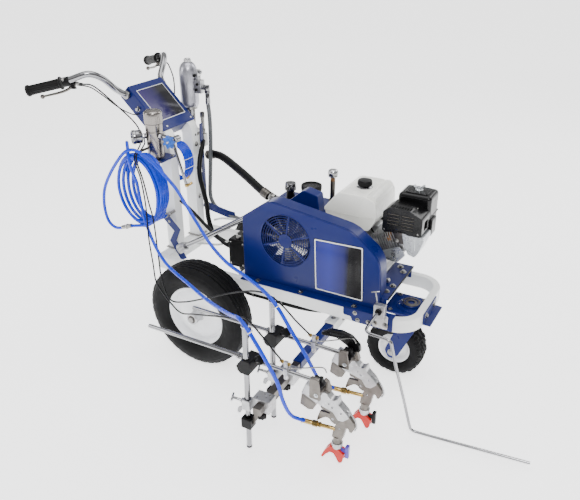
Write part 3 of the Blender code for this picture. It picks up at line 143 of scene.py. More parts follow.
def finish_of(name, colour, rough, metal=0.0, coat=0.0, mottle=(9.0, 0.12), grain=(900.0, 0.15, 0.0002),
        spread=0.08, stretch=(1, 1, 1), shine=0.35):
    """A surface with broad colour variation, uneven roughness and a fine grain.

    mottle is the scale and depth of the colour variation, grain the scale, strength and height of the bump.
    """
    material, nodes, links, shader = new_material(name)
    broad = texture(nodes, links, mottle[0], 4.0, stretch)
    dark = [c * (1 - mottle[1]) for c in colour]
    light = [min(1.0, c * (1 + mottle[1])) for c in colour]
    tone = ramp(nodes, links, broad.outputs["Fac"], [(0.32, dark), (0.68, light)])
    links.new(tone.outputs["Color"], shader.inputs["Base Color"])
    patches = texture(nodes, links, mottle[0] * 2.7, 5.0, stretch)
    polish = nodes.new("ShaderNodeMapRange")
    polish.inputs["From Min"].default_value = 0.3
    polish.inputs["From Max"].default_value = 0.7
    polish.inputs["To Min"].default_value = max(0.02, rough - spread)
    polish.inputs["To Max"].default_value = min(1.0, rough + spread)
    links.new(patches.outputs["Fac"], polish.inputs["Value"])
    links.new(polish.outputs["Result"], shader.inputs["Roughness"])
    fine = texture(nodes, links, grain[0], 2.0, stretch)
    add_bump(nodes, links, shader, fine.outputs["Fac"], grain[1], grain[2])
    shader.inputs["Metallic"].default_value = metal
    shader.inputs["Specular IOR Level"].default_value = shine
    shader.inputs["Coat Weight"].default_value = coat
    shader.inputs["Coat Roughness"].default_value = 0.08
    return material


def axis_of(nodes, links, axis, low, high):
    """0 to 1 along one object axis, between two places."""
    coords = nodes.new("ShaderNodeTexCoord")
    split = nodes.new("ShaderNodeSeparateXYZ")
    scale = nodes.new("ShaderNodeMapRange")
    scale.inputs["From Min"].default_value = low
    scale.inputs["From Max"].default_value = high
    links.new(coords.outputs["Object"], split.inputs["Vector"])
    links.new(split.outputs[axis], scale.inputs["Value"])
    return scale.outputs["Result"]


def gradient(name, axis, low, high, stops, rough=0.22):
    """A printed film whose colour runs along one axis, with fine print-like speckle in its gloss."""
    material, nodes, links, shader = new_material(name)
    tone = ramp(nodes, links, axis_of(nodes, links, axis, low, high), stops)
    links.new(tone.outputs["Color"], shader.inputs["Base Color"])
    fine = texture(nodes, links, 260.0)
    add_bump(nodes, links, shader, fine.outputs["Fac"], 0.05, 0.0002)
    shader.inputs["Roughness"].default_value = rough
    shader.inputs["Specular IOR Level"].default_value = 0.25
    shader.inputs["Coat Weight"].default_value = 0.1
    return material


def make_materials():
    steel_grain = (420.0, 0.25, 0.00015)
    return {
        "blue": finish_of("blue_enamel", (0.0016, 0.0085, 0.105), 0.3, coat=0.06, mottle=(5.0, 0.04),
                          spread=0.03,
                          grain=(260.0, 0.1, 0.0004), shine=0.22),
        "white": finish_of("white_enamel", (0.86, 0.87, 0.86), 0.32, coat=0.15, mottle=(6.0, 0.045),
                           grain=(300.0, 0.1, 0.0004)),
        "steel": finish_of("zinc_steel", (0.29, 0.285, 0.275), 0.28, 1.0, mottle=(22.0, 0.14),
                           grain=steel_grain,
                           spread=0.1),
        "chrome": finish_of("chrome_tube", (0.27, 0.27, 0.28), 0.12, 1.0, mottle=(14.0, 0.1),
                            grain=(700.0, 0.06, 0.0001), spread=0.05),
        "brushed": finish_of("brushed_stainless", (0.27, 0.25, 0.235), 0.24, 1.0, mottle=(30.0, 0.08),
                             grain=(500.0, 0.12, 0.0001), spread=0.04, stretch=(1, 1, 0.06)),
        "satin": finish_of("satin_aluminium", (0.4, 0.4, 0.445), 0.34, 1.0, mottle=(12.0, 0.08),
                           grain=(600.0, 0.2, 0.0001)),
        "alloy": finish_of("cast_alloy", (0.46, 0.46, 0.47), 0.36, 1.0, mottle=(40.0, 0.14),
                           grain=(330.0, 0.5, 0.0005), spread=0.12),
        "dark_steel": finish_of("dark_steel", (0.13, 0.12, 0.11), 0.34, 1.0, mottle=(30.0, 0.2),
                                grain=steel_grain),
        "brass": finish_of("brass", (0.4, 0.27, 0.09), 0.28, 1.0, mottle=(30.0, 0.18), grain=steel_grain),
        "rust": finish_of("warm_stub", (0.16, 0.085, 0.04), 0.62, 0.3, mottle=(60.0, 0.45)),
        "tyre": finish_of("tyre_rubber", (0.0042, 0.0042, 0.0046), 0.62, mottle=(24.0, 0.3),
                          grain=(380.0, 0.35, 0.0006), shine=0.13),
        "grip": finish_of("grip_rubber", (0.004, 0.004, 0.0044), 0.46, mottle=(40.0, 0.25),
                          grain=(900.0, 0.3, 0.0004), shine=0.2),
        "rim": finish_of("rim_white", (0.9, 0.91, 0.93), 0.26, coat=0.15, mottle=(10.0, 0.05),
                         grain=(260.0, 0.08, 0.0004)),
        "black": finish_of("black_enamel", (0.003, 0.003, 0.0034), 0.22, coat=0.12, mottle=(16.0, 0.25),
                           grain=(420.0, 0.12, 0.0004), shine=0.2),
        "plastic": finish_of("black_plastic", (0.0035, 0.0035, 0.004), 0.42, mottle=(40.0, 0.22),
                             grain=(800.0, 0.35, 0.0004), shine=0.16),
        "ivory": finish_of("ivory_tank", (0.91, 0.91, 0.86), 0.24, coat=0.2, mottle=(7.0, 0.035),
                           grain=(220.0, 0.08, 0.0004)),
        "hose": finish_of("blue_hose", (0.0005, 0.03, 0.52), 0.26, coat=0.08, mottle=(26.0, 0.1),
                          grain=(700.0, 0.18, 0.0003), shine=0.3),
        "cable": finish_of("black_cable", (0.0035, 0.0035, 0.004), 0.4, mottle=(50.0, 0.25),
                           grain=(900.0, 0.25, 0.0003), shine=0.16),
        "belt": finish_of("belt_rubber", (0.02, 0.02, 0.02), 0.75, mottle=(60.0, 0.3)),
        "violet": finish_of("violet_plastic", (0.085, 0.05, 0.4), 0.36, mottle=(40.0, 0.1)),
        "knob": finish_of("blue_plastic", (0.008, 0.085, 0.42), 0.32, coat=0.05, mottle=(30.0, 0.12)),
        "red": finish_of("red_plastic", (0.5, 0.01, 0.004), 0.36, mottle=(30.0, 0.12)),
        "clear": finish_of("clear_tie", (0.75, 0.76, 0.74), 0.3, mottle=(40.0, 0.05)),
        "print": finish_of("white_print", (0.8, 0.8, 0.8), 0.35, mottle=(60.0, 0.05)),
        "glass": finish_of("dial_face", (0.86, 0.86, 0.84), 0.15, coat=0.8, mottle=(30.0, 0.03)),
        # Painted shade: a flat near-black matte finish that stands in for the shade inside a hole and inside
        # the starter's vent slots.
        "hole_shade": finish_of("painted_recess_shade", (0.004, 0.004, 0.005), 0.7, mottle=(30.0, 0.3)),
        "pale_zinc": finish_of("pale_zinc", (0.52, 0.54, 0.56), 0.3, 0.85, mottle=(26.0, 0.1),
                               grain=(420.0, 0.2, 0.0002)),
        "grey_cast": finish_of("grey_cast", (0.17, 0.155, 0.14), 0.42, 0.9, mottle=(40.0, 0.2),
                               grain=(380.0, 0.5, 0.0005)),
        "mirror": finish_of("polished_dome", (0.52, 0.52, 0.53), 0.07, 1.0, mottle=(20.0, 0.05),
                            grain=(700.0, 0.02, 0.0001), spread=0.03),
        "grey_hose": finish_of("grey_hose", (0.1, 0.105, 0.11), 0.36, mottle=(40.0, 0.2),
                               grain=(700.0, 0.25, 0.0003)),
        "loom": finish_of("ribbed_loom", (0.0035, 0.0035, 0.004), 0.45, shine=0.16, mottle=(60.0, 0.4),
                          grain=(600.0, 0.8, 0.0012), stretch=(1, 0.1, 0.1)),
    }


SLOTS = {"blue": "blue_enamel", "white": "white_enamel", "steel": "zinc_steel", "chrome": "chrome_tube",
        "brushed": "zinc_steel", "satin": "cast_alloy", "alloy": "cast_alloy", "dark_steel": "zinc_steel",
        "brass": "brass", "rust": "black_enamel", "tyre": "tyre_rubber", "grip": "grip_rubber",
        "rim": "rim_white", "black": "black_enamel", "plastic": "black_plastic", "ivory": "ivory_tank",
        "hose": "blue_hose", "cable": "black_cable", "belt": "belt_rubber", "violet": "violet_plastic",
        "knob": "blue_plastic", "red": "red_plastic", "clear": "black_plastic", "print": "panel_film",
        "glass": "panel_film", "hole_shade": "black_plastic", "pale_zinc": "zinc_steel",
        "grey_cast": "cast_alloy", "mirror": "chrome_tube", "grey_hose": "black_cable",
        "loom": "black_plastic"}


# ---------------------------------------------------------------- mesh helpers, in the machine's frame
def box(x, y, z):
    bm = bmesh.new()
    bmesh.ops.create_cube(bm, size=1.0)
    bmesh.ops.scale(bm, verts=bm.verts, vec=(x[1] - x[0], y[1] - y[0], z[1] - z[0]))
    bmesh.ops.translate(bm, verts=bm.verts, vec=((x[0] + x[1]) / 2, (y[0] + y[1]) / 2, (z[0] + z[1]) / 2))
    return bm


def block(middle, size, turn=0.0, axis="Y"):
    bm = box(*[(-s / 2, s / 2) for s in size])
    spin = Matrix.Rotation(math.radians(turn), 4, axis)
    return moved(bm, Matrix.Translation(Vector(middle)) @ spin)


def moved(bm, matrix):
    bmesh.ops.transform(bm, verts=bm.verts, matrix=matrix)
    return bm


def pointing(at, along):
    """The matrix that puts local +Z along a direction, at a place."""
    return Matrix.Translation(Vector(at)) @ Vector(along).to_track_quat("Z", "Y").to_matrix().to_4x4()


def lathe(profile, at=(0, 0, 0), along=(0, 0, 1), sides=32):
    """Turn (radius, height) points about an axis; a radius of zero closes the end."""
    bm = bmesh.new()
    rings = []
    for radius, height in profile:
        if radius <= 0:
            rings.append([bm.verts.new((0, 0, height))])
            continue
        rings.append([bm.verts.new((radius * math.cos(2 * math.pi * k / sides),
                radius * math.sin(2 * math.pi * k / sides), height)) for k in range(sides)])
    for low, high in zip(rings, rings[1:]):
        for k in range(sides):
            after = (k + 1) % sides
            corners = [low[k % len(low)], low[after % len(low)], high[after % len(high)], high[k % len(high)]]
            corners = [c for n, c in enumerate(corners) if c not in corners[:n]]
            if len(corners) > 2:
                bm.faces.new(corners)
    bmesh.ops.recalc_face_normals(bm, faces=bm.faces)
    return moved(bm, pointing(at, along))


def ring_lathe(profile, at=(0, 0, 0), along=(0, 0, 1), sides=48):
    """Turn a closed profile, such as a tyre's section, about an axis."""
    return lathe(list(profile) + [profile[0]], at, along, sides)


def rod(start, end, radius, sides=20, round_end=0.0):
    """A bar between two points, with its ends chamfered by round_end."""
    start = Vector(start)
    end = Vector(end)
    length = (end - start).length
    r = min(round_end, radius * 0.9, length * 0.45)
    if r > 0:
        profile = [(0, 0), (radius - r, 0), (radius - r * 0.3, r * 0.3), (radius, r), (radius, length - r),
                (radius - r * 0.3, length - r * 0.3), (radius - r, length), (0, length)]
    else:
        profile = [(0, 0), (radius, 0), (radius, length), (0, length)]
    return lathe(profile, start, end - start, sides)


def hexagon(start, end, across, sides=6):
    """A nut or hexagonal bar with chamfered ends."""
    return rod(start, end, across / 2 / math.cos(math.pi / sides), sides, across * 0.06)


def slab(outline, low, high, plane="XZ"):
    """Extrude a flat outline: XZ outlines along Y, XY along Z and YZ along X."""
    bm = bmesh.new()

    def put(a, b, depth):
        return {"XZ": (a, depth, b), "XY": (a, b, depth), "YZ": (depth, a, b)}[plane]

    bottom = [bm.verts.new(put(a, b, low)) for a, b in outline]
    top = [bm.verts.new(put(a, b, high)) for a, b in outline]
    bm.faces.new(bottom)
    bm.faces.new(list(reversed(top)))
    for k in range(len(outline)):
        after = (k + 1) % len(outline)
        bm.faces.new((bottom[k], top[k], top[after], bottom[after]))
    bmesh.ops.recalc_face_normals(bm, faces=bm.faces)
    return bm


def fillet(points, radii, steps=5):
    """Round the corners of a flat outline with arcs of the given radii."""
    outline = []
    for k, point in enumerate(points):
        corner = Vector(point)
        radius = radii[k] if hasattr(radii, "__len__") else radii
        if radius <= 0:
            outline.append(tuple(corner))
            continue
        back = (Vector(points[k - 1]) - corner).normalized()
        ahead = (Vector(points[(k + 1) % len(points)]) - corner).normalized()
        half = back.angle(ahead) / 2
        centre = corner + (back + ahead).normalized() * (radius / math.sin(half))
        first = corner + back * (radius / math.tan(half)) - centre
        last = corner + ahead * (radius / math.tan(half)) - centre
        sweep = first.angle(last) * (1 if first.x * last.y - first.y * last.x > 0 else -1)
        for step in range(steps + 1):
            c = math.cos(sweep * step / steps)
            s = math.sin(sweep * step / steps)
            outline.append((centre.x + first.x * c - first.y * s, centre.y + first.x * s + first.y * c))
    return outline


def circle(centre, radius, steps=32, start=0.0):
    return [(centre[0] + radius * math.cos(start + 2 * math.pi * k / steps),
            centre[1] + radius * math.sin(start + 2 * math.pi * k / steps)) for k in range(steps)]


def ridged(centre, even, odd, count, wide=1):
    """A knurled outline: groups of wide points stand at the even and the odd radius in turn."""
    outline = []
    for k in range(count):
        radius = odd if (k // wide) % 2 else even
        angle = 2 * math.pi * k / count
        outline.append((centre[0] + radius * math.cos(angle), centre[1] + radius * math.sin(angle)))
    return outline


def smooth_route(points, spacing):
    """Even points along a smooth curve through the route's own points."""
    route = [Vector(p) for p in points]
    ends = [route[0] * 2 - route[1]] + route + [route[-1] * 2 - route[-2]]
    fine = []
    for k in range(1, len(ends) - 2):
        before, start, stop, after = ends[k - 1:k + 3]
        for step in range(24):
            t = step / 24
            fine.append(0.5 * (2 * start + (stop - before) * t + (2 * before - 5 * start + 4 * stop - after)
                    * t ** 2 + (3 * start - before - 3 * stop + after) * t ** 3))
    fine.append(route[-1])
    travel = [0.0]
    for a, b in zip(fine, fine[1:]):
        travel.append(travel[-1] + (b - a).length)
    count = max(2, round(travel[-1] / spacing))
    even = []
    k = 0
    for step in range(count + 1):
        goal = travel[-1] * step / count
        while k < len(travel) - 2 and travel[k + 1] < goal:
            k += 1
        share = (goal - travel[k]) / (travel[k + 1] - travel[k])
        even.append(fine[k].lerp(fine[k + 1], share))
    return even


def sweep(points, radius, sides=12):
    """A tube of rings along given points, without twist, closed at both ends."""
    bm = bmesh.new()
    points = [Vector(p) for p in points]
    count = len(points)
    tangents = [(points[min(k + 1, count - 1)] - points[max(k - 1, 0)]).normalized() for k in range(count)]
    side = tangents[0].orthogonal().normalized()
    rings = []
    for k, (point, tangent) in enumerate(zip(points, tangents)):
        side = (side - tangent * side.dot(tangent)).normalized()
        other = tangent.cross(side)
        r = radius(k / (count - 1)) if callable(radius) else radius
        rings.append([bm.verts.new(point + (side * math.cos(2 * math.pi * n / sides) + other *
                math.sin(2 * math.pi * n / sides)) * r) for n in range(sides)])
    for low, high in zip(rings, rings[1:]):
        for n in range(sides):
            after = (n + 1) % sides
            bm.faces.new((low[n], low[after], high[after], high[n]))
    bm.faces.new(list(reversed(rings[0])))
    bm.faces.new(rings[-1])
    return bm


def pipe(route, radius, sides=12, spacing=None):
    return sweep(smooth_route(route, spacing or radius * 1.2), radius, sides)


def merge(*solids):
    """Put several bmeshes into the first one, as separate shells."""
    main = solids[0]
    for extra in solids[1:]:
        mesh = bpy.data.meshes.new("part")
        extra.to_mesh(mesh)
        extra.free()
        main.from_mesh(mesh)
        bpy.data.meshes.remove(mesh)
    return main


def hidden(bm):
    mesh = bpy.data.meshes.new("tool")
    bmesh.ops.recalc_face_normals(bm, faces=bm.faces)
    bm.to_mesh(mesh)
    bm.free()
    thing = bpy.data.objects.new("tool", mesh)
    bpy.context.scene.collection.objects.link(thing)
    return thing


def boolean(base, added=(), cut=()):
    """Union the added solids with the base, then cut; returns one bmesh."""
    body = hidden(base)
    tools = []
    for mode, group in (("UNION", added), ("DIFFERENCE", cut)):
        for solid in group:
            tools.append(hidden(solid))
            step = body.modifiers.new("join", "BOOLEAN")
            step.operation = mode
            step.solver = "EXACT"
            step.object = tools[-1]
    graph = bpy.context.evaluated_depsgraph_get()
    mesh = bpy.data.meshes.new_from_object(body.evaluated_get(graph))
    bm = bmesh.new()
    bm.from_mesh(mesh)
    for thing in tools + [body]:
        bpy.data.objects.remove(thing, do_unlink=True)
    return bm


def linked(name, bm, material):
    """An object in the scene from a mesh drawn in the machine's frame."""
    bmesh.ops.translate(bm, verts=bm.verts, vec=ORIGIN)
    mesh = bpy.data.meshes.new(name)
    bm.to_mesh(mesh)
    bm.free()
    mesh.materials.clear()
    mesh.materials.append(material)
    mesh.shade_smooth()
    thing = bpy.data.objects.new(name, mesh)
    bpy.context.scene.collection.objects.link(thing)
    return thing


def piece(name, bm, material, body="machine", replaces=(), bevel=0.0, smooth=35, segments=2):
    """Link one finished rigid piece and let it ride on its body."""
    thing = linked(name, bm, MATERIALS[material] if isinstance(material, str) else material)
    thing.data.set_sharp_from_angle(angle=math.radians(smooth))
    if bevel > 0:
        rounding = thing.modifiers.new("edges", "BEVEL")
        rounding.width = bevel
        rounding.segments = segments
        rounding.limit_method = "ANGLE"
        rounding.angle_limit = math.radians(smooth)
        rounding.harden_normals = True
    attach(thing, body)
    if replaces:
        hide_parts(*replaces)
    SLOTS[material] if isinstance(material, str) else "panel_film"
    return thing


def bolt(at, along, across=0.01, washer=True, thick=None):
    """A hexagon head with a washer under it; at is on the surface, along points out of it."""
    at = Vector(at)
    out = Vector(along).normalized()
    base = 0.0
    solids = []
    if washer:
        base = across * 0.12
        solids.append(rod(at - out * 0.0004, at + out * base, across * 0.95, 20, 0.0003))
    solids.append(hexagon(at + out * (base - 0.0002), at + out * (base + (thick or across * 0.45)), across))
    return merge(*solids)


def socket_screw(at, along, radius=0.004, dome=0.5):
    """A round-headed screw with a hexagon socket."""
    high = radius * dome
    profile = [(0, -0.0004), (radius, -0.0004), (radius, high * 0.35), (radius * 0.72, high),
            (radius * 0.42, high), (radius * 0.4, high * 0.45), (0, high * 0.45)]
    return lathe(profile, at, along, 18)


# ---------------------------------------------------------------- wheels
def tread_wheel(section, centre, count, depth_at):
    """A tyre turned from its (radius, y) section, whose tread sinks by depth_at(turn, y) all round."""
    bm = bmesh.new()
    rows = []
    for k in range(count):
        angle = 2 * math.pi * k / count
        row = []
        for radius, y in section:
            r = radius - depth_at(k, y, radius)
            row.append(bm.verts.new((centre[0] + r * math.cos(angle), centre[1] + y,
                    centre[2] + r * math.sin(angle))))
        rows.append(row)
    width = len(section)
    for k in range(count):
        ahead = rows[(k + 1) % count]
        for n in range(width):
            bm.faces.new((rows[k][n], rows[k][(n + 1) % width], ahead[(n + 1) % width], ahead[n]))
    bmesh.ops.recalc_face_normals(bm, faces=bm.faces)
    return bm


def tyre_section(radius, rim, wide, grooves, depth):
    """Half the section, from the bead over the shoulder to the crown, with grooves, then its mirror image."""
    half = wide / 2
    wall = radius - rim
    right = [(rim + 0.001, half * 0.6), (rim - 0.002, half * 0.7), (rim + wall * 0.07, half * 0.8),
            (rim + wall * 0.12, half * 0.86), (rim + wall * 0.16, half * 0.87),
            (rim + wall * 0.22, half * 0.93), (rim + wall * 0.36, half * 0.985), (rim + wall * 0.52, half),
            (rim + wall * 0.66, half * 0.965), (rim + wall * 0.7, half * 0.93),
            (rim + wall * 0.74, half * 0.93), (rim + wall * 0.82, half * 0.84)]
    crown = [(half * 0.72, 0.955)] + grooves + [(0.0, 1.0)]
    for y, share in crown:
        crowned = radius * (1 - 0.045 * (y / half) ** 2) - depth * (1 - share)
        right.append((rim + wall * share if y == half * 0.72 else crowned, y))
    return right + [(r, -y) for r, y in reversed(right[:-1])]


def make_rear_wheels():
    for word, side in SIDES:
        low, high = local_box(f"{word}_tyre")
        centre = (low + high) / 2
        radius = (high.z - low.z) / 2
        wide = high.y - low.y
        rim = local_box(f"{word}_rim")
        rim_r = (rim[1].z - rim[0].z) / 2
        half = wide / 2
        grooves = []
        for at in (0.56, 0.3, 0.04):
            grooves += [(half * (at + 0.075), 1.0), (half * (at + 0.055), 0.0), (half * (at + 0.02), 0.0),
                    (half * at, 1.0)]
        section = tyre_section(radius, rim_r, wide, grooves, 0.0035)

        def sipes(k, y, r):
            """Narrow cross cuts, set back step by step from rib to rib."""
            shift = int(abs(y) / half * 4) * 2 + (1 if y > 0 else 0)
            shoulder = abs(y) > half * 0.62 and r > radius * 0.9
            cut = (k + shift) % 5 == 0
            return 0.0018 if cut and r > radius * 0.9 and (shoulder or abs(y) < half * 0.62) else 0.0

        tyre = tread_wheel(section, centre, 180, sipes)
        piece(f"{word}_road_tyre", tyre, "tyre", f"{word}_wheel", [f"{word}_tyre"], smooth=30)
        make_rear_rim(word, side, centre, rim_r, half)


def make_rear_rim(word, side, centre, rim_r, half):
    """Dished disc, hub with its cap, and the valve."""
    body = f"{word}_wheel"
    out = Vector((0, side, 0))
    seat = half * 0.66
    profile = [(0.0125, 0.013), (0.03, 0.0145), (0.06, 0.0165), (rim_r - 0.03, 0.014), (rim_r - 0.02, 0.01),
            (rim_r - 0.0155, 0.0125), (rim_r - 0.0145, seat - 0.01), (rim_r - 0.009, seat - 0.001),
            (rim_r - 0.004, seat + 0.0035), (rim_r - 0.0005, seat + 0.0005), (rim_r - 0.003, seat - 0.006),
            (rim_r - 0.009, seat - 0.016), (rim_r - 0.0095, -seat + 0.016), (rim_r - 0.003, -seat + 0.006),
            (rim_r - 0.0005, -seat - 0.0005), (rim_r - 0.004, -seat - 0.0035),
            (rim_r - 0.009, -seat + 0.001), (rim_r - 0.0145, -seat + 0.01), (rim_r - 0.0155, -0.003),
            (rim_r - 0.03, -0.001), (0.0125, -0.001)]
    piece(f"{word}_disc", ring_lathe(profile, centre, out, 96), "rim", body, [f"{word}_rim"], smooth=40)
    hub = ring_lathe([(0.0102, 0.012), (0.0245, 0.012), (0.0245, 0.0165), (0.0205, 0.019), (0.0195, 0.045),
            (0.0205, 0.0465), (0.0205, 0.0545), (0.019, 0.056), (0.015, 0.056), (0.014, 0.0545),
            (0.0135, 0.05), (0.0102, 0.05)], centre, out, 48)
    piece(f"{word}_hub", hub, "alloy", body)
    back = ring_lathe([(0.0102, -0.056), (0.0195, -0.056), (0.02, -0.054), (0.02, -0.002),
            (0.0102, -0.002)], centre, out, 32)
    piece(f"{word}_hub_tube", back, "alloy", body)
    dust = lathe([(0, 0.0515), (0.0134, 0.0515), (0.0134, 0.053), (0.01, 0.0542), (0, 0.0545)], centre, out,
            32)
    piece(f"{word}_hub_cap", dust, "dark_steel", body)
    base = centre + out * 0.0125 + Vector((0.02, 0, 0.075))
    tip = base + out * 0.012 + Vector((0.01, 0, 0.02))
    valve = merge(rod(base - out * 0.004, tip, 0.0032, 12, 0.0006), rod(tip, tip + (tip - base) * 0.35,
            0.004, 12, 0.001))
    piece(f"{word}_valve", valve, "plastic", body)


def make_front_wheel():
    low, high = local_box("front_tyre")
    centre = (low + high) / 2
    radius = (high.z - low.z) / 2
    rim = local_box("front_rim")
    rim_r = (rim[1].z - rim[0].z) / 2
    wide = high.y - low.y
    half = wide / 2
    grooves = [(half * at, 1.0) for at in (0.62, 0.52, 0.42, 0.32, 0.22, 0.12)]
    section = tyre_section(radius, rim_r, wide, grooves, 0.0)

    def knobs(k, y, r):
        """Rows of blocks with hollows between them, staggered from row to row."""
        if r < radius * 0.88:
            return 0.0
        row = int(abs(y) / half * 5.0)
        if abs(y) < half * 0.06:
            return 0.0
        return 0.0042 if (k + row * 3 + (2 if y > 0 else 0)) % 6 < 2 or (row + k // 6) % 4 == 3 else 0.0

    piece("caster_tread_tyre", tread_wheel(section, centre, 132, knobs), "tyre", "front_wheel",
            ["front_tyre"], smooth=28)
    seat = half * 0.66
    disc = [(0.0066, 0.012), (0.03, 0.0125), (rim_r - 0.02, 0.009), (rim_r - 0.014, 0.013),
            (rim_r - 0.012, seat - 0.007), (rim_r - 0.007, seat + 0.001), (rim_r - 0.003, seat + 0.003),
            (rim_r - 0.0004, seat), (rim_r - 0.006, seat - 0.012), (rim_r - 0.006, -seat + 0.012),
            (rim_r - 0.0004, -seat), (rim_r - 0.003, -seat - 0.003), (rim_r - 0.007, -seat - 0.001),
            (rim_r - 0.012, -seat + 0.007), (rim_r - 0.014, -0.001), (0.0066, -0.001)]
    piece("caster_disc", ring_lathe(disc, centre, (0, -1, 0), 72), "rim", "front_wheel", ["front_rim"],
            smooth=40)
    tube = ring_lathe([(0.0066, -0.049), (0.0135, -0.049), (0.014, -0.048), (0.014, 0.048), (0.0135, 0.049),
            (0.0066, 0.049)], centre, (0, -1, 0), 28)
    piece("caster_hub", tube, "alloy", "front_wheel")


def make_caster():
    low, high = local_box("caster_plate")
    swivel = local_joint("caster_swivel")
    x = swivel.x
    bed = slab(fillet([(low.x, low.y), (high.x, low.y), (high.x, high.y), (low.x, high.y)], 0.006, 3),
            low.z, low.z + 0.007, "XY")
    boss = ring_lathe([(0.0112, 0.256), (0.046, 0.262), (0.046, 0.265), (0.04, 0.2672), (0.031, 0.2672),
            (0.031, 0.274), (0.029, 0.276), (0.0112, 0.276)], (x, 0, 0), (0, 0, 1), 48)
    piece("swivel_plate", merge(bed, boss), "blue", "machine", ["caster_plate"], bevel=0.0008)
    rings = merge(ring_lathe([(0.0225, 0.274), (0.0285, 0.274), (0.0285, 0.2785), (0.0225, 0.2785)],
            (x, 0, 0)), ring_lathe([(0.0112, 0.272), (0.0195, 0.272), (0.0195, 0.2768), (0.0112, 0.2768)],
            (x, 0, 0)))
    piece("swivel_rings", rings, "dark_steel", bevel=0.0006)
    screws = [bolt((x + dx, dy, 0.2632), (0, 0, 1), 0.009) for dx in (-0.055, 0.03) for dy in (-0.052, 0.052)]
    screws += [socket_screw((x - 0.036, dy, 0.267), (0, 0, 1), 0.003) for dy in (-0.012, 0.012)]
    piece("swivel_screws", merge(*screws), "steel")
    ax, _, az = local_joint("front_wheel_roll")
    crown = slab(fillet([(0.625, -0.0565), (0.695, -0.0565), (0.695, 0.0565), (0.625, 0.0565)], 0.003, 3),
            0.2415, 0.2485, "XY")
    solids = [crown, rod((x, 0, 0.244), (x, 0, 0.2735), 0.01, 24, 0.001),
            rod((x, 0, 0.246), (x, 0, 0.2555), 0.028, 40, 0.001)]
    for side in (-1, 1):
        lo, hi = sorted((side * 0.0515, side * 0.0565))
        leg = fillet([(0.627, 0.2482), (0.693, 0.2482), (0.693, 0.2), (ax + 0.024, az - 0.004),
                (ax + 0.008, az - 0.022), (ax - 0.01, az - 0.022), (ax - 0.024, az + 0.004), (0.63, 0.19)],
                [0.002, 0.002, 0.012, 0.02, 0.012, 0.012, 0.02, 0.012], 4)
        solids.append(slab(leg, lo, hi))
    piece("caster_yoke", merge(*solids), "blue", "caster", ["caster_fork"], bevel=0.0012)
    ends = [hexagon((ax, side * 0.0562, az), (ax, side * 0.0625, az), 0.017) for side in (-1, 1)]
    ends += [rod((ax, side * 0.056, az), (ax, side * 0.058, az), 0.0125, 28, 0.0004) for side in (-1, 1)]
    ends.append(rod((ax, -0.063, az), (ax, 0.063, az), 0.0048, 20, 0.0008))
    piece("caster_axle", merge(*ends), "steel", "caster")


# ---------------------------------------------------------------- frame
def make_chassis():
    outer = fillet([(-0.262, -0.165), (0.727, -0.165), (0.727, 0.165), (-0.262, 0.165)],
            [0.02, 0.085, 0.085, 0.02], 14)
    inner = fillet([(-0.217, -0.14), (0.702, -0.14), (0.702, 0.14), (-0.217, 0.14)],
            [0.005, 0.06, 0.06, 0.005], 14)
    loop = boolean(slab(outer, 0.253, 0.3, "XY"), cut=[slab(inner, 0.243, 0.31, "XY")])
    piece("loop_rail", loop, "white", "machine", ["chassis"], bevel=0.0042, segments=4, smooth=40)
    bars = [box((x, x + 0.03), (-0.1405, 0.1405), (0.2565, 0.2965)) for x in (0.085, 0.413)]
    for side in (-1, 1):
        lo, hi = sorted((side * 0.14, side * 0.156))
        bars.append(slab(fillet([(-0.03, 0.2585), (0.03, 0.2585), (0.026, 0.166), (-0.026, 0.166)],
                [0.001, 0.001, 0.014, 0.014], 5), lo, hi))
    bars.append(box((0.416, 0.44), (0.02, 0.08), (0.2, 0.256)))
    piece("cross_bars", merge(*bars), "white", bevel=0.002)
    piece("axle_tube", rod((0, -0.1585, 0.188), (0, 0.1585, 0.188), 0.021, 40, 0.001), "white")
    shafts = [rod((0, side * 0.155, 0.188), (0, side * 0.3215, 0.188), 0.0095, 28, 0.0015) for side in (-1,
            1)]
    piece("axle_shaft", merge(*shafts), "steel")
    sleeve = boolean(box((0.409, 0.447), (-0.135, 0.1), (0.164, 0.202)),
            cut=[box((0.4132, 0.4428), (-0.15, 0.11), (0.1682, 0.1978))])
    piece("arm_sleeve", sleeve, "white", bevel=0.0022, segments=3)
    screws = [bolt((-0.015 + 0.03 * k, side * 0.156, 0.236), (0, side, 0), 0.008) for k in (0,
            1) for side in (-1, 1)]
    screws += [bolt((0.428, -0.1, 0.202), (0, 0, 1), 0.009), bolt((0.447, -0.06, 0.183), (1, 0, 0), 0.009)]
    piece("frame_screws", merge(*screws), "steel")


def console_axes():
    low = Vector((-0.231, 0.752))
    high = Vector((-0.371, 0.889))
    up = (high - low).normalized()
    return low, high, up, Vector((up.y, -up.x))


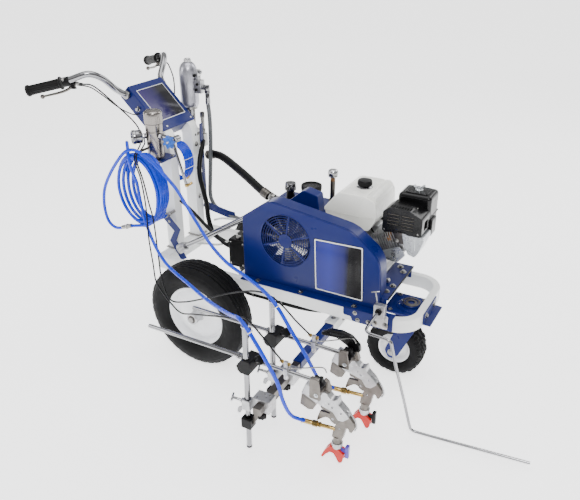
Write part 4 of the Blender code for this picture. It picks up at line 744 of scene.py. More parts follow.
def make_columns():
    low, _, up, out = console_axes()
    end_mid = low - out * 0.0275
    meet = end_mid - up * ((end_mid.x + 0.238) / up.x)
    lift = 0.0225 * math.tan(math.radians(22))
    front = -0.2155
    rear = -0.2605
    outline = [(rear, RAIL_TOP), (front, RAIL_TOP), (front, meet.y + lift), tuple(end_mid + out * 0.0225),
            tuple(end_mid - out * 0.0225), (rear, meet.y - lift)]
    outline = fillet(outline, [0, 0, 0.06, 0, 0, 0.016], 12)
    for word, side in SIDES:
        lo, hi = sorted((side * 0.046, side * 0.086))
        piece(f"{word}_upright", slab(outline, lo, hi), "white", "machine", [f"{word}_column"],
                bevel=0.0045, segments=4, smooth=40)
    # A thin dark disc on the upright's front face: painted shade that stands in for a hole.
    hole_shade = lathe([(0.0045, -0.0006), (0.0045, 0.0003), (0, 0.0003)], (front, 0.066, 0.7), (1, 0, 0), 20)
    piece("upright_hole_shade", hole_shade, "hole_shade")
    nuts = [bolt((front, 0.066, z), (1, 0, 0), 0.0095) for z in (0.665, 0.574, 0.461)]
    nuts += [bolt((front, 0.08, 0.7), (1, 0, 0), 0.0065)]
    piece("upright_nuts", merge(*nuts), "steel")
    feet = [box((-0.268, -0.208), sorted((side * 0.04, side * 0.0922)), (RAIL_TOP, 0.3055))
            for side in (-1, 1)]
    piece("upright_feet", merge(*feet), "steel", bevel=0.001)
    straps = [strap([(-0.258, 0.445), (-0.2, 0.39), (-0.223, 0.344), (-0.179, 0.276)], -0.1035, 0.03,
            0.0035), strap([(-0.216, 0.423), (-0.184, 0.413), (-0.107, 0.399), (-0.076, 0.397)], 0.0905,
            0.03, 0.0035), box((-0.2125, -0.209), (0.086, 0.104), (0.43, 0.735))]
    piece("upright_straps", merge(*straps), "blue", bevel=0.001)
    dots = [socket_screw((-0.232, -0.1053, 0.42), (0, -1, 0), 0.0055),
            socket_screw((-0.196, -0.1053, 0.3), (0, -1, 0), 0.0055)]
    piece("strap_screws", merge(*dots), "steel")


def strap(points, y, wide, thick):
    """A flat bent strip seen edge-on along Y: a band as wide as wide in the XZ plane."""
    route = [Vector((x, z)) for x, z in points]
    left = []
    right = []
    for k, point in enumerate(route):
        ahead = (route[min(k + 1, len(route) - 1)] - route[max(k - 1, 0)]).normalized()
        across = Vector((-ahead.y, ahead.x)) * (wide / 2)
        left.append(tuple(point + across))
        right.append(tuple(point - across))
    return slab(left + list(reversed(right)), y - thick / 2, y + thick / 2)


def make_console():
    low, high, up, out = console_axes()
    outline = [tuple(p) for p in (low, high, high - out * 0.055, low - out * 0.055)]
    piece("console_case", slab(outline, -0.091, 0.091), "blue", "machine", ["console_box"], bevel=0.0035,
            segments=3)

    def on_face(across, along, lift=0.0):
        """A place on the sloped face: across in Y, along up the slope from its lower edge."""
        spot = low + up * along + out * lift
        return Vector((spot.x, across, spot.y))

    def sheet(half_y, start, stop, thick, corner):
        bm = slab(fillet([(-half_y, start), (half_y, start), (half_y, stop), (-half_y, stop)], corner, 3),
                0, thick, "XY")
        frame_axes = Matrix(((0, up.x, out.x, 0), (1, 0, 0, 0), (0, up.y, out.y, 0), (0, 0, 0, 1)))
        origin = on_face(0, 0)
        return moved(bm, Matrix.Translation(origin) @ frame_axes)

    length = (high - low).length
    piece("screen_border", sheet(0.07, length * 0.185, length * 0.87, 0.0009, 0.002), "print")
    film = gradient("screen_film", "Y", ORIGIN.y - 0.068, ORIGIN.y + 0.068,
            [(0.0, (0.03, 0.018, 0.11)), (0.45, (0.02, 0.016, 0.075)), (0.72, (0.018, 0.018, 0.022)),
            (1.0, (0.026, 0.026, 0.026))], 0.12)
    piece("screen_film", sheet(0.0675, length * 0.197, length * 0.858, 0.0013, 0.002), film)
    facing = (out.x, 0, out.y)
    screws = [socket_screw(on_face(y, length * 0.06), facing, 0.0035) for y in (-0.06, 0.076)]
    piece("console_screws", merge(*screws), "print")
    middle = low + up * length * 0.6 - out * 0.026
    button = lathe([(0, -0.0005), (0.0085, -0.0005), (0.0085, 0.0015), (0.0065, 0.0025), (0.006, 0.0095),
            (0.005, 0.011), (0, 0.0115)], (middle.x, -0.091, middle.y), (0, -1, 0), 28)
    piece("console_button", button, "chrome")
    lid = slab([tuple(low - out * 0.0552 + up * 0.004), tuple(high - out * 0.0552 - up * 0.004),
            tuple(high - out * 0.0568 - up * 0.006), tuple(low - out * 0.0568 + up * 0.006)], -0.086, 0.086)
    piece("console_lid", lid, "blue", bevel=0.0006)


def mirror_y(point, side):
    """A near or far copy of a point given for the far side."""
    return Vector((point[0], point[1] * side, point[2]))


def make_handlebars():
    route = [(-0.374, 0.0913, 0.861), (-0.378, 0.103, 0.865), (-0.398, 0.122, 0.884),
            (-0.412, 0.163, 0.925), (-0.436, 0.198, 0.943), (-0.475, 0.232, 0.93)]
    for word, side in SIDES:
        start = mirror_y((-0.505, 0.251, 0.918), side)
        end = mirror_y((-0.61, 0.307, 0.891), side)
        along = (end - start).normalized()
        perch_at = start - along * 0.016
        pivot = mirror_y((-0.486, 0.221, 0.905), side)
        tube = pipe([mirror_y(p, side) for p in route] + [perch_at + along * 0.01], 0.011, 24, 0.006)
        piece(f"{word}_bar_tube", tube, "chrome", "machine", [f"{word}_handlebar"])
        foot = rod(mirror_y((-0.374, 0.0912, 0.861), side), mirror_y((-0.374, 0.1045, 0.861), side), 0.0145,
                32, 0.002)
        piece(f"{word}_bar_foot", foot, "steel")
        perch = rod(perch_at - along * 0.011, perch_at + along * 0.011, 0.0158, 32, 0.002)
        across = (pivot - perch_at).normalized()
        lug = moved(box((-0.007, 0.007), (-0.01, 0.01), (0, 0.026)), pointing(perch_at + across * 0.006,
                across))
        ears = [rod(pivot + Vector((0, 0, s * 0.0066)), pivot + Vector((0, 0, s * 0.01)), 0.0095, 24,
                0.0008) for s in (-1, 1)]
        barrel = rod(mirror_y((-0.489, 0.232, 0.917), side), mirror_y((-0.462, 0.2226, 0.9144), side),
                0.0052, 18, 0.001)
        piece(f"{word}_perch", merge(perch, lug, *ears, barrel), "plastic", bevel=0.0012)
        nut = [rod(mirror_y((-0.4685, 0.2248, 0.915), side), mirror_y((-0.46, 0.2219, 0.9142), side),
                0.0062, 18, 0.001), bolt(perch_at - across * 0.0155, -across, 0.0075),
                socket_screw(pivot + Vector((0, 0, 0.01)), (0, 0, 1), 0.0045)]
        piece(f"{word}_perch_screws", merge(*nut), "steel")
        make_grip(word, start, end, along)
        tip = pivot + along * 0.112 + Vector((0, 0, -0.012))
        middle = pivot + along * 0.052 + Vector((0, 0, -0.012))
        blade = sweep(smooth_route([pivot, pivot.lerp(middle, 0.5) - Vector((0, 0, 0.003)), middle, tip],
                0.004), lambda t: 0.0048 - 0.0012 * t, 14)
        hub = rod(pivot - Vector((0, 0, 0.006)), pivot + Vector((0, 0, 0.006)), 0.0072, 24, 0.001)
        piece(f"{word}_lever_blade", merge(hub, blade), "dark_steel", f"{word}_trigger_lever",
                [f"{word}_lever"])
        ball = bmesh.new()
        bmesh.ops.create_uvsphere(ball, u_segments=24, v_segments=14, radius=0.0076)
        moved(ball, Matrix.Translation(tip))
        piece(f"{word}_lever_ball", ball, "dark_steel", f"{word}_trigger_lever")


def make_grip(word, start, end, along):
    """Rubber grip with lengthwise ridges between two flanges."""
    length = (end - start).length
    ribs = 16
    outline = []
    for k in range(ribs * 4):
        radius = 0.0162 if k % 4 in (1, 2) else 0.0145
        angle = 2 * math.pi * k / (ribs * 4)
        outline.append((radius * math.cos(angle), radius * math.sin(angle)))
    core = moved(slab(outline, 0.005, length - 0.006, "XY"), pointing(start, along))
    ends = [lathe([(0, 0.0004), (0.0195, 0.0004), (0.0212, 0.002), (0.0212, 0.0052), (0.0195, 0.0068),
            (0, 0.0075)], start, along, 40), lathe([(0, length - 0.01), (0.0165, length - 0.01),
            (0.019, length - 0.0075), (0.019, length - 0.002), (0.0172, length), (0.006, length + 0.0006),
            (0, length + 0.0006)], start, along, 40)]
    rings = [ring_lathe([(0.014, at), (0.0168, at), (0.0168, at + 0.002), (0.014, at + 0.002)], start,
            along, 40) for at in (0.014, length - 0.018)]
    piece(f"{word}_ribbed_grip", merge(core, *ends, *rings), "grip", "machine", [f"{word}_grip"],
            bevel=0.0005)


# ---------------------------------------------------------------- filter and pump
def make_filter():
    x, y = (-0.222, -0.15)
    bottom = 0.6803
    shell = lathe([(0, bottom), (0.027, bottom), (0.0288, bottom + 0.003), (0.0288, 0.768),
            (0.0276, 0.7695), (0.0276, 0.7715), (0.0288, 0.773), (0.0288, 0.795), (0.0275, 0.7965),
            (0, 0.7965)], (x, y, 0), (0, 0, 1), 64)
    piece("filter_bowl", shell, "brushed", "machine", ["paint_filter"])
    collar = ridged((x, y), 0.0298, 0.0306, 72)
    cap = merge(slab(collar, 0.797, 0.82, "XY"), lathe([(0, 0.819), (0.0305, 0.819), (0.0305, 0.83),
            (0.0295, 0.834), (0.0255, 0.838), (0.0235, 0.8385), (0.0225, 0.8375), (0.014, 0.8405),
            (0, 0.842)], (x, y, 0), (0, 0, 1), 64))
    piece("filter_cap", cap, "brushed", bevel=0.0004)
    flange = slab(fillet([(x - 0.038, -0.184), (x + 0.036, -0.184), (x + 0.036, -0.0863),
            (x - 0.038, -0.0863)], [0.012, 0.012, 0.001, 0.001], 4), 0.668, 0.6735, "XY")
    piece("filter_shelf", flange, "blue", bevel=0.0008)
    screws = [bolt((x + dx, y + dy, 0.6735), (0, 0, 1), 0.007) for dx,
            dy in ((-0.031, -0.026), (0.03, -0.027), (0.03, 0.045))]
    screws += [hexagon((x, y, 0.6725), (x, y, 0.6805), 0.03)]
    piece("filter_screws", merge(*screws), "steel")
    neck = merge(hexagon((x, y, 0.655), (x, y, 0.668), 0.019), rod((x, y, 0.64), (x, y, 0.656), 0.0075, 24,
            0.001), ring_lathe([(0.006, 0.6445), (0.0088, 0.6445), (0.0088, 0.648), (0.006, 0.648)],
            (x, y, 0)))
    piece("filter_outlet", neck, "brass")
    make_valve(x, y)
    make_gauge()


def make_valve(x, y):
    """Drain valve beside the filter, its blue knob and the drain tube below it."""
    z = 0.756
    knob = local_joint("knob_turn")
    kx = knob.x
    arm = merge(rod((x + 0.022, y - 0.008, z), (kx - 0.006, -0.163, z), 0.0085, 28, 0.001),
            hexagon((x + 0.03, y - 0.0095, z), (x + 0.046, y - 0.011, z), 0.021),
            lathe([(0, 0), (0.0105, 0), (0.0115, 0.001), (0.0115, 0.02), (0.0105, 0.021), (0, 0.021)],
            (kx, -0.164, z), (0, 1, 0), 32), rod((kx, -0.152, z), (kx, -0.1885, z), 0.0068, 24, 0.0008),
            hexagon((kx, -0.164, z), (kx, -0.175, z), 0.019))
    piece("valve_body", arm, "chrome", bevel=0.0005)
    tube = merge(rod((kx - 0.01, -0.165, z - 0.004), (-0.0935, -0.165, 0.603), 0.0048, 24, 0.0006),
            rod((kx - 0.01, -0.165, z - 0.006), (kx - 0.005, -0.165, z - 0.03), 0.0062, 24, 0.001))
    piece("drain_tube", tube, "chrome")
    fittings = merge(hexagon((-0.0945, -0.165, 0.609), (-0.0928, -0.165, 0.599), 0.012),
            rod((-0.093, -0.165, 0.602), (-0.08, -0.15, 0.612), 0.0045, 18, 0.0008))
    piece("drain_fitting", fittings, "brass")
    lobes = 7
    count = 112
    outline = []
    for k in range(count):
        angle = 2 * math.pi * k / count
        reach = 0.0188 + 0.0036 * math.cos(lobes * angle)
        outline.append((kx + reach * math.cos(angle), z + reach * math.sin(angle)))
    grip = merge(slab(outline, knob.y - 0.005, knob.y + 0.0068), lathe([(0, 0.0045), (0.0125, 0.0045),
            (0.0115, 0.0068), (0.0065, 0.0074), (0, 0.0074)], knob, (0, -1, 0), 40))
    piece("lobed_knob", grip, "knob", "knob", ["prime_knob"], bevel=0.0016, segments=3)
    piece("knob_screw", socket_screw(knob + Vector((0, -0.0072, 0)), (0, -1, 0), 0.0048), "chrome", "knob")


def make_gauge():
    facing = Vector((-0.6, -0.8, 0))
    centre = Vector((-0.268, -0.19, 0.752))
    rim = lathe([(0, -0.018), (0.0215, -0.018), (0.0225, -0.016), (0.0225, 0.002), (0.024, 0.004),
            (0.024, 0.011), (0.0225, 0.0138), (0.0205, 0.014), (0.0198, 0.0128), (0.0196, 0.009),
            (0, 0.009)], centre, facing, 56)
    piece("gauge_case", rim, "chrome", "machine", ["pressure_gauge"])
    dial = lathe([(0, 0.0091), (0.0195, 0.0091), (0.0195, 0.01), (0, 0.0104)], centre, facing, 48)
    piece("gauge_dial", dial, "glass")
    axes = pointing(centre + facing * 0.0106, facing)
    marks = []
    for k in range(11):
        turn = math.radians(-135 + 27 * k)
        mark = box((-0.0005, 0.0005), (0.0145, 0.018), (0, 0.0004))
        marks.append(moved(mark, axes @ Matrix.Rotation(turn, 4, "Z")))
    needle = slab([(-0.001, -0.004), (0.001, -0.004), (0.0003, 0.015), (-0.0003, 0.015)], 0.0004, 0.001, "XY")
    marks.append(moved(needle, axes @ Matrix.Rotation(math.radians(40), 4, "Z")))
    marks.append(moved(rod((0, 0, 0), (0, 0, 0.0014), 0.0018, 16), axes))
    piece("gauge_marks", merge(*marks), "plastic")
    port = merge(rod(centre - facing * 0.044, centre - facing * 0.0175, 0.0065, 24, 0.0006),
            hexagon(centre - facing * 0.034, centre - facing * 0.022, 0.0155))
    piece("gauge_port", port, "chrome")


def make_pump():
    x, y = (-0.275, 0.1275)
    at = (x, y, 0)
    up = (0, 0, 1)
    shell = ring_lathe([(0.0088, 0.785), (0.027, 0.785), (0.0295, 0.787), (0.0325, 0.795), (0.0332, 0.804),
            (0.0332, 0.9), (0.0325, 0.914), (0.03, 0.925), (0.0255, 0.934), (0.0195, 0.9405),
            (0.015, 0.9435), (0.0088, 0.9435)], at, up, 72)
    piece("motor_shell", shell, "satin", "machine", ["hydraulic_motor"], smooth=50)
    knurl = ridged((x, y), 0.0128, 0.0136, 48)
    top = merge(slab(knurl, 0.944, 0.952, "XY"), lathe([(0, 0.9435), (0.0115, 0.9435), (0.0115, 0.9535),
            (0.0105, 0.956), (0.0062, 0.956), (0.0055, 0.954), (0, 0.954)], at, up, 40))
    piece("motor_knob", top, "alloy")
    blocks = [box((x + 0.028, x + 0.06), (y - 0.013, y + 0.013), (0.838, 0.884)),
            box((x + 0.026, x + 0.048), (y - 0.01, y + 0.01), (0.896, 0.92)),
            rod((x + 0.044, y, 0.884), (x + 0.044, y, 0.897), 0.008, 24, 0.001)]
    piece("motor_block", merge(*blocks), "alloy", bevel=0.002)
    fit = merge(rod((x + 0.05, y, 0.86), (x + 0.081, y, 0.86), 0.0072, 24, 0.0006),
            hexagon((x + 0.06, y, 0.86), (x + 0.07, y, 0.86), 0.0175), rod((x + 0.079, y, 0.869),
            (x + 0.079, y, 0.8385), 0.0092, 28, 0.0016), hexagon((x + 0.079, y, 0.85), (x + 0.079, y, 0.84),
            0.0185), rod((x + 0.048, y, 0.912), (x + 0.058, y, 0.912), 0.006, 20, 0.001))
    piece("motor_fittings", fit, "chrome")
    plugs = merge(rod((x + 0.036, y - 0.0125, 0.9), (x + 0.036, y - 0.0165, 0.9), 0.0055, 20, 0.0008),
            rod((x + 0.046, y - 0.0125, 0.87), (x + 0.046, y - 0.017, 0.87), 0.005, 20, 0.0008),
            rod((x + 0.04, y - 0.0125, 0.85), (x + 0.04, y - 0.017, 0.85), 0.005, 20, 0.0008))
    piece("motor_plugs", plugs, "plastic")
    base = ring_lathe([(0.0088, 0.7756), (0.0245, 0.7756), (0.026, 0.777), (0.026, 0.7852),
            (0.0088, 0.7852)], at, up, 48)
    piece("motor_base", base, "steel", bevel=0.0004)
    make_displacement_pump(x, y, at, up)


def make_displacement_pump(x, y, at, up):
    shell = ring_lathe([(0.0086, 0.7), (0.0245, 0.7), (0.0262, 0.698), (0.0262, 0.672), (0.0212, 0.667),
            (0.0208, 0.62), (0.0224, 0.618), (0.0224, 0.606), (0.0208, 0.604), (0.0208, 0.482),
            (0.0262, 0.477), (0.0262, 0.421), (0.024, 0.418), (0.013, 0.411), (0.0086, 0.411)], at, up, 56)
    piece("pump_barrel", shell, "steel", "machine", ["paint_pump"])
    ties = []
    for side in (-1, 1):
        spot = (x, y + side * 0.019)
        ties.append(rod((*spot, 0.69), (*spot, 0.7848), 0.0042, 20, 0.0005))
        ties.append(hexagon((*spot, 0.7005), (*spot, 0.708), 0.0125))
        ties.append(hexagon((*spot, 0.768), (*spot, 0.7752), 0.0125))
    piece("tie_rods", merge(*ties), "steel")
    port = box((x + 0.015, x + 0.061), (y - 0.0115, y + 0.0115), (0.641, 0.689))
    piece("outlet_block", port, "steel", bevel=0.002)
    outlet = merge(rod((x + 0.05, y, 0.689), (x + 0.05, y, 0.768), 0.0068, 24, 0.001),
            hexagon((x + 0.05, y, 0.693), (x + 0.05, y, 0.706), 0.0165),
            hexagon((x + 0.05, y, 0.748), (x + 0.05, y, 0.768), 0.0165))
    piece("outlet_pipe", outlet, "steel")
    pad = box((-0.262, -0.2235), (0.0863, y - 0.018), (0.5, 0.54))
    piece("pump_bracket", pad, "blue", bevel=0.001)
    body = "piston"
    shaft = rod((x, y, 0.6455), (x, y, 0.8295), 0.0074, 28, 0.001)
    piece("piston_shaft", shaft, "chrome", body, ["pump_rod"])
    collar = merge(rod((x, y, 0.7262), (x, y, 0.7374), 0.0124, 32, 0.0012),
            hexagon((x, y, 0.7386), (x, y, 0.7497), 0.0205))
    piece("piston_coupler", collar, "dark_steel", body)


def make_suction_tube():
    start = Vector((-0.186, -0.1, 0.322))
    end = Vector((0.094, -0.1, 0.5))
    along = (end - start).normalized()
    piece("suction_pipe", rod(start, end, 0.01, 36, 0.0005), "chrome", "machine", ["suction_tube"])
    ring = ridged((0, 0), 0.0182, 0.0192, 56)
    nut = merge(moved(slab(ring, -0.014, 0.004, "XY"), pointing(start, along)),
            lathe([(0, -0.016), (0.0165, -0.016), (0.018, -0.0145), (0.018, 0.01), (0.0165, 0.0125),
            (0.015, 0.02), (0, 0.02)], start, along, 44))
    piece("suction_nut", nut, "alloy", bevel=0.0003)
    elbow = pipe([start, start + Vector((-0.01, 0.004, -0.008)), start + Vector((-0.006, 0.012, -0.0215))],
            0.0112, 24, 0.003)
    piece("suction_elbow", elbow, "alloy")


# ---------------------------------------------------------------- guard and drive
def guard_outline(inset):
    i = inset
    points = [(0.106 + i, RAIL_TOP), (0.106 + i, 0.522 - i * 0.6), (0.206 + i * 0.2, 0.596 - i),
            (0.492 - i * 0.2, 0.553 - i), (0.592 - i, 0.475 - i * 0.5), (0.6 - i, RAIL_TOP)]
    return fillet(points, [0, 0.012, 0.07, 0.11, 0.09, 0], steps=16)


def make_guard():
    fan = local_joint("pump_pulley_spin")
    at = (fan.x, fan.z)
    face = -0.14
    hollow = guard_outline(0.003)
    hollow[0] = (hollow[0][0], 0.28)
    hollow[-1] = (hollow[-1][0], 0.28)
    shell = boolean(slab(guard_outline(0), face, -0.08), cut=[slab(hollow, face + 0.003, -0.06),
            slab(circle(at, 0.0905, 72), face - 0.01, face + 0.012), box((0.585, 0.615), (-0.1306, -0.07),
            (0.29, 0.3456))])
    piece("guard_shell", shell, "blue", "machine", ["belt_guard"], bevel=0.0016, segments=3, smooth=30)
    lip = boolean(slab(guard_outline(-0.0014), face + 0.006, face + 0.0085),
            cut=[slab(guard_outline(0.001), face, face + 0.012)])
    piece("guard_seam", lip, "blue", bevel=0.0006)
    grille = [slab(circle(at, 0.0245, 48), face - 0.0004, face + 0.0024)]
    for k in range(6):
        angle = 2 * math.pi * (k + 0.35) / 6
        middle = (at[0] + 0.0565 * math.cos(angle), face + 0.0012, at[1] + 0.0565 * math.sin(angle))
        grille.append(block(middle, (0.072, 0.0024, 0.0052), -math.degrees(angle)))
    for k in range(12):
        angle = 2 * math.pi * (k + 0.85) / 12
        middle = (at[0] + 0.057 * math.cos(angle), face + 0.002, at[1] + 0.057 * math.sin(angle))
        grille.append(block(middle, (0.07, 0.0016, 0.0018), -math.degrees(angle)))
    piece("guard_spokes", merge(*grille), "blue", bevel=0.0004)
    wires = []
    for k in range(7):
        radius = 0.0335 + 0.0083 * k
        section = [(radius - 0.0012, face + 0.0002), (radius + 0.0012, face + 0.0002),
                (radius + 0.0012, face + 0.0022), (radius - 0.0012, face + 0.0022)]
        wires.append(ring_lathe([(r, -h) for r, h in section], (at[0], 0, at[1]), (0, -1, 0), 72))
    piece("guard_wires", merge(*wires), "blue", bevel=0.0003)
    rim = ring_lathe([(0.0895, 0.1372), (0.092, 0.1372), (0.0925, 0.1406), (0.0915, 0.1412),
            (0.0895, 0.1408)], (at[0], 0, at[1]), (0, -1, 0), 80)
    piece("guard_eye", rim, "blue")
    flange = box((0.106, 0.655), (-0.1683, -0.138), (RAIL_TOP, 0.3035))
    skirt = slab(fillet([(0.49, 0.3032), (0.655, 0.3032), (0.655, 0.257), (0.522, 0.257), (0.516, 0.274),
            (0.49, 0.274)], [0.001, 0.001, 0.002, 0.006, 0.006, 0.006], 3), -0.1683, -0.1653)
    piece("guard_flange", merge(flange, skirt), "blue", bevel=0.001)
    screws = [bolt((x, -0.153, 0.3035), (0, 0, 1), 0.0105) for x in (0.168, 0.33, 0.52)]
    screws += [bolt((x, -0.1683, z), (0, -1, 0), 0.008) for x, z in ((0.53, 0.29), (0.54, 0.267),
            (0.576, 0.27))]
    piece("guard_screws", merge(*screws), "steel")
    make_label(face)


def make_label(face):
    """Blank data plate on the guard: a white-bordered film that fades from blue to black."""
    corners = [(0.369, 0.503), (0.536, 0.508), (0.544, 0.319), (0.376, 0.32)]

    def ring(inset):
        middle = Vector((sum(c[0] for c in corners) / 4, sum(c[1] for c in corners) / 4))
        return fillet([tuple(middle + (Vector(c) - middle) * (1 - inset)) for c in corners], 0.004, 3)

    piece("plate_edge", slab(ring(0.0), face - 0.0004, face + 0.0005), "black")
    piece("plate_border", slab(ring(0.022), face - 0.0007, face), "print")
    film = gradient("plate_film", "X", ORIGIN.x + 0.375, ORIGIN.x + 0.54,
            [(0.0, (0.004, 0.009, 0.17)), (0.3, (0.01, 0.018, 0.24)), (0.6, (0.008, 0.01, 0.1)),
            (0.7, (0.004, 0.004, 0.006)), (1.0, (0.008, 0.007, 0.007))])
    piece("plate_film", slab(ring(0.065), face - 0.001, face - 0.0004), film)


def make_drive():
    engine = local_joint("engine_pulley_spin")
    fan = local_joint("pump_pulley_spin")
    y = -0.104
    small = [(0.0106, -0.012), (0.037, -0.012), (0.0385, -0.011), (0.0305, -0.002), (0.0305, 0.002),
            (0.0385, 0.011), (0.037, 0.012), (0.0106, 0.012)]
    piece("engine_sheave", ring_lathe(small, (engine.x, y, engine.z), (0, 1, 0), 56), "steel",
            "engine_pulley", ["drive_pulley"])
    large = [(0.0005, -0.012), (0.018, -0.012), (0.018, -0.008), (0.0225, -0.006), (0.0525, -0.0055),
            (0.0635, -0.008), (0.064, -0.007), (0.0565, -0.002), (0.0565, 0.002), (0.064, 0.008),
            (0.063, 0.01), (0.053, 0.009), (0.0225, 0.006), (0.016, 0.01), (0.016, 0.0234),
            (0.0005, 0.0234)]
    piece("pump_sheave", ring_lathe(large, (fan.x, y, fan.z), (0, 1, 0), 64), "steel", "pump_pulley",
            ["driven_pulley"])
    blades = []
    for k in range(12):
        turn = math.radians(30 * k)
        blade = box((0.016, 0.076), (-0.0008, 0.0008), (-0.011, 0.011))
        moved(blade, Matrix.Rotation(math.radians(38), 4, "X"))
        place = Matrix.Translation((fan.x, y - 0.0165, fan.z)) @ Matrix.Rotation(-turn, 4,
                "Y") @ Matrix.Rotation(math.radians(90), 4, "X")
        blades.append(moved(blade, place))
    blades.append(rod((fan.x, y - 0.026, fan.z), (fan.x, y - 0.011, fan.z), 0.018, 36, 0.002))
    piece("fan_blades", merge(*blades), "alloy", "pump_pulley", bevel=0.0003)
    span = Vector((engine.x - fan.x, engine.z - fan.z))

    def loop(extra):
        r_big = 0.057 + extra
        r_small = 0.031 + extra
        tilt = math.asin((r_big - r_small) / span.length)
        base = math.atan2(span.y, span.x)
        points = []
        for centre, radius, first, last in (((fan.x, fan.z), r_big, base + math.pi / 2 - tilt,
                base + 3 * math.pi / 2 + tilt), ((engine.x, engine.z), r_small, base - math.pi / 2 + tilt,
                base + math.pi / 2 - tilt)):
            for step in range(25):
                angle = first + (last - first) * step / 24
                points.append((centre[0] + radius * math.cos(angle), centre[1] + radius * math.sin(angle)))
        return points

    belt = boolean(slab(loop(0.004), y - 0.0045, y + 0.0045), cut=[slab(loop(0.0008), y - 0.01, y + 0.01)])
    piece("vee_belt", belt, "belt", "machine", ["drive_belt"], bevel=0.0006)


# ---------------------------------------------------------------- engine
def make_engine():
    make_engine_bed()
    axis = Vector((math.cos(math.radians(25)), 0, math.sin(math.radians(25))))
    across = Vector((-axis.z, 0, axis.x))
    root = Vector((0.515, 0.022, 0.448))
    case = box((0.402, 0.545), (-0.062, 0.118), (0.3455, 0.488))
    piece("crankcase", case, "alloy", "machine", ["engine_block"], bevel=0.014, segments=4, smooth=40)
    cover = merge(lathe([(0, -0.05), (0.054, -0.05), (0.054, -0.064), (0.048, -0.07), (0.03, -0.0735),
            (0, -0.0735)], (0.47, 0, 0.43), (0, 1, 0), 56), rod((0.47, -0.117, 0.43), (0.47, -0.06, 0.43),
            0.0098, 28, 0.001))
    piece("shaft_cover", cover, "alloy")
    rim_bolts = [bolt((0.47 + 0.05 * math.cos(a), -0.066, 0.43 + 0.05 * math.sin(a)), (0, -1, 0),
            0.008) for a in (0.4, 1.45, 2.5, 3.55, 4.6, 5.65)]
    piece("case_bolts", merge(*rim_bolts), "steel")
    barrel = block(root + axis * 0.048, (0.104, 0.076, 0.07), -25)
    piece("cylinder", barrel, "alloy", bevel=0.008, segments=3)
    fins = []
    for k in range(10):
        wide = 0.104 if k < 9 else 0.098
        fins.append(block(root + axis * (0.024 + 0.0078 * k), (0.0024, wide, 0.09), -25))
    piece("cylinder_fins", merge(*fins), "alloy", bevel=0.0008)
    head = merge(block(root + axis * 0.1075, (0.018, 0.092, 0.062), -25),
            block(root + axis * 0.1195, (0.008, 0.08, 0.054), -25))
    piece("rocker_cover", head, "alloy", bevel=0.005, segments=3)
    dots = []
    for dy in (-0.036, 0.036):
        for dz in (-0.022, 0.022):
            spot = root + axis * 0.1234 + across * dz + Vector((0, dy * 0.92, 0))
            dots.append(bolt(spot, axis, 0.0075))
    piece("rocker_bolts", merge(*dots), "steel")
    make_exhaust()
    make_muffler_cover()
    make_air_cleaner()
    make_fuel_tank()
    make_starter()


def make_engine_bed():
    top = 0.345
    bed = boolean(box((0.36, 0.622), (-0.13, 0.118), (0.34, top)), cut=[box((0.5, 0.53), (-0.05, 0.05),
            (0.33, 0.36))])
    rails = [box((0.364, 0.618), pair, (RAIL_TOP, 0.3402)) for pair in ((-0.13, -0.126), (0.114, 0.118))]
    piece("engine_bed", merge(bed, *rails), "blue", "machine", ["engine_plate"], bevel=0.0012)
    edge = box((0.6205, 0.6235), (-0.1285, 0.1165), (0.3385, 0.3462))
    piece("bed_edge", edge, "plastic", bevel=0.001)
    spots = ((0.605, 0.06), (0.607, -0.045), (0.6, -0.086), (0.585, 0.09))
    piece("bed_screws", merge(*[bolt((x, y, top), (0, 0, 1), 0.0115) for x, y in spots]), "steel")
    feet = [box((x, x + 0.03), (-0.058, 0.114), (top + 0.0002, top + 0.01)) for x in (0.394, 0.53)]
    piece("engine_feet", merge(*feet), "alloy", bevel=0.002)
    switch = box((0.557, 0.577), (-0.068, -0.04), (0.372, 0.398))
    piece("engine_switch", switch, "plastic", bevel=0.002)
    mount = merge(box((0.545, 0.56), (-0.066, -0.03), (0.362, 0.402)),
            rod((0.566, -0.054, 0.3455), (0.566, -0.054, 0.372), 0.006, 20, 0.001),
            rod((0.575, -0.03, 0.35), (0.59, -0.03, 0.356), 0.007, 20, 0.002))
    piece("switch_mount", mount, "alloy", bevel=0.0015)


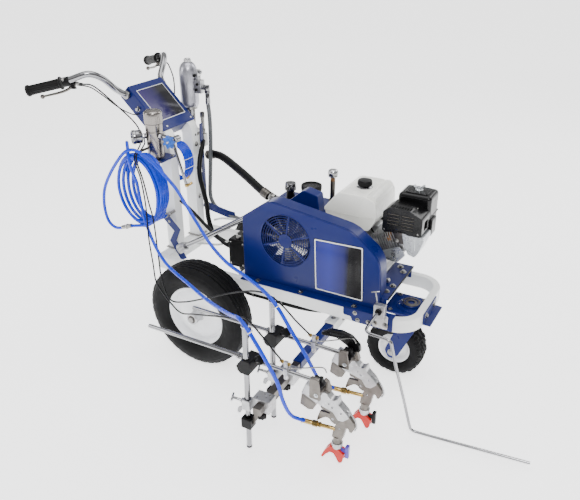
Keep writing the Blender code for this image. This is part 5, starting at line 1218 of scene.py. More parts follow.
def make_exhaust():
    plate = fillet([(0.557, 0.457), (0.565, 0.43), (0.612, 0.427), (0.636, 0.458), (0.614, 0.484)],
            [0.004, 0.008, 0.012, 0.006, 0.005], 4)
    tin = slab(plate, -0.0355, -0.032)
    piece("heat_plate", tin, "pale_zinc", bevel=0.0008)
    mark = ring_lathe([(0.0042, 0.0355), (0.0066, 0.0355), (0.0066, 0.0361), (0.0042, 0.0361)],
            (0.597, 0, 0.452), (0, -1, 0), 32)
    piece("heat_plate_dimple", merge(mark, rod((0.597, -0.0345, 0.452), (0.597, -0.036, 0.452), 0.0022,
            20)), "steel")
    stub = merge(rod((0.577, -0.02, 0.492), (0.577, -0.02, 0.531), 0.0085, 28, 0.001),
            rod((0.577, -0.02, 0.498), (0.577, -0.02, 0.503), 0.0115, 28, 0.001))
    piece("exhaust_stub", stub, "rust")
    nuts = [bolt((0.562, -0.0275, 0.502), (0, -1, 0), 0.0085), bolt((0.6, -0.0275, 0.498), (0, -1, 0),
            0.0085), bolt((0.612, -0.0275, 0.466), (0.3, -1, -0.4), 0.008)]
    piece("exhaust_nuts", merge(*nuts), "steel")
    port = box((0.556, 0.642), (-0.0262, 0.012), (0.488, 0.5285))
    piece("exhaust_port", port, "dark_steel", bevel=0.004)
    shape = fillet([(0.618, 0.5297), (0.688, 0.5297), (0.69, 0.515), (0.676, 0.474), (0.664, 0.456),
            (0.642, 0.462), (0.626, 0.492)], [0.002, 0.002, 0.01, 0.014, 0.006, 0.012, 0.01], 5)
    piece("breather_elbow", slab(shape, -0.034, 0.036), "pale_zinc", bevel=0.006, segments=3)
    rib = fillet([(0.64, 0.529), (0.662, 0.529), (0.664, 0.478), (0.652, 0.474)],
            [0.001, 0.001, 0.006, 0.004], 3)
    piece("elbow_rib", slab(rib, -0.0375, -0.03), "pale_zinc", bevel=0.0025, segments=3)
    piece("carburettor", box((0.594, 0.646), (0.03, 0.103), (0.484, 0.5291)), "alloy", bevel=0.006,
            segments=3)


def make_muffler_cover():
    shape = fillet([(0.556, 0.53), (0.682, 0.53), (0.682, 0.59), (0.64, 0.61), (0.575, 0.612),
            (0.556, 0.596)], [0.006, 0.01, 0.012, 0.01, 0.006, 0.006], 5)
    cuts = []
    for k in range(10):
        x = 0.575 + 0.0088 * k
        cuts.append(box((x, x + 0.004), (-0.037, -0.018), (0.606, 0.622)))
    for column, start in enumerate((0.57, 0.616)):
        for row in range(5):
            z = 0.545 + 0.0105 * row
            if column == 0 and row < 1:
                continue
            cuts.append(box((start, start + 0.038), (-0.05, -0.0365), (z, z + 0.0048)))
    notch = slab([(0.6, 0.52), (0.64, 0.52), (0.632, 0.541), (0.608, 0.541)], -0.05, -0.03)
    body = boolean(slab(shape, -0.042, 0.0325), cut=cuts + [notch, box((0.676, 0.684), (-0.02, 0.012),
            (0.545, 0.575))])
    piece("muffler_shield", body, "black", "machine", ["muffler_cover"], bevel=0.0016, segments=3)
    piece("muffler_box", box((0.566, 0.66), (-0.0366, 0.02), (0.542, 0.6)), "dark_steel")
    strips = [slab([(start + 0.001, z), (start + 0.037, z), (start + 0.037, z + 0.0014),
            (start + 0.001, z + 0.0014)], -0.0415, -0.0372) for start in (0.57,
            0.616) for z in [0.5468 + 0.0105 * r for r in range(5)]]
    piece("louvre_strips", merge(*strips), "dark_steel")
    dots = [socket_screw((0.583, 0.018, 0.6118), (0, 0, 1), 0.0028), socket_screw((0.65, 0.004, 0.6056),
            (0.4, 0, 0.9), 0.0028), socket_screw((0.562, -0.042, 0.537), (0, -1, 0), 0.0026),
            socket_screw((0.67, -0.042, 0.54), (0, -1, 0), 0.003)]
    piece("shield_screws", merge(*dots), "steel")


def make_air_cleaner():
    case = box((0.574, 0.681), (0.033, 0.124), (0.53, 0.6345))
    lid_edge = box((0.5725, 0.6825), (0.0335, 0.1255), (0.562, 0.5665))
    piece("cleaner_case", case, "black", "machine", ["air_cleaner"], bevel=0.0125, segments=4, smooth=40)
    piece("cleaner_seam", lid_edge, "black", bevel=0.0018)
    deck = slab(fillet([(0.592, 0.046), (0.664, 0.046), (0.664, 0.11), (0.592, 0.11)], 0.01, 4), 0.633,
            0.6375, "XY")
    piece("cleaner_deck", deck, "black", bevel=0.0016)
    ridge = box((0.592, 0.664), (0.0355, 0.0395), (0.6265, 0.63))
    piece("cleaner_ridge", ridge, "black", bevel=0.0012)
    stud = merge(rod((0.628, 0.078, 0.632), (0.628, 0.078, 0.6495), 0.003, 18, 0.0006),
            lathe([(0, 0.6365), (0.0125, 0.6365), (0.0125, 0.6385), (0.0075, 0.64), (0.006, 0.6455),
            (0, 0.6455)], (0.628, 0.078, 0), (0, 0, 1), 32))
    wings = []
    for way in (-1, 1):
        wing = slab(fillet([(0.004, 0.64), (0.0175, 0.647), (0.019, 0.6545), (0.013, 0.6545),
                (0.004, 0.646)], [0.001, 0.002, 0.003, 0.003, 0.001], 3), -0.0014, 0.0014)
        if way < 0:
            moved(wing, Matrix.Rotation(math.pi, 4, "Z"))
        wings.append(moved(wing, Matrix.Translation((0.628, 0.078, 0)) @ Matrix.Rotation(math.radians(25),
                4, "Z")))
    piece("wing_nut", merge(stud, *wings), "pale_zinc", bevel=0.0005)
    lip = slab(fillet([(0.675, 0.505), (0.69, 0.505), (0.69, 0.56), (0.675, 0.56)], 0.004, 3), 0.04, 0.085)
    piece("cleaner_lip", lip, "black", bevel=0.003, segments=3)


def make_fuel_tank():
    upper = fillet([(0.3465, 0.55), (0.5255, 0.55), (0.5225, 0.606), (0.48, 0.6215), (0.395, 0.6215),
            (0.346, 0.56)], [0.004, 0.004, 0.022, 0.022, 0.032, 0.008], 8)
    lower = fillet([(0.363, 0.5055), (0.504, 0.5055), (0.5235, 0.545), (0.523, 0.551), (0.35, 0.551),
            (0.35, 0.548)], [0.014, 0.018, 0.01, 0.001, 0.001, 0.004], 8)
    piece("tank_upper", slab(upper, -0.0215, 0.1595), "ivory", "machine", ["fuel_tank"], bevel=0.016,
            segments=6, smooth=60)
    piece("tank_lower", slab(lower, -0.0195, 0.1575), "ivory", bevel=0.012, segments=5, smooth=60)
    seam = slab(fillet([(0.3455, -0.022), (0.5265, -0.022), (0.5265, 0.16), (0.3455, 0.16)], 0.018, 6),
            0.5488, 0.5508, "XY")
    piece("tank_seam", seam, "ivory", bevel=0.0009)
    hump = slab(fillet([(0.478, 0.6), (0.5205, 0.6), (0.5185, 0.615), (0.508, 0.6245), (0.494, 0.6245),
            (0.481, 0.615)], [0.001, 0.001, 0.008, 0.008, 0.008, 0.01], 6), -0.01, 0.148)
    piece("tank_hump", hump, "ivory", bevel=0.0085, segments=5, smooth=60)
    cap = local_joint("filler_cap_turn")
    collar = lathe([(0, 0.6205), (0.0265, 0.6205), (0.0265, 0.6232), (0.0225, 0.6248), (0.02, 0.6285),
            (0, 0.6285)], (cap.x, cap.y, 0), (0, 0, 1), 48)
    piece("tank_collar", collar, "chrome")
    knurl = ridged(cap, 0.0242, 0.0234, 72, 2)
    top = merge(slab(knurl, 0.6292, 0.6395, "XY"), lathe([(0, 0.639), (0.0236, 0.639), (0.0236, 0.6425),
            (0.0218, 0.645), (0.014, 0.6458), (0, 0.646)], (cap.x, cap.y, 0), (0, 0, 1), 48))
    piece("filler_knob", top, "plastic", "filler_cap", ["fuel_cap"], bevel=0.0006)
    ties = [box((x, x + 0.02), (0.032, 0.088), (0.482, 0.5058)) for x in (0.416, 0.496)]
    piece("tank_feet", merge(*ties), "alloy", bevel=0.002)
    piece("fuel_line", pipe([(0.5, 0.01, 0.508), (0.512, 0.0, 0.5), (0.53, -0.004, 0.492),
            (0.552, 0.01, 0.5)], 0.0028, 14, 0.003), "cable")


def make_starter():
    x, z = (0.47, 0.43)
    shell = lathe([(0, 0.1185), (0.0735, 0.1185), (0.074, 0.1225), (0.074, 0.15), (0.07, 0.159),
            (0.062, 0.1655), (0.03, 0.1695), (0, 0.17)], (x, 0, z), (0, 1, 0), 72)
    piece("starter_shell", shell, "black", "machine", ["recoil_starter"])
    # Dark boxes on the starter cover: painted shade that stands in for its vent slots.
    vents = []
    for k in range(14):
        angle = 2 * math.pi * k / 14
        vent = box((0.036, 0.06), (0.165, 0.1702), (-0.0022, 0.0022))
        vents.append(moved(vent, Matrix.Translation((x, 0, z)) @ Matrix.Rotation(-angle, 4, "Y")))
    piece("starter_vent_shade", merge(*vents), "hole_shade", bevel=0.0008)
    handle = box((x - 0.045, x - 0.015), (0.15, 0.165), (z + 0.04, z + 0.056))
    piece("starter_handle", handle, "plastic", bevel=0.005, segments=3)
    screws = [bolt((x + 0.069 * math.cos(a), 0.1515, z + 0.069 * math.sin(a)),
            (math.cos(a) * 0.5, 1, math.sin(a) * 0.5), 0.007) for a in (0.8, 2.4, 3.9, 5.5)]
    piece("starter_screws", merge(*screws), "steel")


# ---------------------------------------------------------------- hydraulics
def make_hydraulics():
    profile = fillet([(0.13, RAIL_TOP), (0.34, RAIL_TOP), (0.34, 0.5), (0.33, 0.53), (0.322, 0.592),
            (0.27, 0.604), (0.203, 0.545), (0.13, 0.53)], [0, 0, 0.01, 0.008, 0.006, 0.022, 0.012, 0.006],
            5)
    piece("tank_gable", slab(profile, -0.022, 0.022), "blue", "machine", ["hydraulic_tank"], bevel=0.003,
            segments=3)
    tub = box((0.131, 0.339), (0.019, 0.1245), (RAIL_TOP, 0.5295))
    piece("tank_box", tub, "blue", bevel=0.006, segments=3)
    sticker = slab([(-0.03, -0.0175), (0.03, -0.0175), (0.03, 0.0175), (-0.03, 0.0175)], 0, 0.0004, "XY")
    slope = Vector((0.27 - 0.203, 0, 0.604 - 0.545)).normalized()
    axes = Matrix(((slope.x, 0, -slope.z, 0), (0, 1, 0, 0), (slope.z, 0, slope.x, 0), (0, 0, 0, 1)))
    middle = Vector((0.2365, -0.002, 0.5745)) + Vector((-slope.z, 0, slope.x)) * 0.0002
    piece("blank_sticker", moved(sticker, Matrix.Translation(middle) @ axes), "print")
    knurl = ridged((0.182, 0.055), 0.019, 0.0198, 60)
    cap = merge(slab(knurl, 0.564, 0.58, "XY"), lathe([(0, 0.5795), (0.0193, 0.5795), (0.0193, 0.586),
            (0.0175, 0.5895), (0, 0.5905)], (0.182, 0.055, 0), (0, 0, 1), 44))
    piece("oil_cap", cap, "chrome", bevel=0.0004)
    neck = lathe([(0, 0.5295), (0.0185, 0.5295), (0.0185, 0.5325), (0.014, 0.5345), (0.014, 0.5635),
            (0, 0.5635)], (0.182, 0.055, 0), (0, 0, 1), 36)
    piece("oil_neck", neck, "plastic")
    can = lathe([(0, 0.529), (0.0345, 0.529), (0.0345, 0.576), (0.036, 0.5775), (0.036, 0.589),
            (0.0345, 0.5915), (0.0305, 0.592), (0.029, 0.5885), (0, 0.5885)], (0.257, 0.066, 0), (0, 0, 1),
            56)
    piece("oil_filter", can, "black")
    stem = merge(rod((0.316, 0.11, 0.529), (0.316, 0.11, 0.601), 0.0088, 28, 0.0008),
            rod((0.316, 0.11, 0.5295), (0.316, 0.11, 0.535), 0.013, 28, 0.001))
    piece("breather_pipe", stem, "dark_steel")
    piece("breather_neck", rod((0.316, 0.11, 0.6005), (0.316, 0.11, 0.618), 0.0082, 28, 0.0008), "rust")
    dome = lathe([(0, 0.6165), (0.015, 0.6165), (0.0172, 0.619), (0.0165, 0.6215), (0.018, 0.6245),
            (0.018, 0.633), (0.0165, 0.6385), (0.0125, 0.642), (0.0065, 0.6434), (0, 0.6436)],
            (0.316, 0.11, 0), (0, 0, 1), 56)
    piece("breather_cap", dome, "mirror")
    fan = local_joint("pump_pulley_spin")
    fx, fz = (fan.x, fan.z)
    body = box((fx - 0.035, fx + 0.035), (-0.074, -0.0225), (fz - 0.04, fz + 0.04))
    nose = ring_lathe([(0.017, 0.06), (0.0262, 0.06), (0.0262, 0.0795), (0.017, 0.0795)], (fx, 0, fz),
            (0, -1, 0), 44)
    piece("pump_case", merge(body, nose), "alloy", "machine", ["hydraulic_pump"], bevel=0.003, segments=3)
    ears = [bolt((fx + dx, -0.074, fz + dz), (0, -1, 0), 0.008) for dx in (-0.028, 0.028) for dz in (-0.032,
            0.032)]
    piece("pump_bolts", merge(*ears), "steel")
    manifold = box((0.018, 0.084), (-0.1, -0.02), (RAIL_TOP, 0.405))
    piece("valve_block", manifold, "plastic", "machine", ["hydraulic_manifold"], bevel=0.004, segments=3)
    ports = [hexagon((0.05, y, 0.405), (0.05, y, 0.413), 0.017) for y in (-0.082, -0.04)]
    ports += [socket_screw((x, -0.1, z), (0, -1, 0), 0.004) for x in (0.026, 0.076) for z in (0.312, 0.393)]
    piece("valve_ports", merge(*ports), "steel")


# ---------------------------------------------------------------- brackets and marking pointer
def make_brackets():
    x = 0.7273
    shape = [(x, 0.3), (x + 0.004, 0.3), (x + 0.004, 0.268), (x + 0.026, 0.266), (x + 0.026, 0.262),
            (x, 0.262)]
    piece("bumper_plate", slab(shape, -0.092, 0.036), "blue", "machine", ["bumper_bracket"], bevel=0.0008)
    screws = [bolt((x + 0.004, y, 0.2865), (1, 0, 0), 0.0105) for y in (-0.072, 0.006)]
    piece("bumper_screws", merge(*screws), "steel")
    face = -0.1686
    foot = slab(fillet([(0.592, 0.262), (0.64, 0.262), (0.64, 0.31), (0.592, 0.31)], 0.003, 3),
            face - 0.004, face)
    ear = boolean(box((0.598, 0.634), (face - 0.022, face), (0.302, 0.352)),
            cut=[rod((0.615, face - 0.03, 0.331), (0.615, face + 0.01, 0.331), 0.0052, 28)])
    piece("pointer_mount", merge(foot, ear), "alloy", "machine", ["pointer_bracket"], bevel=0.0022,
            segments=3)
    screws = [bolt((dx, face - 0.004, dz), (0, -1, 0), 0.0105) for dx, dz in ((0.598, 0.276), (0.633, 0.277))]
    piece("mount_screws", merge(*screws), "steel")
    bush = ring_lathe([(0.0052, 0.1904), (0.0105, 0.1904), (0.0105, 0.1945), (0.009, 0.196),
            (0.0052, 0.196)], (0.615, 0, 0.331), (0, -1, 0), 36)
    piece("pointer_bush", bush, "plastic")
    tee = merge(rod((0.606, face - 0.011, 0.3515), (0.598, face - 0.011, 0.392), 0.0023, 16, 0.0005),
            rod((0.586, face - 0.015, 0.39), (0.61, face - 0.007, 0.394), 0.0023, 16, 0.0005))
    piece("pointer_screw", tee, "chrome")
    route = [(0.615, -0.1706, 0.331), (0.615, -0.2, 0.331), (0.615, -0.215, 0.331), (0.615, -0.262, 0.33),
            (0.617, -0.294, 0.33), (0.628, -0.303, 0.327), (0.655, -0.305, 0.326), (0.688, -0.305, 0.323),
            (0.699, -0.305, 0.315), (0.703, -0.305, 0.3), (0.722, -0.305, 0.23), (0.752, -0.305, 0.13),
            (0.776, -0.303, 0.042), (0.784, -0.301, 0.027), (0.8, -0.299, 0.023), (0.86, -0.293, 0.022),
            (0.98, -0.281, 0.022), (1.12, -0.267, 0.022)]
    piece("pointer_arm", pipe(route, 0.0045, 18, 0.005), "chrome", "pointer", ["pointer_rod"])
    loom = pipe([(0.09, -0.152, 0.2475), (0.13, -0.155, 0.2435), (0.2, -0.156, 0.244), (0.3, -0.156, 0.242),
            (0.36, -0.153, 0.244), (0.405, -0.15, 0.25)], 0.0062, 16, 0.004)
    piece("wire_loom", loom, "loom")
    clips = [ring_lathe([(0.0062, -0.0035), (0.0074, -0.0035), (0.0074, 0.0035), (0.0062, 0.0035)],
            (px, -0.156, 0.2432), (1, 0, 0), 24) for px in (0.15, 0.262)]
    piece("loom_clips", merge(*clips), "steel")


# ---------------------------------------------------------------- hoses and cables
HOSE_R = 0.0055
CABLE_R = 0.0025
HOSE_STEP = 0.0075
# The least radius of a bend: at the folds of the hank, which lies behind this X, and along the runs.
HANK_BEND = 0.0338
RUN_BEND = 0.0475
HANK_SIDE = -0.2
HANK_X, HANK_Y, HANK_Z = (-0.25, -0.19, 0.583)
HANK_TURNS = 9.0
TURN_PITCH = 0.0057
ROW_GAP = 0.0105
NEAR_HOSE = [(-0.229, -0.2518, 0.592), (-0.222, -0.253, 0.54), (-0.2, -0.262, 0.474), (-0.134, -0.3, 0.417),
        (-0.051, -0.345, 0.392), (0.07, -0.402, 0.388), (0.182, -0.462, 0.394), (0.298, -0.53, 0.422),
        (0.38, -0.591, 0.461), (0.4195, -0.602, 0.428), (0.461, -0.602, 0.364), (0.49, -0.594, 0.296),
        (0.5, -0.586, 0.24), (0.509, -0.57, 0.19), (0.519, -0.552, 0.16)]
FAR_HOSE = [(-0.21, -0.2518, 0.728), (-0.15, -0.258, 0.702), (-0.07, -0.262, 0.64), (-0.024, -0.266, 0.585),
        (0.02, -0.274, 0.535), (0.089, -0.303, 0.487), (0.17, -0.338, 0.46), (0.261, -0.382, 0.459),
        (0.368, -0.446, 0.466), (0.419, -0.462, 0.437), (0.459, -0.456, 0.368), (0.495, -0.446, 0.3),
        (0.515, -0.43, 0.24), (0.525, -0.412, 0.196), (0.537, -0.395, 0.169)]
NEAR_CABLE = [(-0.425, -0.204, 0.91), (-0.391, -0.2, 0.893), (-0.334, -0.184, 0.842), (-0.3, -0.162, 0.797),
        (-0.284, -0.152, 0.762), (-0.273, -0.165, 0.7275), (-0.247, -0.21, 0.7195), (-0.2295, -0.25, 0.713),
        (-0.212, -0.269, 0.69), (-0.197, -0.269, 0.64), (-0.184, -0.274, 0.55), (-0.1725, -0.29, 0.448),
        (-0.157, -0.3, 0.354), (-0.121, -0.336, 0.318), (-0.093, -0.345, 0.29), (-0.046, -0.362, 0.268),
        (0.019, -0.392, 0.264), (0.109, -0.437, 0.31), (0.25, -0.505, 0.383), (0.315, -0.53, 0.412),
        (0.378, -0.562, 0.447), (0.433, -0.57, 0.412), (0.458, -0.562, 0.375), (0.485, -0.557, 0.342)]
FAR_CABLE = [(-0.425, 0.208, 0.905), (-0.385, 0.18, 0.86), (-0.352, 0.13, 0.8), (-0.33, 0.05, 0.745),
        (-0.318, -0.05, 0.724), (-0.298, -0.115, 0.7265), (-0.262, -0.158, 0.7235), (-0.238, -0.204, 0.719),
        (-0.2215, -0.25, 0.713), (-0.203, -0.269, 0.69), (-0.188, -0.269, 0.64), (-0.1765, -0.266, 0.56),
        (-0.168, -0.262, 0.495), (-0.137, -0.292, 0.383), (-0.104, -0.325, 0.326), (-0.061, -0.345, 0.268),
        (0.0, -0.35, 0.276), (0.115, -0.372, 0.336), (0.206, -0.384, 0.384), (0.31, -0.415, 0.437),
        (0.37, -0.428, 0.447), (0.416, -0.432, 0.428), (0.453, -0.42, 0.382), (0.497, -0.413, 0.342)]
ARMS = {
    "near": {"post": (0.388, -0.585), "rod_y": -0.557, "rod_rear": 0.032, "anchor_x": 0.489,
             "gun": (0.64, -0.515, 0.0)},
    "far": {"post": (0.388, -0.441), "rod_y": -0.413, "rod_rear": 0.088, "anchor_x": 0.501,
            "gun": (0.658, -0.36, 0.01)},
}


def inlet_line(arm):
    """Where the hose meets the gun, and the way into it."""
    x, y, lift = arm["gun"]
    mouth = Vector((x - 0.075, y - 0.016, 0.144 + lift))
    head = Vector((x - 0.01, y - 0.006, 0.142 + lift))
    return mouth, (head - mouth).normalized()


def ease_bends(points, passes=160):
    """The same course with each bend opened to the hose's own least radius; the ends stay put."""
    course = list(points)
    for _ in range(passes):
        for k in range(3, len(course) - 3):
            before, here, after = course[k - 3], course[k], course[k + 3]
            sag = (before + after) / 2 - here
            least = HANK_BEND if here.x < HANK_SIDE else RUN_BEND
            if (after - before).length_squared < 8 * least * sag.length:
                course[k] = here + sag * 0.25
    return course


def hank_turns(first, last, per_turn=24):
    """Points along hanging turns in two rows, each a little wider and nearer than the one before."""
    points = []
    for k in range(int((last - first) * per_turn) + 1):
        turn = first + k / per_turn
        angle = math.pi / 2 - 2 * math.pi * turn
        c = math.cos(angle)
        s = math.sin(angle)
        inner = HANK_TURNS - turn
        whole = math.floor(turn - 0.25)
        mix = min((turn - 0.25 - whole) / 0.2, 1.0)
        row = (whole + 1) % 2 + (whole % 2 - (whole + 1) % 2) * mix * mix * (3 - 2 * mix)
        shrink = ROW_GAP * row
        wide = 0.098 - 0.0028 * inner - shrink
        high = 0.126 - 0.001 * inner - shrink if s > 0 else 0.13 - 0.0015 * inner - shrink
        x = HANK_X + 0.003 * inner + wide * c * (1.0 - 0.06 * max(s, 0.0))
        points.append(Vector((x, HANK_Y - TURN_PITCH * turn, HANK_Z + high * s)))
    return points


LOOSE_TURN = [(-0.29, -0.25, 0.447), (-0.346, -0.25, 0.428), (-0.379, -0.25, 0.441),
        (-0.391, -0.251, 0.475), (-0.39, -0.253, 0.522), (-0.372, -0.258, 0.577), (-0.33, -0.265, 0.64),
        (-0.28, -0.272, 0.697), (-0.248, -0.27, 0.728), (-0.228, -0.26, 0.736)]


def make_hoses():
    near = ARMS["near"]
    far = ARMS["far"]
    outlet = Vector((-0.222, -0.15, 0.64))
    hand = [outlet + Vector((0, 0, -0.004)), outlet + Vector((0, -0.002, -0.024)),
            Vector((-0.2135, -0.162, 0.592)), Vector((-0.192, -0.177, 0.567)),
            Vector((-0.1785, -0.187, 0.54))]
    turns = hank_turns(0.36, 3.78)
    lead = [Vector(p) for p in ((-0.302, -0.2105, 0.66), (-0.2955, -0.208, 0.7), (-0.2872, -0.217, 0.7355),
            (-0.267, -0.238, 0.75), (-0.247, -0.259, 0.7355), (-0.239, -0.268, 0.702),
            (-0.2365, -0.265, 0.67), (-0.2345, -0.259, 0.645), (-0.231, -0.2525, 0.618))]
    mouth, inward = inlet_line(near)
    run = [Vector(p) for p in NEAR_HOSE] + [mouth - inward * 0.03, mouth - inward * 0.0003]
    hose("near", hand + turns + lead + run, near, mouth)
    tee = Vector((-0.226, -0.11, 0.452))
    hand = [tee, tee + Vector((-0.016, -0.022, -0.01)), Vector((-0.262, -0.165, 0.44)),
            Vector((-0.281, -0.195, 0.456))]
    turns = hank_turns(4.62, 8.5)
    lead = [Vector(p) for p in LOOSE_TURN]
    mouth, inward = inlet_line(far)
    run = [Vector(p) for p in FAR_HOSE] + [mouth - inward * 0.03, mouth - inward * 0.0003]
    hose("far", hand + turns + lead + run, far, mouth)
    elbow = merge(hexagon(tee + Vector((0.004, 0.004, 0.002)), tee + Vector((-0.012, -0.011, -0.008)),
            0.0135), rod(tee + Vector((0.004, 0.004, 0.002)), tee + Vector((0.006, 0.0245, 0.004)), 0.006,
            20, 0.001))
    piece("hose_union", elbow, "steel")


def hose(word, route, arm, mouth):
    """One spray hose from the pump side, round the hank, to its gun."""
    points = smooth_route(ease_bends(smooth_route(route, HOSE_STEP)), HOSE_STEP)
    thing = linked(f"{word}_paint_hose", sweep(points, HOSE_R, 14), MATERIALS["hose"])
    path = [tuple(p + ORIGIN) for p in points]
    length = sum((b - a).length for a, b in zip(points, points[1:]))
    x, y = arm["post"]
    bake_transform(thing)
    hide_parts(f"{word}_spray_hose", *(["hose_hank"] if word == "near" else []))
    tuple(path[0])


def make_cables():
    for word, side, points in (("near", NEAR, NEAR_CABLE), ("far", FAR, FAR_CABLE)):
        arm = ARMS[word]
        mouth = mirror_y((-0.458, 0.221, 0.914), side)
        outward = (mouth - mirror_y((-0.489, 0.232, 0.917), side)).normalized()
        route = [mouth + outward * 0.0003, mouth + outward * 0.015] + [Vector(p) for p in points]
        thing = linked(f"{word}_control_cable", sweep(smooth_route(route, 0.006), CABLE_R, 10),
                MATERIALS["cable"])
        x, y = arm["post"]
        tuple(Vector(points[-1]) + Vector((-0.012, 0, 0.014)) + ORIGIN)
        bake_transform(thing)
        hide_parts(f"{word}_trigger_cable")
        boot = rod(mouth + outward * 0.0002, mouth + outward * 0.01, 0.004, 16, 0.0006)
        piece(f"{word}_cable_boot", boot, "plastic")
    wire = [(-0.478, -0.214, 0.906), (-0.44, -0.196, 0.9), (-0.405, -0.184, 0.878), (-0.362, -0.16, 0.836),
            (-0.336, -0.125, 0.806), (-0.331, -0.0925, 0.799)]
    piece("switch_wire", pipe(wire, 0.0021, 10, 0.005), "cable")


def make_black_hoses():
    pressure = [(-0.213, 0.1275, 0.606), (-0.17, 0.124, 0.615), (-0.115, 0.104, 0.612),
            (0.001, 0.05, 0.587), (0.085, 0.012, 0.563), (0.129, 0.0, 0.548)]
    points = smooth_route(pressure, 0.01)
    piece("main_pressure_hose", sweep(points, 0.0145, 28), "cable", "machine", ["pressure_hose"])
    for name, spot, after in (("rear", points[0], points[3]), ("front", points[-1], points[-4])):
        along = (after - spot).normalized()
        crimp = lathe([(0, 0), (0.0155, 0), (0.0168, 0.0015), (0.0168, 0.008), (0.0158, 0.009),
                (0.0168, 0.01), (0.0168, 0.018), (0.0158, 0.019), (0.0168, 0.02), (0.0168, 0.03),
                (0.0152, 0.032), (0, 0.032)], spot + along * 0.001, along, 40)
        piece(f"hose_crimp_{name}", crimp, "dark_steel")
    port = merge(rod((0.1292, 0, 0.548), (0.152, 0, 0.5475), 0.0115, 28, 0.001),
            hexagon((0.133, 0, 0.548), (0.142, 0, 0.5478), 0.026), rod((0.152, 0, 0.552),
            (0.152, 0, 0.5335), 0.0125, 28, 0.001))
    piece("pressure_port", port, "steel")
    motor = [(-0.196, 0.1275, 0.8377), (-0.196, 0.1275, 0.8), (-0.188, 0.121, 0.76), (-0.179, 0.108, 0.7),
            (-0.175, 0.0985, 0.648), (-0.18, 0.099, 0.59), (-0.19, 0.105, 0.52), (-0.196, 0.108, 0.47),
            (-0.19, 0.107, 0.434), (-0.16, 0.105, 0.405), (-0.06, 0.09, 0.39), (0.02, 0.085, 0.388),
            (0.129, 0.085, 0.388)]
    points = smooth_route(motor, 0.006)
    piece("motor_return_hose", sweep(points, 0.0075, 20), "grey_hose", "machine", ["motor_hose"])
    collar = merge(rod((-0.196, 0.1275, 0.8376), (-0.196, 0.1275, 0.8), 0.0086, 28, 0.001),
            ring_lathe([(0.0075, 0.806), (0.0094, 0.806), (0.0094, 0.812), (0.0075, 0.812)],
            (-0.196, 0.1275, 0)))
    piece("return_hose_crimp", collar, "chrome")
    extra = {
        "drain_hose": ([(-0.178, -0.1, 0.512), (-0.14, -0.085, 0.47), (-0.09, -0.08, 0.425),
                        (-0.02, -0.078, 0.372),
                        (0.018, -0.078, 0.36)], 0.0062, "cable"),
        "feed_hose": ([(-0.213, 0.108, 0.665), (-0.1965, 0.075, 0.652), (-0.189, 0.046, 0.615),
                       (-0.176, 0.022, 0.56),
                       (-0.15, 0.015, 0.47), (-0.14, 0.01, 0.4), (-0.11, 0.0, 0.35), (-0.04, -0.01, 0.33),
                       (0.018, -0.03, 0.335)], 0.009, "cable"),
        "white_line": ([(-0.172, -0.07, 0.33), (-0.11, -0.06, 0.338), (-0.04, -0.06, 0.352),
                        (0.03, -0.06, 0.4062)],
                       0.0042, "clear"),
        "white_return": ([(-0.12, 0.02, 0.4), (-0.06, -0.01, 0.43), (0.01, -0.03, 0.446),
                          (0.095, -0.05, 0.452)],
                         0.004, "clear"),
    }
    for name, (route, radius, material) in extra.items():
        piece(name, pipe(route, radius, 18, radius * 0.8), material)


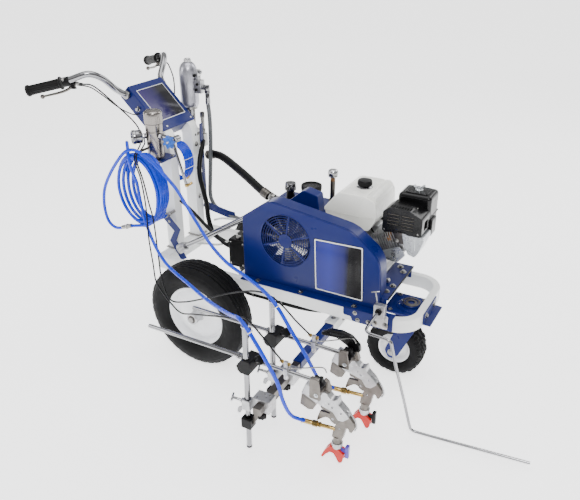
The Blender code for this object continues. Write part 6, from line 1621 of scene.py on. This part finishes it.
def make_hank_ties():
    """Straps that hold the hank, the small loops hung behind the near upright, and the ferrules."""
    coil = []
    for k in range(94):
        turn = k / 24 - 0.1
        angle = 2 * math.pi * (0.62 - turn)
        coil.append(Vector((-0.24 + 0.046 * math.cos(angle), -0.036 + 0.0118 * turn,
                0.621 + 0.066 * math.sin(angle))))
    ends = [rod(coil[0], coil[0] + (coil[0] - coil[1]).normalized() * 0.02, 0.0064, 24, 0.0008),
            rod(coil[-1], coil[-1] + (coil[-1] - coil[-2]).normalized() * 0.02, 0.0064, 24, 0.0008)]
    piece("hung_loops", pipe(coil, HOSE_R, 14, 0.006), "hose")
    piece("loop_ferrules", merge(*ends), "brass")
    ties = [pipe([(-0.186, -0.012, z), (-0.187, 0.014, z), (-0.194, 0.018, z), (-0.2015, 0.012, z),
            (-0.203, -0.012, z), (-0.2015, -0.036, z), (-0.194, -0.0425, z), (-0.187, -0.038, z),
            (-0.186, -0.0125, z)], 0.001, 8, 0.003) for z in (0.64, 0.606)]
    piece("loop_ties", merge(*ties), "clear")
    hook = merge(pipe([(-0.2585, -0.0865, 0.7), (-0.262, -0.15, 0.702), (-0.266, -0.215, 0.7),
            (-0.268, -0.24, 0.706), (-0.269, -0.246, 0.7175)], 0.0042, 16, 0.005))
    piece("hank_hook", hook, "dark_steel")
    first, second = (Vector(p) for p in LOOSE_TURN[:2])
    along = (second - first).normalized()
    joint = merge(rod(first - along * 0.012, first + along * 0.034, 0.0072, 28, 0.001),
            hexagon(first + along * 0.006, first + along * 0.016, 0.0165))
    piece("hank_union", joint, "steel")
    for word in ("near", "far"):
        arm = ARMS[word]
        mouth, inward = inlet_line(arm)
        ferrule = merge(rod(mouth - inward * 0.034, mouth - inward * 0.001, 0.0072, 28, 0.001),
                ring_lathe([(0.0055, -0.0335), (0.0078, -0.0335), (0.0078, -0.0305), (0.0055, -0.0305)],
                mouth, inward, 28))
        piece(f"{word}_hose_ferrule", ferrule, "brass", f"{word}_carriage")
        union = merge(hexagon(mouth - inward * 0.0008, mouth + inward * 0.015, 0.0165),
                rod(mouth + inward * 0.014, mouth + inward * 0.064, 0.0056, 24, 0.0006),
                hexagon(mouth + inward * 0.017, mouth + inward * 0.024, 0.014))
        piece(f"{word}_hose_union", union, "brass", f"{word}_carriage")
        x, y = arm["post"]
        tie = [ring_lathe([(0.0098, -0.0014), (0.0108, -0.0014), (0.0108, 0.0014), (0.0098, 0.0014)],
                (x, y, 0.44), (0.05, 0, 1), 32), ring_lathe([(0.0085, -0.0014), (0.0095, -0.0014),
                (0.0095, 0.0014), (0.0085, 0.0014)],
                (x + 0.0255, y - 0.0165 - (0.0 if word == "near" else 0.004), 0.4395), (0.6, 0, -0.8), 32)]
        piece(f"{word}_post_tie", merge(*tie), "clear")


# ---------------------------------------------------------------- spray guns
def make_cross_arm():
    x, z = (0.428, 0.183)
    outer = boolean(box((x - 0.0145, x + 0.0145), (-0.365, 0.06), (z - 0.0145, z + 0.0145)),
            cut=[box((x - 0.0121, x + 0.0121), (-0.375, -0.34), (z - 0.0121, z + 0.0121))])
    piece("arm_tube", outer, "blue", "machine", ["gun_cross_arm"], bevel=0.002, segments=3)
    inner = box((x - 0.012, x + 0.012), (-0.606, -0.345), (z - 0.012, z + 0.012))
    piece("arm_slide", inner, "dark_steel", bevel=0.0016, segments=3)
    for word, arm in ARMS.items():
        px, py = arm["post"]
        lug = boolean(box((px - 0.016, px + 0.016), (py - 0.016, py + 0.016), (0.102, 0.136)),
                cut=[rod((px, py, 0.09), (px, py, 0.15), 0.0084, 32)])
        piece(f"{word}_post_lug", lug, "plastic", bevel=0.003, segments=3)
        band = merge(slab([(px + 0.01, 0.112), (px + 0.016, 0.112), (x + 0.006, 0.166), (x + 0.006, 0.179),
                (x - 0.004, 0.179), (px + 0.01, 0.128)], py - 0.003, py + 0.012))
        piece(f"{word}_lug_strap", band, "dark_steel", bevel=0.001)
        channel = boolean(box((px + 0.012, x + 0.026), (py + 0.004, py + 0.044), (0.163, 0.205)),
                cut=[box((px + 0.0, x + 0.0235), (py + 0.0065, py + 0.0415), (0.155, 0.2025))])
        piece(f"{word}_channel", channel, "alloy", bevel=0.0016)
        collar = boolean(box((px - 0.013, px + 0.013), (py - 0.013, py + 0.013), (0.166, 0.2)),
                cut=[rod((px, py, 0.15), (px, py, 0.21), 0.0086, 32)])
        piece(f"{word}_post_collar", collar, "alloy", bevel=0.002, segments=3)
        tee = merge(rod((px - 0.012, py, 0.187), (px - 0.046, py - 0.01, 0.195), 0.004, 20, 0.0006),
                rod((px - 0.04, py - 0.022, 0.194), (px - 0.05, py + 0.006, 0.196), 0.003, 18, 0.0006),
                hexagon((px - 0.012, py, 0.187), (px - 0.02, py - 0.002, 0.189), 0.013))
        piece(f"{word}_tee_screw", tee, "chrome")
        fin = slab(fillet([(-0.004, 0.0), (-0.018, -0.01), (-0.022, -0.028), (-0.012, -0.03),
                (-0.004, -0.014)], [0.002, 0.006, 0.004, 0.004, 0.003], 4), -0.0016, 0.0016)
        moved(fin, Matrix.Translation((px - 0.012, py - 0.004, 0.172)))
        piece(f"{word}_wing_lever", fin, "chrome", bevel=0.0008)
        knob_at = Vector((px + 0.042, py + 0.006, 0.16))
        star(f"{word}_lower_knob", knob_at, (0.05, -0.2, -1), 0.0135, 0.016, "machine")
        dots = [socket_screw((px + dx, py + dy, 0.205), (0, 0, 1), 0.0028) for dx,
                dy in ((0.024, 0.012), (0.052, 0.034))]
        piece(f"{word}_channel_screws", merge(*dots), "steel")


def star(name, at, along, radius, thick, body, lobes=6, stem=0.0):
    """Black clamping knob with rounded lobes and a threaded stem behind it."""
    outline = []
    for k in range(lobes * 12):
        angle = 2 * math.pi * k / (lobes * 12)
        reach = radius * (0.89 + 0.11 * math.cos(lobes * angle))
        outline.append((reach * math.cos(angle), reach * math.sin(angle)))
    grip = moved(slab(outline, 0, thick, "XY"), pointing(at, along))
    boss = lathe([(0, -thick * 0.3), (radius * 0.45, -thick * 0.3), (radius * 0.55, 0.0005), (0, 0.0005)],
            at, along, 28)
    piece(name, merge(grip, boss), "plastic", body, bevel=min(0.003, thick * 0.22), segments=3)
    if stem > 0:
        out = Vector(along).normalized()
        piece(f"{name}_stem", rod(Vector(at) - out * stem, Vector(at) - out * thick * 0.25, 0.0032, 18,
                0.0004), "chrome", body)


def make_gun_rods():
    for word, arm in ARMS.items():
        x, y = arm["post"]
        rod_y = arm["rod_y"]
        body = f"{word}_carriage"
        piece(f"{word}_post_bar", rod((x, y, 0.03), (x, y, 0.442), 0.008, 36, 0.0008), "chrome", "machine",
                [f"{word}_gun_post"])
        cap = merge(rod((x, y, 0.441), (x, y, 0.45), 0.0092, 28, 0.0015),
                rod((x, y, 0.024), (x, y, 0.0305), 0.0084, 28, 0.001))
        piece(f"{word}_post_cap", cap, "plastic")
        end = arm["gun"][0] - 0.0693
        bar = rod((arm["rod_rear"], rod_y, ROD_HEIGHT), (end, rod_y, ROD_HEIGHT), 0.0062, 32, 0.0008)
        piece(f"{word}_rod_bar", bar, "chrome", body, [f"{word}_gun_rod"])
        shape = fillet([(x - 0.021, 0.302), (x - 0.012, 0.293), (x + 0.014, 0.293), (x + 0.021, 0.303),
                (x + 0.018, 0.336), (x - 0.008, 0.337), (x - 0.02, 0.322)], 0.005, 4)
        lo, hi = sorted((y - 0.014, rod_y + 0.012))
        clamp = boolean(slab(shape, lo, hi), cut=[rod((x, y, 0.26), (x, y, 0.36), 0.0088, 28),
                rod((x - 0.05, rod_y, ROD_HEIGHT), (x + 0.05, rod_y, ROD_HEIGHT), 0.0068, 24)])
        piece(f"{word}_cross_clamp", clamp, "plastic", body, bevel=0.0026, segments=3)
        skirt = slab(fillet([(x - 0.03, 0.312), (x - 0.02, 0.296), (x - 0.006, 0.286), (x - 0.012, 0.312)],
                0.003, 3), y - 0.01, y + 0.004)
        piece(f"{word}_clamp_tail", skirt, "plastic", body, bevel=0.002)
        star(f"{word}_clamp_knob", (x + 0.034, (y + rod_y) / 2 - 0.004, 0.337), (0.75, -0.25, 0.6), 0.015,
                0.015, body, 6, 0.022)
        rings = [ring_lathe([(0.0064, -0.004), (0.0098, -0.004), (0.0098, 0.004), (0.0064, 0.004)],
                (x - dx, rod_y, ROD_HEIGHT), (1, 0, 0), 32) for dx in ((0.03,
                0.041) if word == "near" else (0.03,))]
        piece(f"{word}_rod_rings", merge(*rings), "chrome", body, bevel=0.0008)
        make_anchor(word, arm, body)


def make_anchor(word, arm, body):
    """Block on the rod that holds the cable's end, and the bare wire on to the gun's lever."""
    ax = arm["anchor_x"]
    y = arm["rod_y"]
    hub = merge(box((ax + 0.0005, ax + 0.0135), (y - 0.008, y + 0.008), (0.3055, 0.3255)),
            rod((ax + 0.007, y, 0.29), (ax + 0.007, y, 0.306), 0.0068, 28, 0.001),
            box((ax + 0.001, ax + 0.012), (y - 0.0045, y + 0.0045), (0.325, 0.346)))
    piece(f"{word}_anchor", hub, "alloy", body, bevel=0.0016)
    barrel = merge(rod((ax - 0.012, y, 0.3435), (ax + 0.02, y, 0.3395), 0.0034, 18, 0.0006),
            hexagon((ax - 0.007, y, 0.343), (ax - 0.002, y, 0.3423), 0.0095),
            hexagon((ax + 0.0135, y, 0.3403), (ax + 0.0185, y, 0.3397), 0.0095))
    piece(f"{word}_cable_barrel", barrel, "brass", body)
    x, gy, lift = arm["gun"]
    wire = pipe([(ax + 0.018, y, 0.3397), (x - 0.139, y + 0.02, 0.312 + lift * 0.5),
            (x - 0.064, gy - 0.01, 0.334 + lift * 0.3), (x - 0.047, gy - 0.01, 0.336 + lift * 0.3),
            (x - 0.04, gy - 0.01, 0.325 + lift * 0.3)], 0.0018, 12, 0.004)
    piece(f"{word}_pull_wire", wire, "steel", body)


def make_guns():
    for word, arm in ARMS.items():
        x, y, lift = arm["gun"]
        body = f"{word}_carriage"

        def side(points, low, high, radii=0.0, steps=4):
            outline = fillet(points, radii, steps) if radii else points
            return slab([(x + a, b + lift) for a, b in outline], y + low, y + high)

        make_gun_casting(word, body, side)
        make_gun_fittings(word, arm, body, side)
        make_nozzle(word, arm, body, side)
        make_gun_mount(word, arm, body)
        make_trigger(word, arm)
        make_key(word, arm)


def make_gun_casting(word, body, side):
    """The gun's shell and head, its grip, base block and side ribs."""
    back = [(-0.093, 0.232), (-0.099, 0.272), (-0.036, 0.255), (-0.019, 0.238), (-0.006, 0.251),
            (-0.002, 0.233), (0.02, 0.213), (0.03, 0.198), (0.012, 0.18), (-0.003, 0.179), (-0.017, 0.2),
            (-0.042, 0.207), (-0.066, 0.213)]
    shell = side(back, -0.0125, 0.0125, [0.004, 0.004, 0.006, 0.01, 0.002, 0.004, 0.012, 0.006, 0.006,
            0.006, 0.008, 0.01, 0.006])
    piece(f"{word}_gun_shell", shell, "alloy", body, [f"{word}_gun"], bevel=0.004, segments=3)
    hook = [(0.01, 0.2), (0.028, 0.202), (0.043, 0.182), (0.0465, 0.166), (0.038, 0.149), (0.031, 0.15),
            (0.0285, 0.163), (0.02, 0.16), (0.0165, 0.14), (0.011, 0.112), (-0.02, 0.112), (-0.016, 0.14),
            (-0.007, 0.168)]
    head = side(hook, -0.009, 0.009, [0.004, 0.01, 0.012, 0.01, 0.003, 0.002, 0.008, 0.006, 0.006, 0.003,
            0.003, 0.006, 0.008])
    piece(f"{word}_gun_head", head, "grey_cast", body, bevel=0.0028, segments=3)
    rib = side([(-0.098, 0.243), (-0.1, 0.249), (-0.062, 0.234), (-0.06, 0.2275)], -0.015, -0.012)
    grip = side([(-0.112, 0.236), (-0.099, 0.273), (-0.062, 0.262), (-0.06, 0.222), (-0.068, 0.214)],
            -0.018, 0.018, [0.004, 0.004, 0.003, 0.003, 0.004])
    low_block = side([(-0.116, 0.196), (-0.111, 0.234), (-0.068, 0.212), (-0.076, 0.19), (-0.09, 0.1855)],
            -0.016, 0.016, [0.003, 0.003, 0.003, 0.004, 0.004])
    piece(f"{word}_gun_grip", grip, "alloy", body, bevel=0.0026, segments=3)
    piece(f"{word}_gun_base", low_block, "grey_cast", body, bevel=0.002, segments=3)
    slots = merge(rib, side([(-0.108, 0.229), (-0.1045, 0.237), (-0.066, 0.219), (-0.069, 0.2125)], -0.0188,
            0.0188))
    piece(f"{word}_gun_rib", slots, "dark_steel", body, bevel=0.001)


def make_gun_fittings(word, arm, body, side):
    """Lever guard, cheeks, catch and pins."""
    x, y, lift = arm["gun"]
    guard = pipe([(x + 0.012, y, 0.215 + lift), (x + 0.03, y, 0.206 + lift), (x + 0.044, y, 0.186 + lift),
            (x + 0.049, y, 0.168 + lift), (x + 0.044, y, 0.153 + lift)], 0.0022, 14, 0.003)
    piece(f"{word}_gun_wire", guard, "alloy", body)
    cheek = [side([(-0.026, 0.168), (-0.028, 0.202), (-0.002, 0.196), (0.004, 0.172), (-0.012, 0.16)],
            *sorted((s * 0.0105, s * 0.0055)), [0.006, 0.005, 0.005, 0.006, 0.005]) for s in (-1, 1)]
    piece(f"{word}_gun_cheeks", merge(*cheek), "dark_steel", body, bevel=0.0012)
    upper_box = side([(-0.053, 0.1965), (-0.06, 0.207), (-0.028, 0.206), (-0.026, 0.1935)], -0.0085, 0.0085,
            [0.003, 0.003, 0.003, 0.003])
    piece(f"{word}_gun_catch", upper_box, "dark_steel", body, bevel=0.0015)
    pins = [socket_screw((x + a, y - 0.0126, b + lift), (0, -1, 0), r) for a, b,
            r in ((-0.02, 0.216, 0.0034), (-0.03, 0.225, 0.0028), (0.006, 0.206, 0.003))]
    pins += [rod((x - 0.018, y - 0.0112, 0.177 + lift), (x - 0.018, y - 0.0054, 0.177 + lift), 0.0042, 20,
            0.0008)]
    pins += [socket_screw((x + 0.002, y - 0.009, 0.15 + lift), (0, -1, 0), 0.003)]
    piece(f"{word}_gun_pins", merge(*pins), "chrome", body)


def make_nozzle(word, arm, body, side):
    x, y, lift = arm["gun"]
    nx = x - 0.006
    collar = lathe([(0, 0.094), (0.0135, 0.094), (0.0125, 0.098), (0.0115, 0.114), (0, 0.114)],
            (nx, y, lift), (0, 0, 1), 36)
    piece(f"{word}_nozzle_neck", collar, "grey_cast", body)
    knurl = ridged((nx, y), 0.016, 0.0152, 48, 2)
    nut = merge(slab(knurl, 0.08 + lift, 0.0935 + lift, "XY"), lathe([(0, 0.074), (0.0132, 0.074),
            (0.0142, 0.0765), (0.0142, 0.0802), (0, 0.0802)], (nx, y, lift), (0, 0, 1), 36))
    piece(f"{word}_nozzle_nut", nut, "alloy", body, bevel=0.0005)
    shape = [(-0.024, 0.079), (-0.003, 0.079), (0.019, 0.064), (0.0155, 0.036), (0.006, 0.027),
            (-0.004, 0.045), (-0.012, 0.057), (-0.022, 0.058), (-0.035, 0.044), (-0.045, 0.028),
            (-0.05, 0.032), (-0.04, 0.056)]
    guard = boolean(side(shape, -0.0125, 0.0125, [0.005, 0.005, 0.005, 0.008, 0.005, 0.006, 0.006, 0.006,
            0.008, 0.002, 0.002, 0.008]), cut=[rod((x - 0.05, y, 0.069 + lift), (x + 0.05, y, 0.069 + lift),
            0.0062, 24), box((x - 0.06, x + 0.03), (y - 0.0072, y + 0.0072), (0.02 + lift, 0.052 + lift))])
    piece(f"{word}_tip_guard", guard, "red", body, bevel=0.0018, segments=3)
    seat = lathe([(0, 0.045), (0.0022, 0.045), (0.005, 0.052), (0.007, 0.056), (0.007, 0.075), (0, 0.075)],
            (nx + 0.004, y, lift), (0, 0, 1), 28)
    piece(f"{word}_tip_seat", seat, "dark_steel", body)


def make_gun_mount(word, arm, body):
    """Plate and knob that hang the gun from its rod."""
    x, y, lift = arm["gun"]
    rod_y = arm["rod_y"]
    lo = rod_y - 0.011
    end = x - 0.069
    plate = fillet([(x - 0.07, 0.262 + lift), (x - 0.07, 0.326), (x - 0.044, 0.326), (x - 0.04, 0.3),
            (x - 0.036, 0.262 + lift)], [0.004, 0.006, 0.006, 0.004, 0.004], 4)
    piece(f"{word}_mount_plate", slab(plate, lo, lo + 0.0045), "grey_cast", body, bevel=0.0012)
    bridge = box((x - 0.068, x - 0.045), (lo, y), (0.262 + lift, 0.272 + lift))
    piece(f"{word}_mount_bridge", bridge, "grey_cast", body, bevel=0.0016)
    back = fillet([(x - 0.062, 0.272 + lift), (x - 0.052, 0.292 + lift), (x - 0.04, 0.286 + lift),
            (x - 0.03, 0.256 + lift), (x - 0.046, 0.248 + lift)], [0.003, 0.004, 0.004, 0.004, 0.003], 3)
    piece(f"{word}_mount_fin", slab(back, y - 0.003, y + 0.012), "grey_cast", body, bevel=0.0012)
    hub = rod((end - 0.001, rod_y, ROD_HEIGHT), (x - 0.048, rod_y, ROD_HEIGHT), 0.0095, 28, 0.0012)
    piece(f"{word}_mount_hub", hub, "dark_steel", body)
    dots = [bolt((x - 0.063, y - 0.01, 0.272 + lift), (0, 0, 1), 0.008),
            bolt((x - 0.05, lo, 0.276 + lift), (0, -1, 0), 0.0065)]
    piece(f"{word}_mount_bolts", merge(*dots), "pale_zinc", body)
    star(f"{word}_mount_knob", (x - 0.058, y - 0.016, 0.2965), (0.1, -1, 0.1), 0.02, 0.0175, body, 6, 0.02)
    if word == "far":
        lever = slab(fillet([(x - 0.15, 0.33), (x - 0.12, 0.348), (x - 0.086, 0.352), (x - 0.056, 0.346),
                (x - 0.03, 0.322), (x - 0.026, 0.3), (x - 0.05, 0.296), (x - 0.072, 0.312),
                (x - 0.1, 0.326), (x - 0.146, 0.322)], [0.004, 0.012, 0.014, 0.02, 0.012, 0.006, 0.008,
                0.02, 0.02, 0.003], 6), y - 0.01, y + 0.004)
        piece("far_quick_lever", lever, "black", body, bevel=0.0038, segments=3)


def make_trigger(word, arm):
    x, y, lift = arm["gun"]
    body = f"{word}_gun_trigger"
    shape = [(-0.06, 0.184), (-0.022, 0.187), (-0.013, 0.177), (-0.02, 0.164), (-0.04, 0.171),
            (-0.053, 0.161), (-0.069, 0.146), (-0.067, 0.16)]
    outline = fillet(shape, [0.004, 0.006, 0.006, 0.006, 0.012, 0.008, 0.001, 0.006], 5)
    blade = slab([(x + a, b + lift) for a, b in outline], y - 0.0048, y + 0.0048)
    piece(f"{word}_trigger_blade", blade, "grey_cast", body, [f"{word}_trigger"], bevel=0.0018, segments=3)


def make_key(word, arm):
    x, y, lift = arm["gun"]
    z = 0.069 + lift
    body = f"{word}_nozzle_key"
    material = "violet" if word == "near" else "plastic"
    barrel = rod((x - 0.018, y, z), (x + 0.024, y, z), 0.0054, 28, 0.0008)
    shape = fillet([(y - 0.0045, z - 0.022), (y + 0.0045, z - 0.022), (y + 0.0075, z + 0.021),
            (y - 0.0075, z + 0.021)], 0.002, 3)
    wing = slab(shape, x + 0.0205, x + 0.03, "YZ")
    piece(f"{word}_key_wing", merge(barrel, wing), material, body, [f"{word}_tip_key"], bevel=0.0012,
            segments=3)


# ---------------------------------------------------------------- stage
CAMERA_SPOT = Vector((1.1583, -1.7686, 1.3749))
CAMERA_TURN = math.radians(28.23)
CAMERA_RISE = math.radians(26.81)
CAMERA_ROLL = math.radians(-0.095)
SENSOR_MM = 36.0
LENS_MM = 39.74


def make_stage():
    """A pale paper floor that curves up behind the machine, and the lamps."""
    half_width, reach, curve, flat_share, steps = (14.0, 6.0, 3.0, 0.7, 24)
    bm = bmesh.new()
    rows = []
    for k in range(steps + 1):
        t = k / steps
        if t < flat_share:
            y, z = (-reach + 2 * reach * t / flat_share, 0.0)
        else:
            angle = (t - flat_share) / (1 - flat_share) * math.pi / 2
            y, z = (reach + curve * math.sin(angle), curve - curve * math.cos(angle))
        rows.append([bm.verts.new((side * half_width, y, z)) for side in (-1, 1)])
    for low, high in zip(rows, rows[1:]):
        bm.faces.new((low[0], low[1], high[1], high[0]))
    mesh = bpy.data.meshes.new("studio_floor")
    moved(bm, Matrix.Rotation(CAMERA_TURN, 4, "Z"))
    bm.to_mesh(mesh)
    bm.free()
    mesh.shade_smooth()
    floor = bpy.data.objects.new("studio_floor", mesh)
    bpy.context.scene.collection.objects.link(floor)
    paper = finish_of("studio_paper", (0.93, 0.93, 0.93), 0.75, mottle=(1.5, 0.01),
            grain=(60.0, 0.02, 0.0005))
    shader = paper.node_tree.nodes["Principled BSDF"]
    shader.inputs["Emission Color"].default_value = (1.0, 1.0, 1.0, 1.0)
    shader.inputs["Emission Strength"].default_value = 1.7
    mesh.materials.append(paper)
    floor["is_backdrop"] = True
    make_world()
    light("key", (1.5, -2.4, 3.2), (0.0, 0.0, 0.35), 1.1, 85)
    light("fill", (-3.0, -1.9, 1.7), (0.0, 0.0, 0.4), 1.5, 32)
    light("rim", (1.4, 3.0, 2.8), (0.1, 0.0, 0.4), 2.0, 45)
    light("top", (0.0, 0.0, 4.2), (0.1, 0.0, 0.0), 3.0, 80)


def make_world():
    """A bright overcast dome with a darker band low down, so that metal has something to reflect."""
    world = bpy.data.worlds.new("studio")
    world.use_nodes = True
    nodes = world.node_tree.nodes
    links = world.node_tree.links
    coords = nodes.new("ShaderNodeTexCoord")
    split = nodes.new("ShaderNodeSeparateXYZ")
    links.new(coords.outputs["Generated"], split.inputs["Vector"])
    sky = ramp(nodes, links, split.outputs["Z"], [(0.0, (0.5, 0.5, 0.5)), (0.05, (0.4, 0.405, 0.41)),
            (0.34, (0.34, 0.345, 0.35)), (0.46, (1.0, 1.0, 1.0)), (1.0, (1.0, 1.0, 1.0))])
    background = nodes["Background"]
    links.new(sky.outputs["Color"], background.inputs["Color"])
    background.inputs["Strength"].default_value = 0.8
    bpy.context.scene.world = world


def light(name, at, target, size, power):
    lamp = bpy.data.lights.new(name, "AREA")
    lamp.energy = power
    lamp.size = size
    thing = bpy.data.objects.new(name, lamp)
    thing.location = at
    thing.rotation_euler = (Vector(target) - Vector(at)).to_track_quat("-Z", "Y").to_euler()
    bpy.context.scene.collection.objects.link(thing)


def make_camera():
    """The camera stands off the near front corner and looks down at the machine."""
    level = math.cos(CAMERA_RISE)
    back = Vector((math.sin(CAMERA_TURN) * level, -math.cos(CAMERA_TURN) * level, math.sin(CAMERA_RISE)))
    right = Vector((math.cos(CAMERA_TURN), math.sin(CAMERA_TURN), 0))
    axes = Matrix((right, back.cross(right), back)).transposed() @ Matrix.Rotation(CAMERA_ROLL, 3, "Z")
    lens = bpy.data.cameras.new("camera")
    lens.sensor_width = SENSOR_MM
    lens.lens = LENS_MM
    camera = bpy.data.objects.new("camera", lens)
    camera.matrix_world = Matrix.Translation(CAMERA_SPOT + ORIGIN) @ axes.to_4x4()
    bpy.context.scene.collection.objects.link(camera)
    bpy.context.scene.camera = camera


MATERIALS = make_materials()
make_camera()
make_hoses()
make_cables()
make_black_hoses()
make_hank_ties()
make_rear_wheels()
make_front_wheel()
make_caster()
make_chassis()
make_columns()
make_console()
make_handlebars()
make_filter()
make_pump()
make_suction_tube()
make_guard()
make_drive()
make_engine()
make_hydraulics()
make_brackets()
make_cross_arm()
make_gun_rods()
make_guns()
make_stage()
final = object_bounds()
({"cad": [[float(v) for v in corner] for corner in CAD_BOX],
        "visual": [[float(v) for v in corner] for corner in final]})
